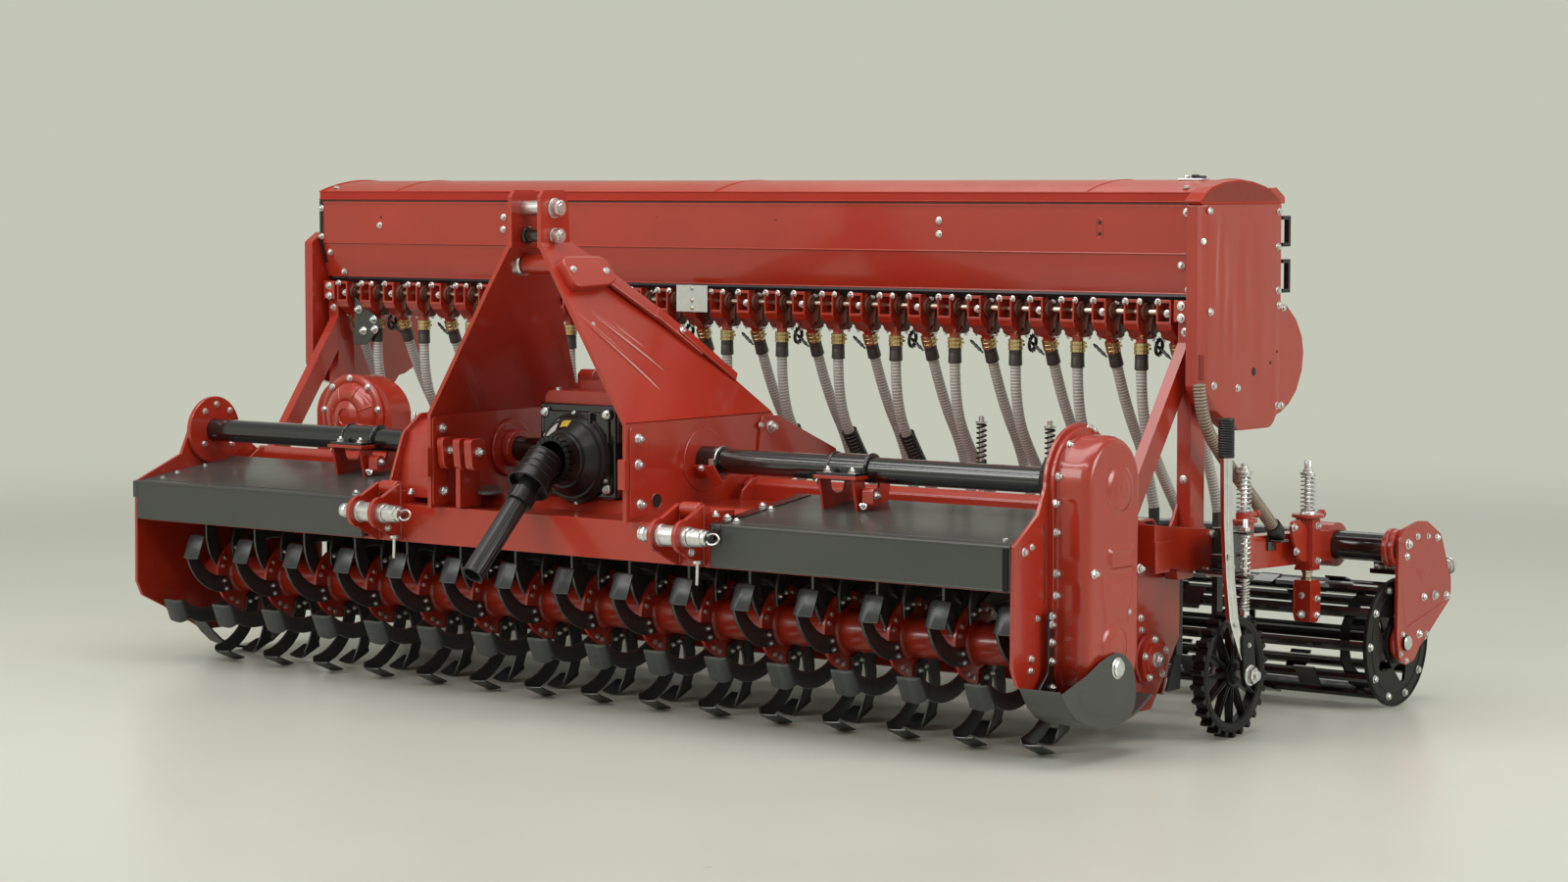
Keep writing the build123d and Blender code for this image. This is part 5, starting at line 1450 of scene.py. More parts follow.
def makeHopperTrim():
    front, rim = hopperLook["front"], hopperLook["rim"]
    bm = bmesh.new()
    half, rear, bend = hopperLook["half"], hopperLook["rear"], hopperLook["bend"]
    addBox(bm, -half, half, front - 0.002, front + 0.0005, rim - 0.0085, rim - 0.0028)
    for y in (front - 0.0006, rear + 0.0006):
        addTube(bm, [at(x, y, bend) for x in evenSteps(-half, half, 24)], 0.0022, 8)
    addBox(bm, -half, half, rear - 0.0005, rear + 0.0035, rim - 0.022, rim - 0.003)
    # the chin's folded foot
    footY, footZ = hopperLook["chinFoot"]
    addTube(bm, [at(x, footY + 0.001, footZ + 0.001) for x in evenSteps(-1.496, 1.496, 24)], 0.003, 8)
    newPiece("hopperHems", bm, red, smooth=50)
    # black strips and sheets in the seams, the side gaps and behind the units: painted shade in the gaps
    bm = bmesh.new()
    addBox(bm, -1.5115, 1.5115, front - 0.0012, front + 0.0005, rim - 0.003, rim + 0.0008)
    for x0, x1 in ((-1.512, -1.4975), (1.4975, 1.512)):
        addPlate(bm, [(front - 0.0015, rim - 0.001), (front - 0.0015, 1.178), (0.496, 1.078), (0.5, 1.08),
                      (front + 0.001, 1.18), (front + 0.001, rim - 0.001)], x0, x1)
    addBox(bm, -1.5, 1.5, 0.552, 0.562, 0.986, 1.0645)
    addPlate(bm, [(0.494, 1.0785), (0.536, 1.0645), (0.56, 1.0645), (0.56, 1.056), (0.5, 1.056),
                  (0.489, 1.072)], -1.49, 1.49)
    newPiece("hopperGapShade", bm, blackPlastic, smooth=30)
    bm = bmesh.new()
    lidEdge, lidRise = hopperLook["lidEdge"], hopperLook["lidRise"]
    for y, z, radius in ((front - 0.001, rim + 0.0044, 0.0021), (front + 0.0006, lidEdge, 0.0022),
                         (rear + 0.001, rim + 0.0042, 0.003)):
        addTube(bm, [at(x, y, z) for x in evenSteps(-1.512, 1.512, 24)], radius, 10)
    arch = [(front + (rear - front) * i / 24, lidEdge + lidRise * (1 - (2 * i / 24 - 1) ** 2))
            for i in range(25)]
    for side in (-1, 1):
        for x, lift, radius in ((1.5095, 0.0004, 0.0028), (1.2, 0.0001, 0.0018), (0.004, 0.0001, 0.0014)):
            addTube(bm, [at(side * x, y, z + lift) for y, z in arch], radius, 8)
    newPiece("lidHems", bm, redSatin, "lid", smooth=50)
    forward, up = (0, -1, 0), (0, 0, 1)
    spots = [(at(x, front - 0.0005, z), forward, 0.0085) for x, z in
             ((0.7501, 1.2562), (0.7502, 1.2213), (-0.7719, 1.2571), (-0.7739, 1.2224), (-1.2641, 1.2302))]
    spots += [(at(x, front - 0.0015, z), forward, 0.0085, 0.004) for x, z in
              ((1.4961, 1.2807), (1.5128, 1.2831), (1.5327, 1.2832), (1.5131, 1.1958), (-1.504, 1.28),
               (-1.504, 1.196))]
    spots += [(at(x, chinAt(z) - 0.001, z), (0, -1, -0.3), 0.009, 0.003) for x, z in
              ((1.486, 1.0892), (-1.4377, 1.0922), (1.477, 1.15), (-1.477, 1.15))]
    spots += [(at(x, rear + 0.0035, 1.2885), (0, 1, 0), 0.0085) for x in
              (-1.4, -1.0, -0.6, -0.2, 0.2, 0.6, 1.0, 1.4)]
    boltGroup("hopperBolts", spots)
    boltGroup("lidScrews", [(at(x, y, lidEdge + lidRise * (1 - ((y - 0.654) / 0.191) ** 2)), up, 0.009, 0.0)
                            for x in (-1.475, 1.475) for y in (0.497, 0.808)], "lid")
    # a latch on the lid's right end, with its black grip
    bm = bmesh.new()
    addBox(bm, 1.385, 1.455, 0.6, 0.64, 1.359, 1.3645)
    addLathe(bm, [(0, 0), (0.009, 0), (0.009, 0.006), (0.006, 0.009), (0, 0.009)],
             placed(at(1.4, 0.62, 1.364)), 20)
    newPiece("lidLatchPlate", bm, zinc, "lid", bevel=0.0015)
    bm = bmesh.new()
    addRod(bm, at(1.425, 0.607, 1.3685), at(1.425, 0.634, 1.3685), 0.006, 14, 0.002)
    addRod(bm, at(1.445, 0.607, 1.3665), at(1.445, 0.634, 1.3665), 0.005, 14, 0.002)
    newPiece("lidLatchGrip", bm, blackPlastic, "lid", smooth=35)
    # black discs in the hopper's holes and slot: painted shade inside them
    bm = bmesh.new()
    for x, z, r in ((0.2141, 1.2547, 0.0028), (-1.2585, 1.2545, 0.0036), (1.243, 1.2542, 0.0052),
                    (1.243, 1.2259, 0.0052), (-0.2, 1.26, 0.0022)):
        addDisc(bm, r, 0.0004, placed(at(x, front - 0.0001, z), forward), 20)
    newPiece("hopperHoleShade", bm, blackPlastic, smooth=30)
    bm = bmesh.new()
    slot = [around((1.243, 1.2555), 0.0095, math.radians(t)) for t in range(0, 181, 15)]
    slot += [around((1.243, 1.2245), 0.0095, math.radians(t)) for t in range(180, 361, 15)]
    addTube(bm, [at(x, front, z) for x, z in slot], 0.0012, 8, closed=True)
    newPiece("hopperSlotRim", bm, red, smooth=60)
    # rear: toggle catches of the lid and a stiffening swage
    bm, rearRed = bmesh.new(), bmesh.new()
    for x in (-1.1, 0.0, 1.1):
        addBox(bm, x - 0.02, x + 0.02, 0.845, 0.8495, 1.225, 1.275)
        addBox(bm, x - 0.01, x + 0.01, 0.849, 0.856, 1.232, 1.262)
        addTube(bm, [at(x + dx, 0.858, z) for dx, z in ((-0.011, 1.262), (-0.012, 1.29), (-0.008, 1.3),
                                                        (0.008, 1.3), (0.012, 1.29), (0.011, 1.262))],
                0.002, 8)
        addRod(bm, at(x - 0.014, 0.8575, 1.262), at(x + 0.014, 0.8575, 1.262), 0.0035, 12)
    for x0, x1 in ((-1.42, -0.78), (-0.72, -0.04), (0.04, 0.72), (0.78, 1.42)):
        addTube(rearRed, [at(x, 0.844, 1.206) for x in evenSteps(x0, x1, 12)],
                [0.001] + [0.0045] * 11 + [0.001], 10)
    newPiece("lidCatches", bm, zinc, bevel=0.001)
    newPiece("hopperSwage", rearRed, red, smooth=60)
    # blank silver plate with its rivets, hung under the chin
    bm = bmesh.new()
    addBox(bm, -0.1286, -0.0192, 0.4575, 0.459, 1.0025, 1.0755)
    newPiece("blankPlate", bm, platingPale, bevel=0.0005)
    boltGroup("plateRivets", [(at(-0.0739, 0.4575, z), forward, 0.0048) for z in (1.0125, 1.033, 1.0655)],
              material=bronze)


makeHopperTrim()
print("hopper trim ready")

# side covers: pressed pans with a chamfered front fold, wavy sheet, a recessed rear lobe and their screws
pan = {"depth": (1.515, 1.546, 1.56), "front": (0.432, 0.455), "back": 0.8133, "lobeDepth": (1.52, 1.5545)}
rightPan = [(0.432, 1.3, 0.004), (0.8133, 1.3, 0.004), (0.8133, 0.79, 0.03), (0.772, 0.738, 0.05),
            (0.6, 0.738, 0.06), (0.48, 0.795, 0.04), (0.432, 0.85, 0.03)]
leftPan = [(0.432, 1.18, 0.012), (0.478, 1.2087, 0.02), (0.8133, 1.2087, 0.004), (0.8133, 0.79, 0.03),
           (0.772, 0.738, 0.05), (0.6, 0.738, 0.06), (0.48, 0.765, 0.04), (0.432, 0.812, 0.03)]
lobe = [(0.79, 1.051), (0.8183, 1.0505), (0.8563, 1.044), (0.9048, 1.0067), (0.9346, 0.9624),
        (0.9432, 0.9211), (0.9364, 0.8756), (0.9086, 0.8237), (0.871, 0.7918), (0.83, 0.772), (0.79, 0.764)]


def bell(value, middle, width):
    return math.exp(-((value - middle) / width) ** 2)


def wrinkle(y, z):
    # the hand-beaten sheet: upright creases in its front third, a slow swell further back
    sway = 0.006 * math.sin(z * 21.0)
    deep = 0.0034 * bell(y, 0.494 + sway, 0.01) * bell(z, 1.135, 0.085)
    deep += 0.0026 * bell(y, 0.533 - sway * 0.6, 0.012) * bell(z, 1.085, 0.11)
    deep -= 0.0018 * bell(y, 0.513 + sway, 0.013) * bell(z, 1.19, 0.08)
    deep += 0.002 * bell(y, 0.575, 0.012) * bell(z, 1.01, 0.07)
    deep += 0.0022 * bell(y, 0.64 + sway, 0.022) * bell(z, 1.1, 0.13)
    deep += 0.0014 * bell(y, 0.72, 0.03) * bell(z, 0.95, 0.12)
    return deep + 0.0012 * math.sin(y * 24.0) * math.sin(z * 9.0 + 0.6)


def spanAt(loop, z):
    hits = []
    for (ya, za), (yb, zb) in zip(loop, loop[1:] + loop[:1]):
        if (za - z) * (zb - z) <= 0 and abs(za - zb) > 1e-9:
            hits.append(ya + (yb - ya) * (z - za) / (zb - za))
    return min(hits), max(hits)


def makeCover(side, name, corners):
    bm = bmesh.new()
    wide = roundedOutline(corners, 6)
    span = (pan["back"] - pan["front"][1]) / (pan["back"] - pan["front"][0])
    tight = [(pan["back"] - (pan["back"] - y) * span, z) for y, z in wide]
    count = len(wide)
    loops = [(pan["depth"][0], wide), (pan["depth"][1], wide), (pan["depth"][2], tight)]
    points = [at(side * x, y, z) for x, loop in loops for y, z in loop]
    faces = sideFaces(count) + sideFaces(count, count)
    faces.append(tuple(range(2 * count, 3 * count)))
    faces.append(tuple(range(count - 1, -1, -1)))
    addFaces(bm, points, faces)
    shell = newPiece(name + "Shell", bm, red, bevel=0.0022, segments=3)
    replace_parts(shell, name)
    # the wavy skin, a hair proud of the pan and dying out towards its edges
    bm = bmesh.new()
    low, high = min(z for y, z in tight) + 0.004, max(z for y, z in tight) - 0.004
    rows = []
    for j in range(73):
        z = low + (high - low) * j / 72
        y0, y1 = spanAt(tight, z)
        y0, y1 = y0 + 0.0035, y1 - 0.0035
        row = []
        for i in range(49):
            y = y0 + (y1 - y0) * i / 48
            fade = min(1.0, i / 3, (48 - i) / 3, j / 3, (72 - j) / 3)
            row.append(bm.verts.new(at(side * (pan["depth"][2] + 0.0003
                                               + max(0.0, (0.0013 + wrinkle(y, z)) * fade)), y, z)))
        rows.append(row)
    addSheet(bm, rows)
    newPiece(name + "Skin", bm, red, smooth=0)
    # rear lobe, a separate pressing behind the pan's edge
    bm = bmesh.new()
    smoothLobe = roundedOutline([(y, z, 0.02 if 0 < i < len(lobe) - 1 else 0)
                                 for i, (y, z) in enumerate(lobe)], 4)
    x0, x1 = sorted((side * pan["lobeDepth"][0], side * pan["lobeDepth"][1]))
    addPlate(bm, smoothLobe, x0, x1)
    newPiece(name + "Lobe", bm, red, bevel=0.003, segments=3)
    # end arch above the pan, closing the lid's end
    if side > 0:
        bm = bmesh.new()
        arch = [(0.4176, 1.306), (0.4481, 1.3283), (0.4832, 1.3444), (0.5365, 1.3559), (0.6086, 1.3612),
                (0.6726, 1.357), (0.7375, 1.3444), (0.7845, 1.3255), (0.8131, 1.3065), (0.8131, 1.3),
                (0.435, 1.3)]
        addPlate(bm, [(y, z, 0.006 if i in (0, 8) else (0.05 if 0 < i < 8 else 0))
                      for i, (y, z) in enumerate(arch)], 1.5135, 1.5595)
        newPiece("coverArch", bm, redSatin, bevel=0.0018, segments=3)
        # the arch's outer panel in the darker red: painted shade on the lid's end
        bm = bmesh.new()
        inner = [(0.432, 1.3075), (0.452, 1.3235), (0.484, 1.3395), (0.5365, 1.3508), (0.6086, 1.3562),
                 (0.6726, 1.3522), (0.7355, 1.34), (0.78, 1.3225), (0.805, 1.3075)]
        addPlate(bm, inner, 1.559, 1.56)
        newPiece("coverArchPaintedShade", bm, redPaintedShade, smooth=30)
        bm = bmesh.new()
        addPlate(bm, [(0.76, 1.34), (0.796, 1.342, 0.006), (0.838, 1.318, 0.006), (0.838, 1.301),
                      (0.812, 1.301)], 1.514, 1.556)
        newPiece("coverArchCorner", bm, red, bevel=0.0015)
    outward = (side, 0, 0)
    face = side * (pan["depth"][2] + 0.0014)
    spots = boltsOn(face, ((0.4879, 0.8554), (0.6015, 0.8447), (0.7979, 0.7915), (0.7969, 1.0826),
                           (0.8012, 1.0453), (0.47, 1.0373)), 0.009, direction=outward)
    if side > 0:
        spots += boltsOn(face, ((0.464, 1.2847), (0.799, 1.2814), (0.795, 1.1928)), 0.0085,
                         direction=outward)
        spots += [(at(side * pan["lobeDepth"][1], 0.446, 1.21), (0.85, -0.5, 0), 0.007)]
    else:
        spots += boltsOn(face, ((0.48, 1.185), (0.795, 1.185)), 0.0085, direction=outward)
    spots += boltsOn(side * pan["lobeDepth"][1], ((0.836, 1.0374), (0.83, 0.7901)), 0.0085,
                     direction=outward)
    boltGroup(name + "Bolts", spots)
    # black discs in the cover's holes: painted shade inside them
    bm = bmesh.new()
    for y, z, ry, rz in ((0.6815, 0.8822, 0.0078, 0.0105), (0.7629, 0.9017, 0.0035, 0.0035),
                         (0.6416, 1.0487, 0.0028, 0.0028), (0.795, 0.928, 0.0025, 0.0025)):
        ring = [at(side * (pan["depth"][2] + 0.003), *around((y, z), ry, math.radians(18 * i), rz))
                for i in range(20)]
        back = [p - Vector((side * 0.004, 0, 0)) for p in ring]
        addFaces(bm, ring + back, [tuple(range(20)), *sideFaces(20)])
    newPiece(name + "HoleShade", bm, blackPlastic, smooth=30)
    # the notch pressed into the front fold, in the darker red: painted shade in its hollow
    bm = bmesh.new()
    fold = Vector((0.85 * side, -0.52, 0)).normalized()
    base = at(side * 1.553, 0.4435, 0.9)
    addBar(bm, base + Vector((0, 0, -0.03)) - fold * 0.001, base + Vector((0, 0, 0.034)) - fold * 0.001,
           fold, 0.016, 0.005)
    newPiece(name + "NotchPaintedShade", bm, redPaintedShade, bevel=0.002)


makeCover(1, "side_cover_right", rightPan)
makeCover(-1, "side_cover_left", leftPan)
print("side covers ready")

# metering units: a glossy red frame in front, a brown housing behind it and the outlet with its clip and cuff
unit = {"half": 0.0215, "wall": 0.0055, "top": 1.064, "sill": 1.006, "front": 0.468, "neckY": 0.52,
        "outletZ": 0.98, "lean": 22.0, "clip": (-0.026, -0.056), "cuff": (-0.06, -0.094),
        "clipRadius": 0.019, "cuffRadius": 0.0172, "hubRadius": 0.024, "shaftY": 0.5, "shaftZ": 1.032}


def addSection(bm, levels):
    # rectangles stacked from the top down: (z, x0, x1, y0, y1)
    points = [at(x, y, z) for z, x0, x1, y0, y1 in levels
              for x, y in ((x0, y0), (x1, y0), (x1, y1), (x0, y1))]
    faces = [(3, 2, 1, 0), tuple(range(len(points) - 4, len(points)))]
    for k in range(len(levels) - 1):
        faces += sideFaces(4, 4 * k)
    addFaces(bm, points, faces)


def makeUnits():
    frames, housings, clips, cuffs, necks = [bmesh.new() for _ in range(5)]
    zincBits, blackBits, collars = [], bmesh.new(), bmesh.new()
    half, wall, top, sill, front = unit["half"], unit["wall"], unit["top"], unit["sill"], unit["front"]
    cheek = [(front, top), (front, sill + 0.006, 0.004), (front + 0.004, sill - 0.012, 0.012),
             (0.5, 0.97, 0.01), (0.54, 0.97, 0.01), (0.56, 1.0, 0.02), (0.566, top)]
    for index, x in enumerate(unitX):
        even = index % 2 == 0
        lean = math.radians(unit["lean"] if even else 0)
        for x0 in (x - half, x + half - wall):
            addPlate(frames, cheek, x0, x0 + wall, 5)
        addBox(frames, x - half, x + half, front, front + 0.008, sill - 0.004, sill + 0.004)
        addSection(frames, [(sill, x - half + 0.001, x + half - 0.001, front + 0.001, 0.52),
                            (sill - 0.018, x - half + 0.002, x + half - 0.002, front + 0.008, 0.535),
                            (0.972, x - 0.0165, x + 0.0165, 0.499, 0.54),
                            (0.962, x - 0.014, x + 0.014, 0.506, 0.534)])
        addBox(frames, x - half, x + half, 0.476, 0.483, 1.0555, top)
        addCollar(frames, x - half + wall, x + half - wall, (0.532, 1.036), 0.027, 0.0, 0.002, 24)
        addSection(housings, [(top, x - 0.032, x + 0.044, 0.514, 0.572),
                              (1.03, x - 0.032, x + 0.044, 0.504, 0.572),
                              (1.002, x - 0.031, x + 0.042, 0.5, 0.566),
                              (0.984, x - 0.025, x + 0.033, 0.502, 0.556),
                              (0.972, x - 0.018, x + 0.023, 0.505, 0.546),
                              (0.966, x - 0.015, x + 0.015, 0.506, 0.536)])
        addCollar(housings, x + half - 0.001, x + 0.031, (unit["shaftY"], unit["shaftZ"]),
                  unit["hubRadius"], 0.0, 0.003, 28)
        addCollar(housings, x + 0.031, x + 0.034, (unit["shaftY"], unit["shaftZ"]), 0.0165, 0.0, 0.001, 24)
        addSection(housings, [(0.976, x - 0.033, x + 0.036, 0.51, 0.534),
                              (0.97, x - 0.033, x + 0.036, 0.51, 0.534),
                              (0.964, x - 0.026, x + 0.029, 0.512, 0.532)])
        addPlate(housings, [(0.504, 1.0), (0.496, 0.986, 0.004), (0.506, 0.972, 0.004), (0.52, 0.972)],
                 x + 0.0375, x + 0.0415)
        place = at(x, unit["neckY"], unit["outletZ"])
        turn = Matrix.Translation(place) @ Matrix.Rotation(lean, 4, "X")
        addLathe(necks, [(0.0, 0.006), (0.0175, 0.006), (0.017, -0.006), (0.0145, -0.014),
                         (0.0145, -0.0275), (0.0, -0.0275)], turn, 24)
        addLathe(necks, [(0.015, -0.01), (0.0185, -0.011), (0.0185, -0.0145), (0.015, -0.0155)], turn, 24,
                 closed=True)
        z0, z1 = unit["clip"]
        rings, ridges = [], 20
        levels = [(z0, 0.88), (z0 - 0.0015, 1.0), (z0 - 0.0085, 1.0), (z0 - 0.0098, 0.92),
                  (z0 - 0.0112, 1.0), (z0 - 0.019, 1.0), (z0 - 0.0203, 0.92), (z0 - 0.0217, 1.0),
                  (z1 + 0.0015, 1.0), (z1, 0.88)]
        for z, share in levels:
            ring = []
            for k in range(ridges * 2):
                radius = unit["clipRadius"] * share * (1.0 if k % 2 else 0.955)
                angle = math.pi * k / ridges
                ring.append(clips.verts.new(turn @ Vector((radius * math.cos(angle),
                                                           radius * math.sin(angle), z))))
            rings.append(ring)
        bridge(clips, rings)
        clips.faces.new(rings[0])
        clips.faces.new(rings[-1][::-1])
        for side in (-1, 1):
            ear = turn @ Vector((side * (unit["clipRadius"] + 0.0015), 0.004, z0 - 0.015))
            addRod(clips, ear + Vector((0, -0.005, 0)), ear + Vector((0, 0.005, 0)), 0.0034, 10)
            ear = turn @ Vector((side * (unit["clipRadius"] + 0.001), 0.004, z0 - 0.006))
            addRod(clips, ear + Vector((0, -0.004, 0)), ear + Vector((0, 0.004, 0)), 0.0026, 10)
        z0, z1 = unit["cuff"]
        r = unit["cuffRadius"]
        addLathe(cuffs, [(0.0, z0 + 0.004), (r - 0.002, z0 + 0.004), (r, z0 + 0.002), (r, z0 - 0.006),
                         (r - 0.0007, z0 - 0.0068), (r - 0.0002, z0 - 0.008), (r + 0.0006, z1 + 0.004),
                         (r + 0.001, z1 + 0.001), (r, z1), (0.0, z1)], turn, 28)
        forward = (0, -1, 0)
        zincBits.append((at(x - half + 0.001, 0.4755, 1.0575), forward, 0.0085, 0.004))
        if even:
            zincBits.append((at(x + 0.006, 0.476, 1.03), forward, 0.0085, 0.003))
            zincBits.append((at(x + half + 0.01, 0.504, 1.054), forward, 0.007, 0.0))
        else:
            zincBits.append((at(x + half - 0.001, 0.4755, 1.058), forward, 0.0075, 0.002))
        for reach in (-0.03, 0.033):
            zincBits.append((at(x + reach, 0.522, 0.965), (0, 0, -1), 0.0055, 0.003))
        addCollar(collars, x - half - 0.014, x - half - 0.003, (unit["shaftY"], unit["shaftZ"]), 0.013, 0.0,
                  0.002, 24)
        addRod(collars, at(x - half - 0.0085, 0.489, 1.0335), at(x - half - 0.0085, 0.481, 1.0335), 0.0036,
               6)
        if index % 4 == 1:
            wheel = at(x + 0.034, 0.548, 0.943)
            ring = [wheel + Vector((0.003 * math.sin(t), 0.015 * math.cos(t), 0.0185 * math.sin(t)))
                    for t in fullTurn(20)]
            addTube(blackBits, ring, 0.0048, 8, closed=True)
            for t in fullTurn(12):
                addRod(blackBits, wheel + Vector((0, 0.017 * math.cos(t), 0.021 * math.sin(t))),
                       wheel + Vector((0, 0.021 * math.cos(t), 0.025 * math.sin(t))), 0.0022, 6)
        if index % 4 in (1, 3):
            path = [at(x + 0.03 + 0.006 * k + 0.0022 * (k % 2), 0.548 - 0.001 * k,
                       0.945 - 0.0042 * k - 0.0018 * (k % 2)) for k in range(8)]
            addTube(blackBits, path, [0.0028, 0.005, 0.0034, 0.0052, 0.0036, 0.005, 0.0032, 0.0022], 8)
    body = newPiece("unitFrames", frames, red, bevel=0.0011)
    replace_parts(body, "metering_units")
    newPiece("unitHousings", housings, housing, bevel=0.0016)
    newPiece("unitNecks", necks, red, smooth=35)
    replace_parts(newPiece("outletClips", clips, clipMetal, slotName="clip_metal", smooth=30), "hose_clips")
    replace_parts(newPiece("outletCuffs", cuffs, cuffPlastic, slotName="cuff_plastic", smooth=35),
                "hose_cuffs")
    newPiece("shaftCollars", collars, zinc, smooth=32)
    newPiece("unitLevers", blackBits, blackPlastic, smooth=40)
    boltGroup("unitBolts", zincBits)


makeUnits()
print("metering units ready")

# posts under the hopper: collars, bolts and the left gusset
def makePostFittings():
    bm = bmesh.new()
    postX = 1.48
    for x in (-postX, postX):
        addBox(bm, x - 0.022, x + 0.022, 0.466, 0.552, 1.01, 1.064)
        addBox(bm, x - 0.026, x + 0.026, 0.482, 0.552, 0.486, 0.5)
    for x0, x1 in ((1.458, 1.466), (-1.466, -1.458)):
        addPlate(bm, [(0.484, 0.505), (0.484, 0.56), (0.45, 0.505)], x0, x1)
    newPiece("postShoes", bm, red, bevel=0.0022)
    bm = bmesh.new()
    corners = [(-1.3966, 1.0158), (-1.3983, 0.8765), (-1.35, 0.876), (-1.295, 0.925), (-1.2982, 0.9533)]
    points = [at(x, y, z) for y in (0.488, 0.493) for x, z in corners]
    addFaces(bm, points, prismFaces(5))
    newPiece("leftGusset", bm, grey, bevel=0.0012)
    forward = (0, -1, 0)
    spots = [(at(x, 0.488, z), forward, 0.011, 0.006) for x, z in
             ((-1.379, 0.9806), (-1.3161, 0.952), (-1.3589, 0.9177), (-1.312, 0.923))]
    spots += [(at(side * postX, 0.466, z), forward, 0.01, 0.0) for side in (-1, 1) for z in (1.05, 1.02)]
    spots += [(at(side * postX, 0.484, z), forward, 0.0095, 0.004) for side in (-1, 1)
              for z in (0.985, 0.62)]
    boltGroup("postBolts", spots)


makePostFittings()
print("posts ready")

# ground wheel with saw-tooth lugs, its bright lever, bracket and springs
wheel = {"x": 1.65, "y": 0.425, "z": 0.158, "radius": 0.158, "ring": (0.121, 0.1435), "half": 0.0165,
         "lugs": 26, "spokes": 12}


def makeGroundWheel():
    middle = at(wheel["x"], wheel["y"], wheel["z"])
    aim = placed(middle, (1, 0, 0))
    bm = bmesh.new()
    low, high, half = wheel["ring"][0], wheel["ring"][1], wheel["half"]
    addLathe(bm, [(low, -half + 0.003), (low + 0.003, -half), (high, -half), (high, half),
                  (low + 0.003, half), (low, half - 0.003), (low - 0.002, half - 0.006),
                  (low - 0.002, -half + 0.006)], aim, 78, closed=True)
    addLathe(bm, [(low + 0.008, half - 0.001), (low + 0.01, half + 0.0012), (high - 0.006, half + 0.0012),
                  (high - 0.004, half - 0.001)], aim, 78, closed=True)
    for a in fullTurn(wheel["lugs"]):
        tooth = [(-0.064, high - 0.004), (-0.06, high + 0.009), (-0.016, wheel["radius"] - 0.0006),
                 (0.03, wheel["radius"] - 0.0006), (0.034, wheel["radius"] - 0.006), (0.044, high - 0.004)]
        points = [middle + Vector((x, r * math.sin(a + t), r * math.cos(a + t))) for x in (-half, half)
                  for t, r in tooth]
        addFaces(bm, points, prismFaces(6))
    for a in fullTurn(wheel["spokes"]):
        along, across = Vector((0, math.sin(a), math.cos(a))), Vector((0, math.cos(a), -math.sin(a)))
        points = [middle + along * r + across * s * w + Vector((x * h, 0, 0))
                  for r, w, h in ((0.028, 0.0075, 0.011), (low + 0.002, 0.005, 0.008)) for s in (-1, 1)
                  for x in (-1, 1)]
        addFaces(bm, points, boxFaces)
        points = [middle + along * r + across * s * 0.0018 + Vector((x, 0, 0)) for r in (0.03, low)
                  for s in (-1, 1) for x in (0.006, 0.0125)]
        addFaces(bm, points, boxFaces)
    addLathe(bm, [(0.0135, -0.026), (0.024, -0.026), (0.026, -0.02), (0.034, -0.016), (0.035, -0.01),
                  (0.035, 0.01), (0.034, 0.015), (0.026, 0.017), (0.025, 0.023), (0.022, 0.026),
                  (0.0135, 0.026)], aim, 40, closed=True)
    body = newPiece("groundWheel", bm, blackSatin, "ground_wheel", bevel=0.001)
    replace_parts(body, "ground_wheel")
    bm = bmesh.new()
    addRod(bm, middle - Vector((0.038, 0, 0)), middle + Vector((0.046, 0, 0)), 0.0115, 24, 0.001)
    newPiece("wheelAxle", bm, zinc, smooth=30, slotName="bright_steel")
    # the bright lever: a bar down from the grip, cranked back to the axle
    bm = bmesh.new()
    bar = [(0.019, 0.7), (0.019, 0.54), (0.019, 0.4), (0.0195, 0.3), (0.0175, 0.262), (0.016, 0.225),
           (0.015, 0.195)]
    middles = [0.325, 0.329, 0.342, 0.36, 0.376, 0.396, 0.412]
    left = [(y - w, z) for y, (w, z) in zip(middles, bar)]
    right = [(y + w, z) for y, (w, z) in zip(middles, bar)]
    addPlate(bm, left + right[::-1], 1.6905, 1.703)
    addPlate(bm, [(y - 0.0055, z) for y, (w, z) in zip(middles[:4], bar)]
             + [(y + 0.0055, z) for y, (w, z) in zip(middles[:4], bar)][::-1], 1.7025, 1.7055)
    body = newPiece("wheelLever", bm, bright, bevel=0.0035, segments=3)
    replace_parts(body, "wheel_lever")
    bm = bmesh.new()
    addPlate(bm, [(0.392, 0.262, 0.014), (0.444, 0.258, 0.016), (0.456, 0.16, 0.022), (0.44, 0.128, 0.014),
                  (0.412, 0.128, 0.012), (0.398, 0.16, 0.02)], 1.696, 1.7085, 6)
    newPiece("leverShoe", bm, blackSatin, bevel=0.0022)
    boltGroup("leverBolts", [(at(1.7085, wheel["y"], wheel["z"]), (1, 0, 0), 0.023, 0.008),
                             (at(1.7085, 0.421, 0.232), (1, 0, 0), 0.0055),
                             (at(1.7055, 0.364, 0.285), (1, 0, 0), 0.005)])
    bm = bmesh.new()
    profile = [(0.0, 0.694), (0.0195, 0.694), (0.0205, 0.698)]
    for i in range(14):
        z = 0.702 + i * 0.006
        profile += [(0.0205, z), (0.0188, z + 0.002), (0.0205, z + 0.004)]
    profile += [(0.02, 0.789), (0.0, 0.79)]
    addLathe(bm, profile, placed(at(1.697, 0.324, 0)), 28)
    body = newPiece("leverGrip", bm, blackPlastic, smooth=40)
    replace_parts(body, "wheel_lever_grip")
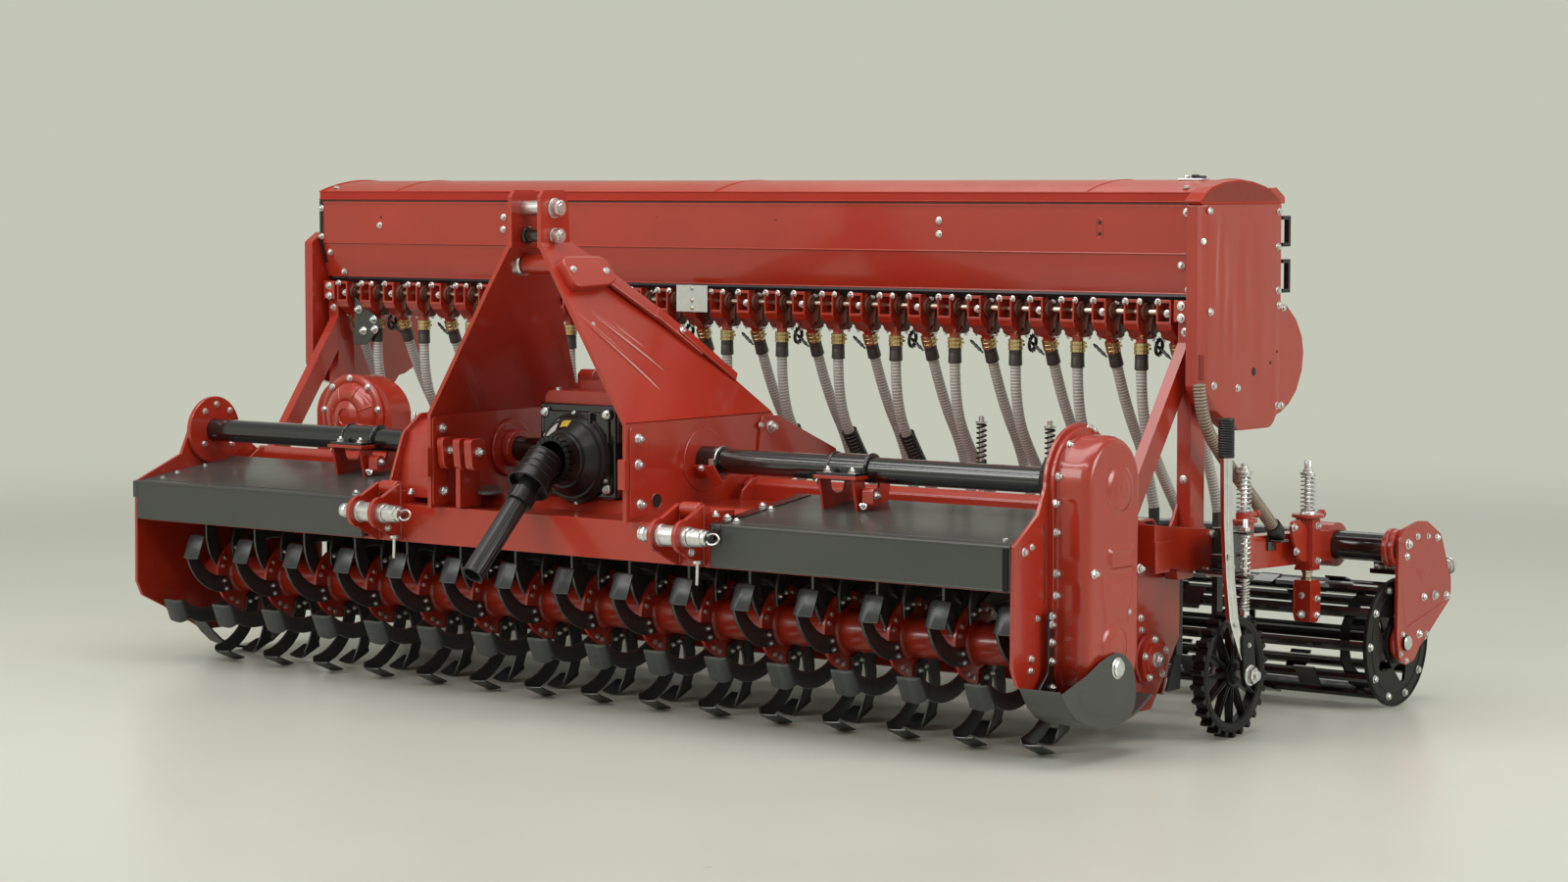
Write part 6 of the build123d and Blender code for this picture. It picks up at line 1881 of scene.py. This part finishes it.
    # open bracket at the end of the arm, its guide rod and spring
    bm = bmesh.new()
    addBox(bm, 1.642, 1.65, 0.402, 0.508, 0.398, 0.516)
    addBox(bm, 1.555, 1.642, 0.498, 0.508, 0.404, 0.506)
    addBox(bm, 1.555, 1.65, 0.418, 0.508, 0.398, 0.405)
    addBox(bm, 1.648, 1.716, 0.394, 0.43, 0.504, 0.511)
    addBox(bm, 1.648, 1.716, 0.394, 0.43, 0.396, 0.403)
    addBox(bm, 1.648, 1.69, 0.342, 0.418, 0.448, 0.458)
    addBox(bm, 1.646, 1.654, 0.396, 0.406, 0.398, 0.516)
    body = newPiece("wheelBracket", bm, black, bevel=0.002)
    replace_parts(body, "wheel_bracket")
    bm = bmesh.new()
    rod = (1.7, 0.412)
    addRod(bm, at(*rod, 0.3), at(*rod, 0.54), 0.0065, 16, 0.001)
    addSpring(bm, at(*rod, 0.404), (0, 0, 1), 0.0125, 0.0021, 9, 0.098)
    addSpring(bm, at(*rod, 0.318), (0, 0, 1), 0.011, 0.0018, 11, 0.078)
    addDisc(bm, 0.013, 0.008, placed(at(*rod, 0.512)), 6)
    addDisc(bm, 0.013, 0.01, placed(at(*rod, 0.306)), 6)
    newPiece("wheelSpring", bm, zinc, smooth=50)
    bm = bmesh.new()
    addRod(bm, at(1.556, 0.47, 0.396), at(1.61, 0.47, 0.396), 0.0095, 18, 0.002)
    addRod(bm, at(1.556, 0.47, 0.396), at(1.564, 0.47, 0.396), 0.0125, 6)
    addBox(bm, 1.5545, 1.558, 0.51, 0.542, 0.408, 0.496)
    newPiece("armEndZinc", bm, zinc, bevel=0.001)
    boltGroup("bracketBolts", [(at(1.556, y, z), (1, 0, 0), 0.0095, 0.0)
                               for y, z in ((0.494, 0.489), (0.512, 0.419))]
              + [(at(1.65, y, z), (1, 0, 0), 0.007)
                 for y, z in ((0.48, 0.418), (0.48, 0.496), (0.436, 0.418))]
              + [(at(1.7055, 0.33, 0.453), (1, 0, 0), 0.0065)])


makeGroundWheel()
print("ground wheel ready")

# levelling screws on both arms: a spring over each, clamp flanges, side lugs and a forked foot
adjuster = {"x": 1.577, "y": 0.932, "spring": (0.5165, 0.612), "coil": 0.0176, "wire": 0.0023, "turns": 10}


def makeAdjusters():
    metal, painted, brown, spots = bmesh.new(), bmesh.new(), bmesh.new(), []
    for side in (-1, 1):
        x, y = side * adjuster["x"], adjuster["y"]
        addSpring(metal, at(x, y, adjuster["spring"][0]), (0, 0, 1), adjuster["coil"], adjuster["wire"],
                  adjuster["turns"], adjuster["spring"][1] - adjuster["spring"][0])
        addLathe(metal, [(0, 0.508), (0.0225, 0.508), (0.0225, 0.512), (0.02, 0.5155), (0, 0.5155)],
                 placed(at(x, y, 0)), 30)
        addLathe(metal, [(0, 0.612), (0.0215, 0.612), (0.0215, 0.615), (0.0135, 0.616), (0.0135, 0.623),
                         (0.01, 0.624), (0.01, 0.644), (0.009, 0.646), (0, 0.646)], placed(at(x, y, 0)), 24)
        addLathe(painted, [(0, 0.499), (0.04, 0.499), (0.0415, 0.501), (0.0415, 0.5065), (0.04, 0.5085),
                           (0, 0.5085)], placed(at(x, y, 0)), 36)
        outer = x + side * 0.022
        x0, x1 = sorted((outer - side * 0.001, outer + side * 0.0045))
        addPlate(painted, [(y - 0.02, 0.496, 0.004), (y + 0.02, 0.496, 0.004), (y + 0.02, 0.372, 0.004),
                           (y - 0.02, 0.372, 0.004)], x0, x1)
        addBox(painted, x - 0.024, x + 0.024, y - 0.024, y + 0.024, 0.364, 0.371)
        addPlate(painted, [(y - 0.112, 0.498, 0.018), (y - 0.06, 0.498, 0.01), (y - 0.02, 0.47, 0.01),
                           (y - 0.02, 0.384, 0.008), (y - 0.06, 0.395, 0.02), (y - 0.085, 0.44, 0.02)],
                 *sorted((x + side * 0.004, x + side * 0.012)))
        addRod(painted, at(x, y + 0.028, 0.503), at(x, y + 0.082, 0.503), 0.0085, 16, 0.001)
        addRod(painted, at(x, y + 0.066, 0.503), at(x, y + 0.078, 0.503), 0.0125, 6, 0.001)
        addBox(painted, x - 0.024, x + 0.024, y - 0.024, y + 0.024, 0.322, 0.3385)
        for half in (-1, 1):
            addPlate(painted, [(y - 0.026, 0.33, 0.004), (y + 0.026, 0.33, 0.004), (y + 0.026, 0.25, 0.01),
                               (y + 0.01, 0.23, 0.008), (y - 0.016, 0.23, 0.008), (y - 0.026, 0.25, 0.01)],
                     *sorted((x + half * 0.0215, x + half * 0.0255)))
        addLathe(brown, [(0, 0.338), (0.0165, 0.338), (0.0165, 0.343), (0.0125, 0.345), (0.0125, 0.356),
                         (0.015, 0.358), (0.015, 0.366), (0, 0.366)], placed(at(x, y, 0)), 24)
        away = (side, 0, 0)
        spots += [(at(outer + side * 0.0045, y + dy, z), away, 0.009, 0.003)
                  for dy, z in ((0.006, 0.478), (0.008, 0.388))]
        spots += [(at(x + side * 0.0255, y + dy, z), away, 0.009, 0.003)
                  for dy, z in ((0.008, 0.29), (0.006, 0.248))]
        spots += [(at(x + side * 0.012, y + dy, z), away, 0.0095, 0.003)
                  for dy, z in ((-0.09, 0.48), (-0.08, 0.418))]
        spots += [(at(x, y - 0.026, 0.252), (0, -1, 0), 0.01, 0.01),
                  (at(x, y - 0.026, 0.3), (0, -1, 0), 0.008)]
        # the second, shorter screw beside the rear beam
        sx, sy = side * 1.6, 0.574
        addRod(metal, at(sx, sy, 0.44), at(sx, sy, 0.64), 0.0085, 18, 0.001)
        addSpring(metal, at(sx, sy, 0.54), (0, 0, 1), 0.0172, 0.0023, 10, 0.098)
        addLathe(metal, [(0, 0.638), (0.0215, 0.638), (0.0215, 0.641), (0.013, 0.642), (0.013, 0.651),
                         (0.008, 0.652), (0.008, 0.66), (0, 0.66)], placed(at(sx, sy, 0)), 24)
        addLathe(painted, [(0, 0.514), (0.033, 0.514), (0.0345, 0.516), (0.0345, 0.521), (0.033, 0.523),
                           (0.02, 0.523), (0.02, 0.539), (0, 0.539)], placed(at(sx, sy, 0)), 32)
        addRod(painted, at(sx, sy + 0.024, 0.531), at(sx, sy + 0.072, 0.531), 0.0075, 14, 0.001)
        addRod(painted, at(sx, sy + 0.056, 0.531), at(sx, sy + 0.068, 0.531), 0.011, 6, 0.001)
        x0, x1 = sorted((side * 1.555, sx + side * 0.018))
        addBox(painted, x0, x1, sy - 0.02, sy + 0.02, 0.43, 0.5145)
        x0, x1 = sorted((side * 1.512, side * 1.548))
        addPlate(painted, [(0.345, 0.412), (0.425, 0.412), (0.42, 0.386, 0.008), (0.35, 0.386, 0.008)], x0,
                 x1)
        for y0, y1 in ((0.232, 0.3), (0.56, 0.6), (0.9, 0.96)):
            addBox(painted, *sorted((side * 1.5545, side * 1.5575)), y0, y1, 0.412, 0.488)
    newPiece("adjusterSprings", metal, zinc, smooth=45)
    newPiece("adjusterFittings", painted, red, bevel=0.0015)
    newPiece("adjusterSpindles", brown, bronze, smooth=35)
    boltGroup("adjusterBolts", spots)


makeAdjusters()
print("levelling screws ready")

# roller: end plate bolts and pressings, disc rims, hubs and scrapers
roller = {"y": 1.147, "z": 0.167, "face": 1.722, "plate": 1.748, "radius": 0.167,
          "frameTube": (1.13, 0.412)}


def makeRollerFittings():
    spots, discBolts = [], []
    pressed, rims, hub, dark, tubeRings = [bmesh.new() for _ in range(5)]
    for side in (-1, 1):
        away = (side, 0, 0)
        face = side * roller["plate"]
        for y, z, size in ((1.152, 0.423, 0.0125), (1.203, 0.439, 0.0085), (1.262, 0.435, 0.0075),
                           (1.311, 0.428, 0.0095), (1.146, 0.391, 0.009), (1.24, 0.278, 0.0095),
                           (1.3, 0.277, 0.0115), (1.366, 0.27, 0.011), (1.216, 0.183, 0.0105),
                           (1.258, 0.178, 0.0085), (1.13, 0.19, 0.007), (1.118, 0.14, 0.007),
                           (1.15, 0.12, 0.007)):
            spots.append((at(face, y, z), away, size, 0.003 if size > 0.009 else 0.0))
        addRod(rims, at(face, roller["y"], roller["z"]), at(face + side * 0.01, roller["y"], roller["z"]),
               0.0195, 28, 0.003)
        # triangle and diagonal crease pressed into the plate
        tri = [(1.2, 0.352), (1.283, 0.352), (1.241, 0.306)]
        points = [at(face + side * 0.0002, y, z) for y, z in tri]
        middle = at(face + side * 0.0045, 1.241, 0.336)
        addFaces(pressed, points + [middle], [(0, 1, 3), (1, 2, 3), (2, 0, 3)])
        crease = [at(face - side * 0.0012, 1.148 + 0.21 * k / 14, 0.205 + 0.048 * k / 14)
                  for k in range(15)]
        addTube(pressed, crease, [0.0012] + [0.004] * 13 + [0.0012], 12)
        outline = [(1.14, 0.465), (1.204, 0.477), (1.258, 0.473), (1.333, 0.434), (1.367, 0.361),
                   (1.39, 0.315), (1.39, 0.262), (1.215, 0.145), (1.19, 0.118), (1.15, 0.11),
                   (1.115, 0.125), (1.1, 0.185), (1.104, 0.438)]
        loop = roundedOutline([(y, z, 0.02) for y, z in outline], 5)
        addTube(pressed, [at(face - side * 0.001, y, z) for y, z in loop], 0.0022, 8, closed=True)
        # big screw with washers at the rear edge, and the plate's drum round the frame tube
        base = at(side * 1.728, 1.392, 0.343)
        for reach, radius, sides in ((0.0, 0.013, 24), (0.01, 0.018, 24), (0.02, 0.023, 30),
                                     (0.028, 0.017, 6)):
            addRod(rims, base + Vector((0, reach, 0)), base + Vector((0, reach + 0.0075, 0)), radius, sides,
                   0.001)
        addCollar(pressed, *sorted((side * 1.706, side * 1.724)), roller["frameTube"], 0.052, 0.038, 0.004,
                  40)
        addCollar(dark, *sorted((side * 1.724, side * 1.729)), roller["frameTube"], 0.049, 0.038, 0.001, 40)
        addCollar(pressed, *sorted((side * 1.724, side * 1.7375)), (roller["y"], roller["z"]), 0.046,
                  0.0215, 0.003, 36)
        # scraper clamp below the frame tube
        cx = side * 1.65
        addBox(dark, cx - 0.036, cx + 0.036, 1.196, 1.25, 0.335, 0.348)
        addBox(dark, cx - 0.03, cx + 0.03, 1.206, 1.244, 0.344, 0.368)
        addRod(dark, at(cx - 0.04, 1.222, 0.372), at(cx + 0.04, 1.222, 0.372), 0.0105, 16, 0.002)
        addRod(dark, at(cx, 1.222, 0.36), at(cx, 1.222, 0.398), 0.01, 16, 0.002)
        addBar(dark, at(cx, 1.23, 0.35), at(cx, 1.166, 0.392), (1, 0, 0), 0.016, 0.024)
        spots += [(at(cx + dx, 1.206, 0.352), (0, -1, 0), 0.0085, 0.003) for dx in (-0.02, 0.0, 0.02)]
        # on the turning disc: rim, swage rings and the bolts of the bars
        disc = placed(at(side * roller["face"], roller["y"], roller["z"]), away)
        rim = roller["radius"]
        for r0, r1, lift in ((rim - 0.0075, rim - 0.001, 0.002), (0.131, 0.135, 0.0012),
                             (0.052, 0.056, 0.0022)):
            addLathe(hub, [(r0, -0.001), (r0 + 0.001, lift), (r1 - 0.001, lift), (r1, -0.001)], disc, 64,
                     closed=True)
        addLathe(hub, [(0.0215, -0.001), (0.0215, 0.0012), (0.044, 0.0012), (0.05, -0.001)], disc, 48,
                 closed=True)
        for k in range(10):
            turn = math.radians(36 * k + 18)
            place = at(side * roller["face"], roller["y"] + 0.144 * math.sin(turn),
                       roller["z"] + 0.144 * math.cos(turn))
            discBolts.append((place, away, 0.0095, 0.0))
    newPiece("rollerPlateTrim", pressed, red, bevel=0.0012)
    newPiece("rollerScrews", rims, zinc, smooth=30)
    newPiece("rollerDark", dark, black, bevel=0.0012)
    newPiece("rollerDiscTrim", hub, blackSatin, "roller", smooth=35)
    boltGroup("rollerPlateBolts", spots)
    boltGroup("rollerDiscBolts", discBolts, "roller")
    # welded bands along the frame tube
    for side in (-1, 1):
        for x in (0.2, 0.62, 1.04, 1.46):
            addCollar(tubeRings, *sorted((side * x, side * (x + 0.03))), roller["frameTube"], 0.04, 0.0378,
                      0.001, 40)
    newPiece("rollerTubeBands", tubeRings, black, smooth=35)
    # curved carriers between the bars, on the turning cage
    carriers = bmesh.new()
    for k, x in enumerate((-1.53, -1.36, -1.18, -0.99, -0.8, -0.61, -0.42, -0.22, 0.0, 0.22, 0.42, 0.61,
                           0.8, 0.99, 1.18, 1.36, 1.53)):
        for step in range(0, 10, 2):
            turn = math.radians(36 * (step + k % 2) + 18)
            path = [(turn + math.radians(-12 + 4 * j), 0.156 - 0.003 * math.cos((j - 3) / 3 * math.pi / 2))
                    for j in range(7)]
            for (ta, ra), (tb, rb) in zip(path, path[1:]):
                points = [at(x + dx, roller["y"] + (r + dr) * math.sin(t),
                             roller["z"] + (r + dr) * math.cos(t)) for dx in (-0.03, 0.03)
                          for t, r in ((ta, ra), (tb, rb)) for dr in (-0.0025, 0.0025)]
                addFaces(carriers, points, boxFaces)
    bmesh.ops.remove_doubles(carriers, verts=carriers.verts, dist=0.00002)
    newPiece("rollerCarriers", carriers, black, "roller", smooth=35)


makeRollerFittings()
print("roller fittings ready")

# round rate gearbox at the left, seed tube boots and the extra hose at the right
def makeRateBox():
    bm = bmesh.new()
    boxX, boxZ = -1.165, 0.684
    aim = placed(at(boxX, 0.25, boxZ), (0, -1, 0))
    addLathe(bm, [(0, -0.01), (0.118, -0.01), (0.122, -0.004), (0.122, 0.006), (0.116, 0.011),
                  (0.104, 0.012), (0.098, 0.01), (0.095, 0.016), (0.086, 0.026), (0.07, 0.033),
                  (0.05, 0.036), (0.046, 0.034), (0.042, 0.036), (0.024, 0.04), (0.022, 0.037), (0, 0.038)],
             aim, 64)
    for turn in (20, 65, 115, 160, 205, 250, 295, 340):
        t = math.radians(turn)
        addTube(bm, [aim @ Vector((r * math.cos(t), r * math.sin(t), h))
                     for r, h in ((0.048, 0.0355), (0.066, 0.0335), (0.084, 0.026), (0.095, 0.016))],
                [0.0012, 0.0035, 0.004, 0.002], 10)
    addBox(bm, -1.33, -1.0, 0.246, 0.334, 0.533, 0.545)
    addPlate(bm, [(0.408, 0.7), (0.408, 0.54), (0.47, 0.54)], -1.2, -1.192)
    newPiece("rateBoxFace", bm, red, smooth=38)
    ring = [around((boxX, boxZ), 0.11, math.radians(t)) for t in range(12, 360, 40)]
    spots = [(at(x, 0.2385, z), (0, -1, 0), 0.009) for x, z in ring]
    spots += [(at(x, 0.29, 0.545), (0, 0, 1), 0.0085) for x in (-1.322, -1.008)]
    boltGroup("rateBoxBolts", spots)
    bm = bmesh.new()
    for index in (17, 19, 21, 6):
        x, line = unitX[index], hosePaths[index]
        part = [p for p in line if 0.6 < p.z < 0.69]
        radii = [0.0215 if k % 4 < 2 else 0.019 for k in range(len(part))]
        addTube(bm, part, radii, 20)
    newPiece("hoseBoots", bm, blackPlastic, smooth=38)


extraHose = {"x": 1.574, "radius": 0.0165, "ribDepth": 0.002, "sides": 16,
             "points": [(0.445, 0.862), (0.448, 0.78), (0.512, 0.7), (0.6, 0.625), (0.7, 0.545),
                        (0.772, 0.48)]}


def makeExtraHose():
    line = readRoute([at(extraHose["x"] - 0.028 * (1 - i / 5), y, z)
                      for i, (y, z) in enumerate(extraHose["points"])], "drainHose")
    path, length = evenly(line, hose["ribPitch"] / 3)
    bm = bmesh.new()
    addRibbedTube(bm, path, extraHose["radius"], extraHose["ribDepth"], extraHose["sides"])
    piece = newPiece("drainHose", bm, [drainPlastic, drainGrooveShade], smooth=60)
    bm = bmesh.new()
    end = at(extraHose["x"], *extraHose["points"][-1])
    way = Vector((0, 0.066, -0.054)).normalized()
    addLathe(bm, [(0, -0.018), (0.021, -0.018), (0.0215, -0.014), (0.0215, 0.012), (0.02, 0.016),
                  (0, 0.016)], placed(end, way), 26)
    addRod(bm, end + way * 0.01, end + way * 0.036, 0.015, 20, 0.002)
    newPiece("drainHoseEnd", bm, blackPlastic, smooth=35)
    bm = bmesh.new()
    addBar(bm, at(1.56, 0.784, 0.45), at(extraHose["x"] + 0.022, 0.784, 0.45), (0, 0, 1), 0.04, 0.006)
    addBox(bm, 1.555, 1.56, 0.764, 0.804, 0.424, 0.476)
    newPiece("drainHoseHolder", bm, black, bevel=0.0012)


makeRateBox()
makeExtraHose()
print("rate gearbox and spare hose ready")

softenCad(["side_plates", "hood", "front_beam", "beam_shelf", "front_covers", "headstock_right",
           "headstock_left", "lower_hitch_clevises", "gearbox", "gearbox_plate", "side_arms", "rear_beam",
           "hopper_posts", "hopper_braces", "roller_end_plates", "hopper", "hopper_lid", "seed_bar",
           "depth_adjusters", "cover_handles", "rate_gearbox", "coulter_shoes"])
softenCad(["cross_tubes", "tube_flanges", "rotor_shaft", "bearing_flanges", "mast_spacer",
           "roller_frame_tube", "roller_cage", "lower_hitch_pins", "top_link_pins"], 0.0008)
print("carried-over pieces softened")


# behind the tube: a black sheet for the painted shade inside the hood, the hood's folded ridge, spring rods,
# and the levelling board on its hinges
def makeHoodRear():
    # a black sheet inside the hood for painted shade there, a strap on the cover's end, and spring rods on
    # the rear beam
    bm = bmesh.new()
    lining = [(-0.1, 0.52), (0.322, 0.52), (0.416, 0.434), (0.426, 0.302), (0.428, 0.2),
              (0.423, 0.2), (0.421, 0.3), (0.411, 0.43), (0.32, 0.515), (-0.1, 0.515)]
    for x0, x1 in ((-1.455, -0.735), (-0.725, -0.005), (0.005, 0.725), (0.735, 1.44)):
        addPlate(bm, lining, x0, x1)
    newPiece("hoodPaintedShade", bm, blackSatin, bevel=0.001)
    bm = bmesh.new()
    addPlate(bm, [(-0.293, 0.41, 0.004), (-0.293, 0.514, 0.004), (-0.2885, 0.514, 0.001),
                  (-0.2885, 0.41, 0.001)], 1.4705, 1.486)
    newPiece("coverStrap", bm, blackSatin, bevel=0.0008)
    rods, springs, feet = bmesh.new(), bmesh.new(), bmesh.new()
    beamY = 0.56
    for side in (-1, 1):
        for x, top in ((0.819, 0.748), (1.033, 0.744)):
            addRod(rods, at(side * x, beamY, 0.5), at(side * x, beamY, top), 0.0075, 16, 0.002)
            for z in (top - 0.018, top - 0.128):
                addDisc(rods, 0.016, 0.004, placed(at(side * x, beamY, z)), 20)
            addSpring(springs, at(side * x, beamY, top - 0.124), (0, 0, 1), 0.0125, 0.0022, 9, 0.104)
            addPlate(feet, [(0.538, 0.4895), (0.538, 0.504, 0.003), (0.548, 0.52, 0.004),
                            (0.572, 0.52, 0.004), (0.582, 0.504, 0.003), (0.582, 0.4895)], side * x - 0.022,
                     side * x + 0.022)
    newPiece("linkageRods", rods, zinc, smooth=35)
    newPiece("linkageSprings", springs, blackSatin, smooth=60)
    newPiece("linkageFeet", feet, red, bevel=0.002)
    bm = bmesh.new()
    ridge = [(0.15, 0.534), (0.16, 0.576, 0.016), (0.185, 0.59, 0.014), (0.222, 0.586, 0.014),
             (0.236, 0.57, 0.012), (0.24, 0.534)]
    for x0, x1 in ((-1.486, -0.345), (0.345, 1.452)):
        addPlate(bm, ridge, x0, x1, 6)
        for x in (x0 + 0.03, x1 - 0.04):
            addPlate(bm, [(0.1, 0.534), (0.108, 0.56, 0.006), (0.15, 0.588, 0.008), (0.168, 0.588),
                          (0.168, 0.534)], x, x + 0.008)
    newPiece("hoodRidge", bm, red, bevel=0.002)
    bm = bmesh.new()
    board = [(0.444, 0.33), (0.452, 0.33), (0.468, 0.215), (0.464, 0.14), (0.442, 0.085), (0.436, 0.089),
             (0.456, 0.142), (0.46, 0.214)]
    addPlate(bm, board, -1.452, 1.452)
    for x in (-1.3, -0.78, -0.26, 0.26, 0.78, 1.3):
        addPlate(bm, [(0.452, 0.32), (0.47, 0.3, 0.006), (0.48, 0.215, 0.02), (0.474, 0.15), (0.462, 0.14),
                      (0.466, 0.215)], x - 0.004, x + 0.004)
    newPiece("levellingBoard", bm, red, bevel=0.001)
    bm = bmesh.new()
    hinge = (0.452, 0.336)
    for x in (-1.38, -0.92, -0.46, 0.0, 0.46, 0.92, 1.38):
        addCollar(bm, x - 0.045, x + 0.045, hinge, 0.0085, 0.0, 0.001, 16)
        for dx in (-0.05, 0.05):
            addCollar(bm, x + dx - 0.004, x + dx + 0.004, hinge, 0.011, 0.0, 0.001, 12)
    newPiece("boardHinges", bm, zinc, smooth=30)


makeHoodRear()
print("hood rear ready")
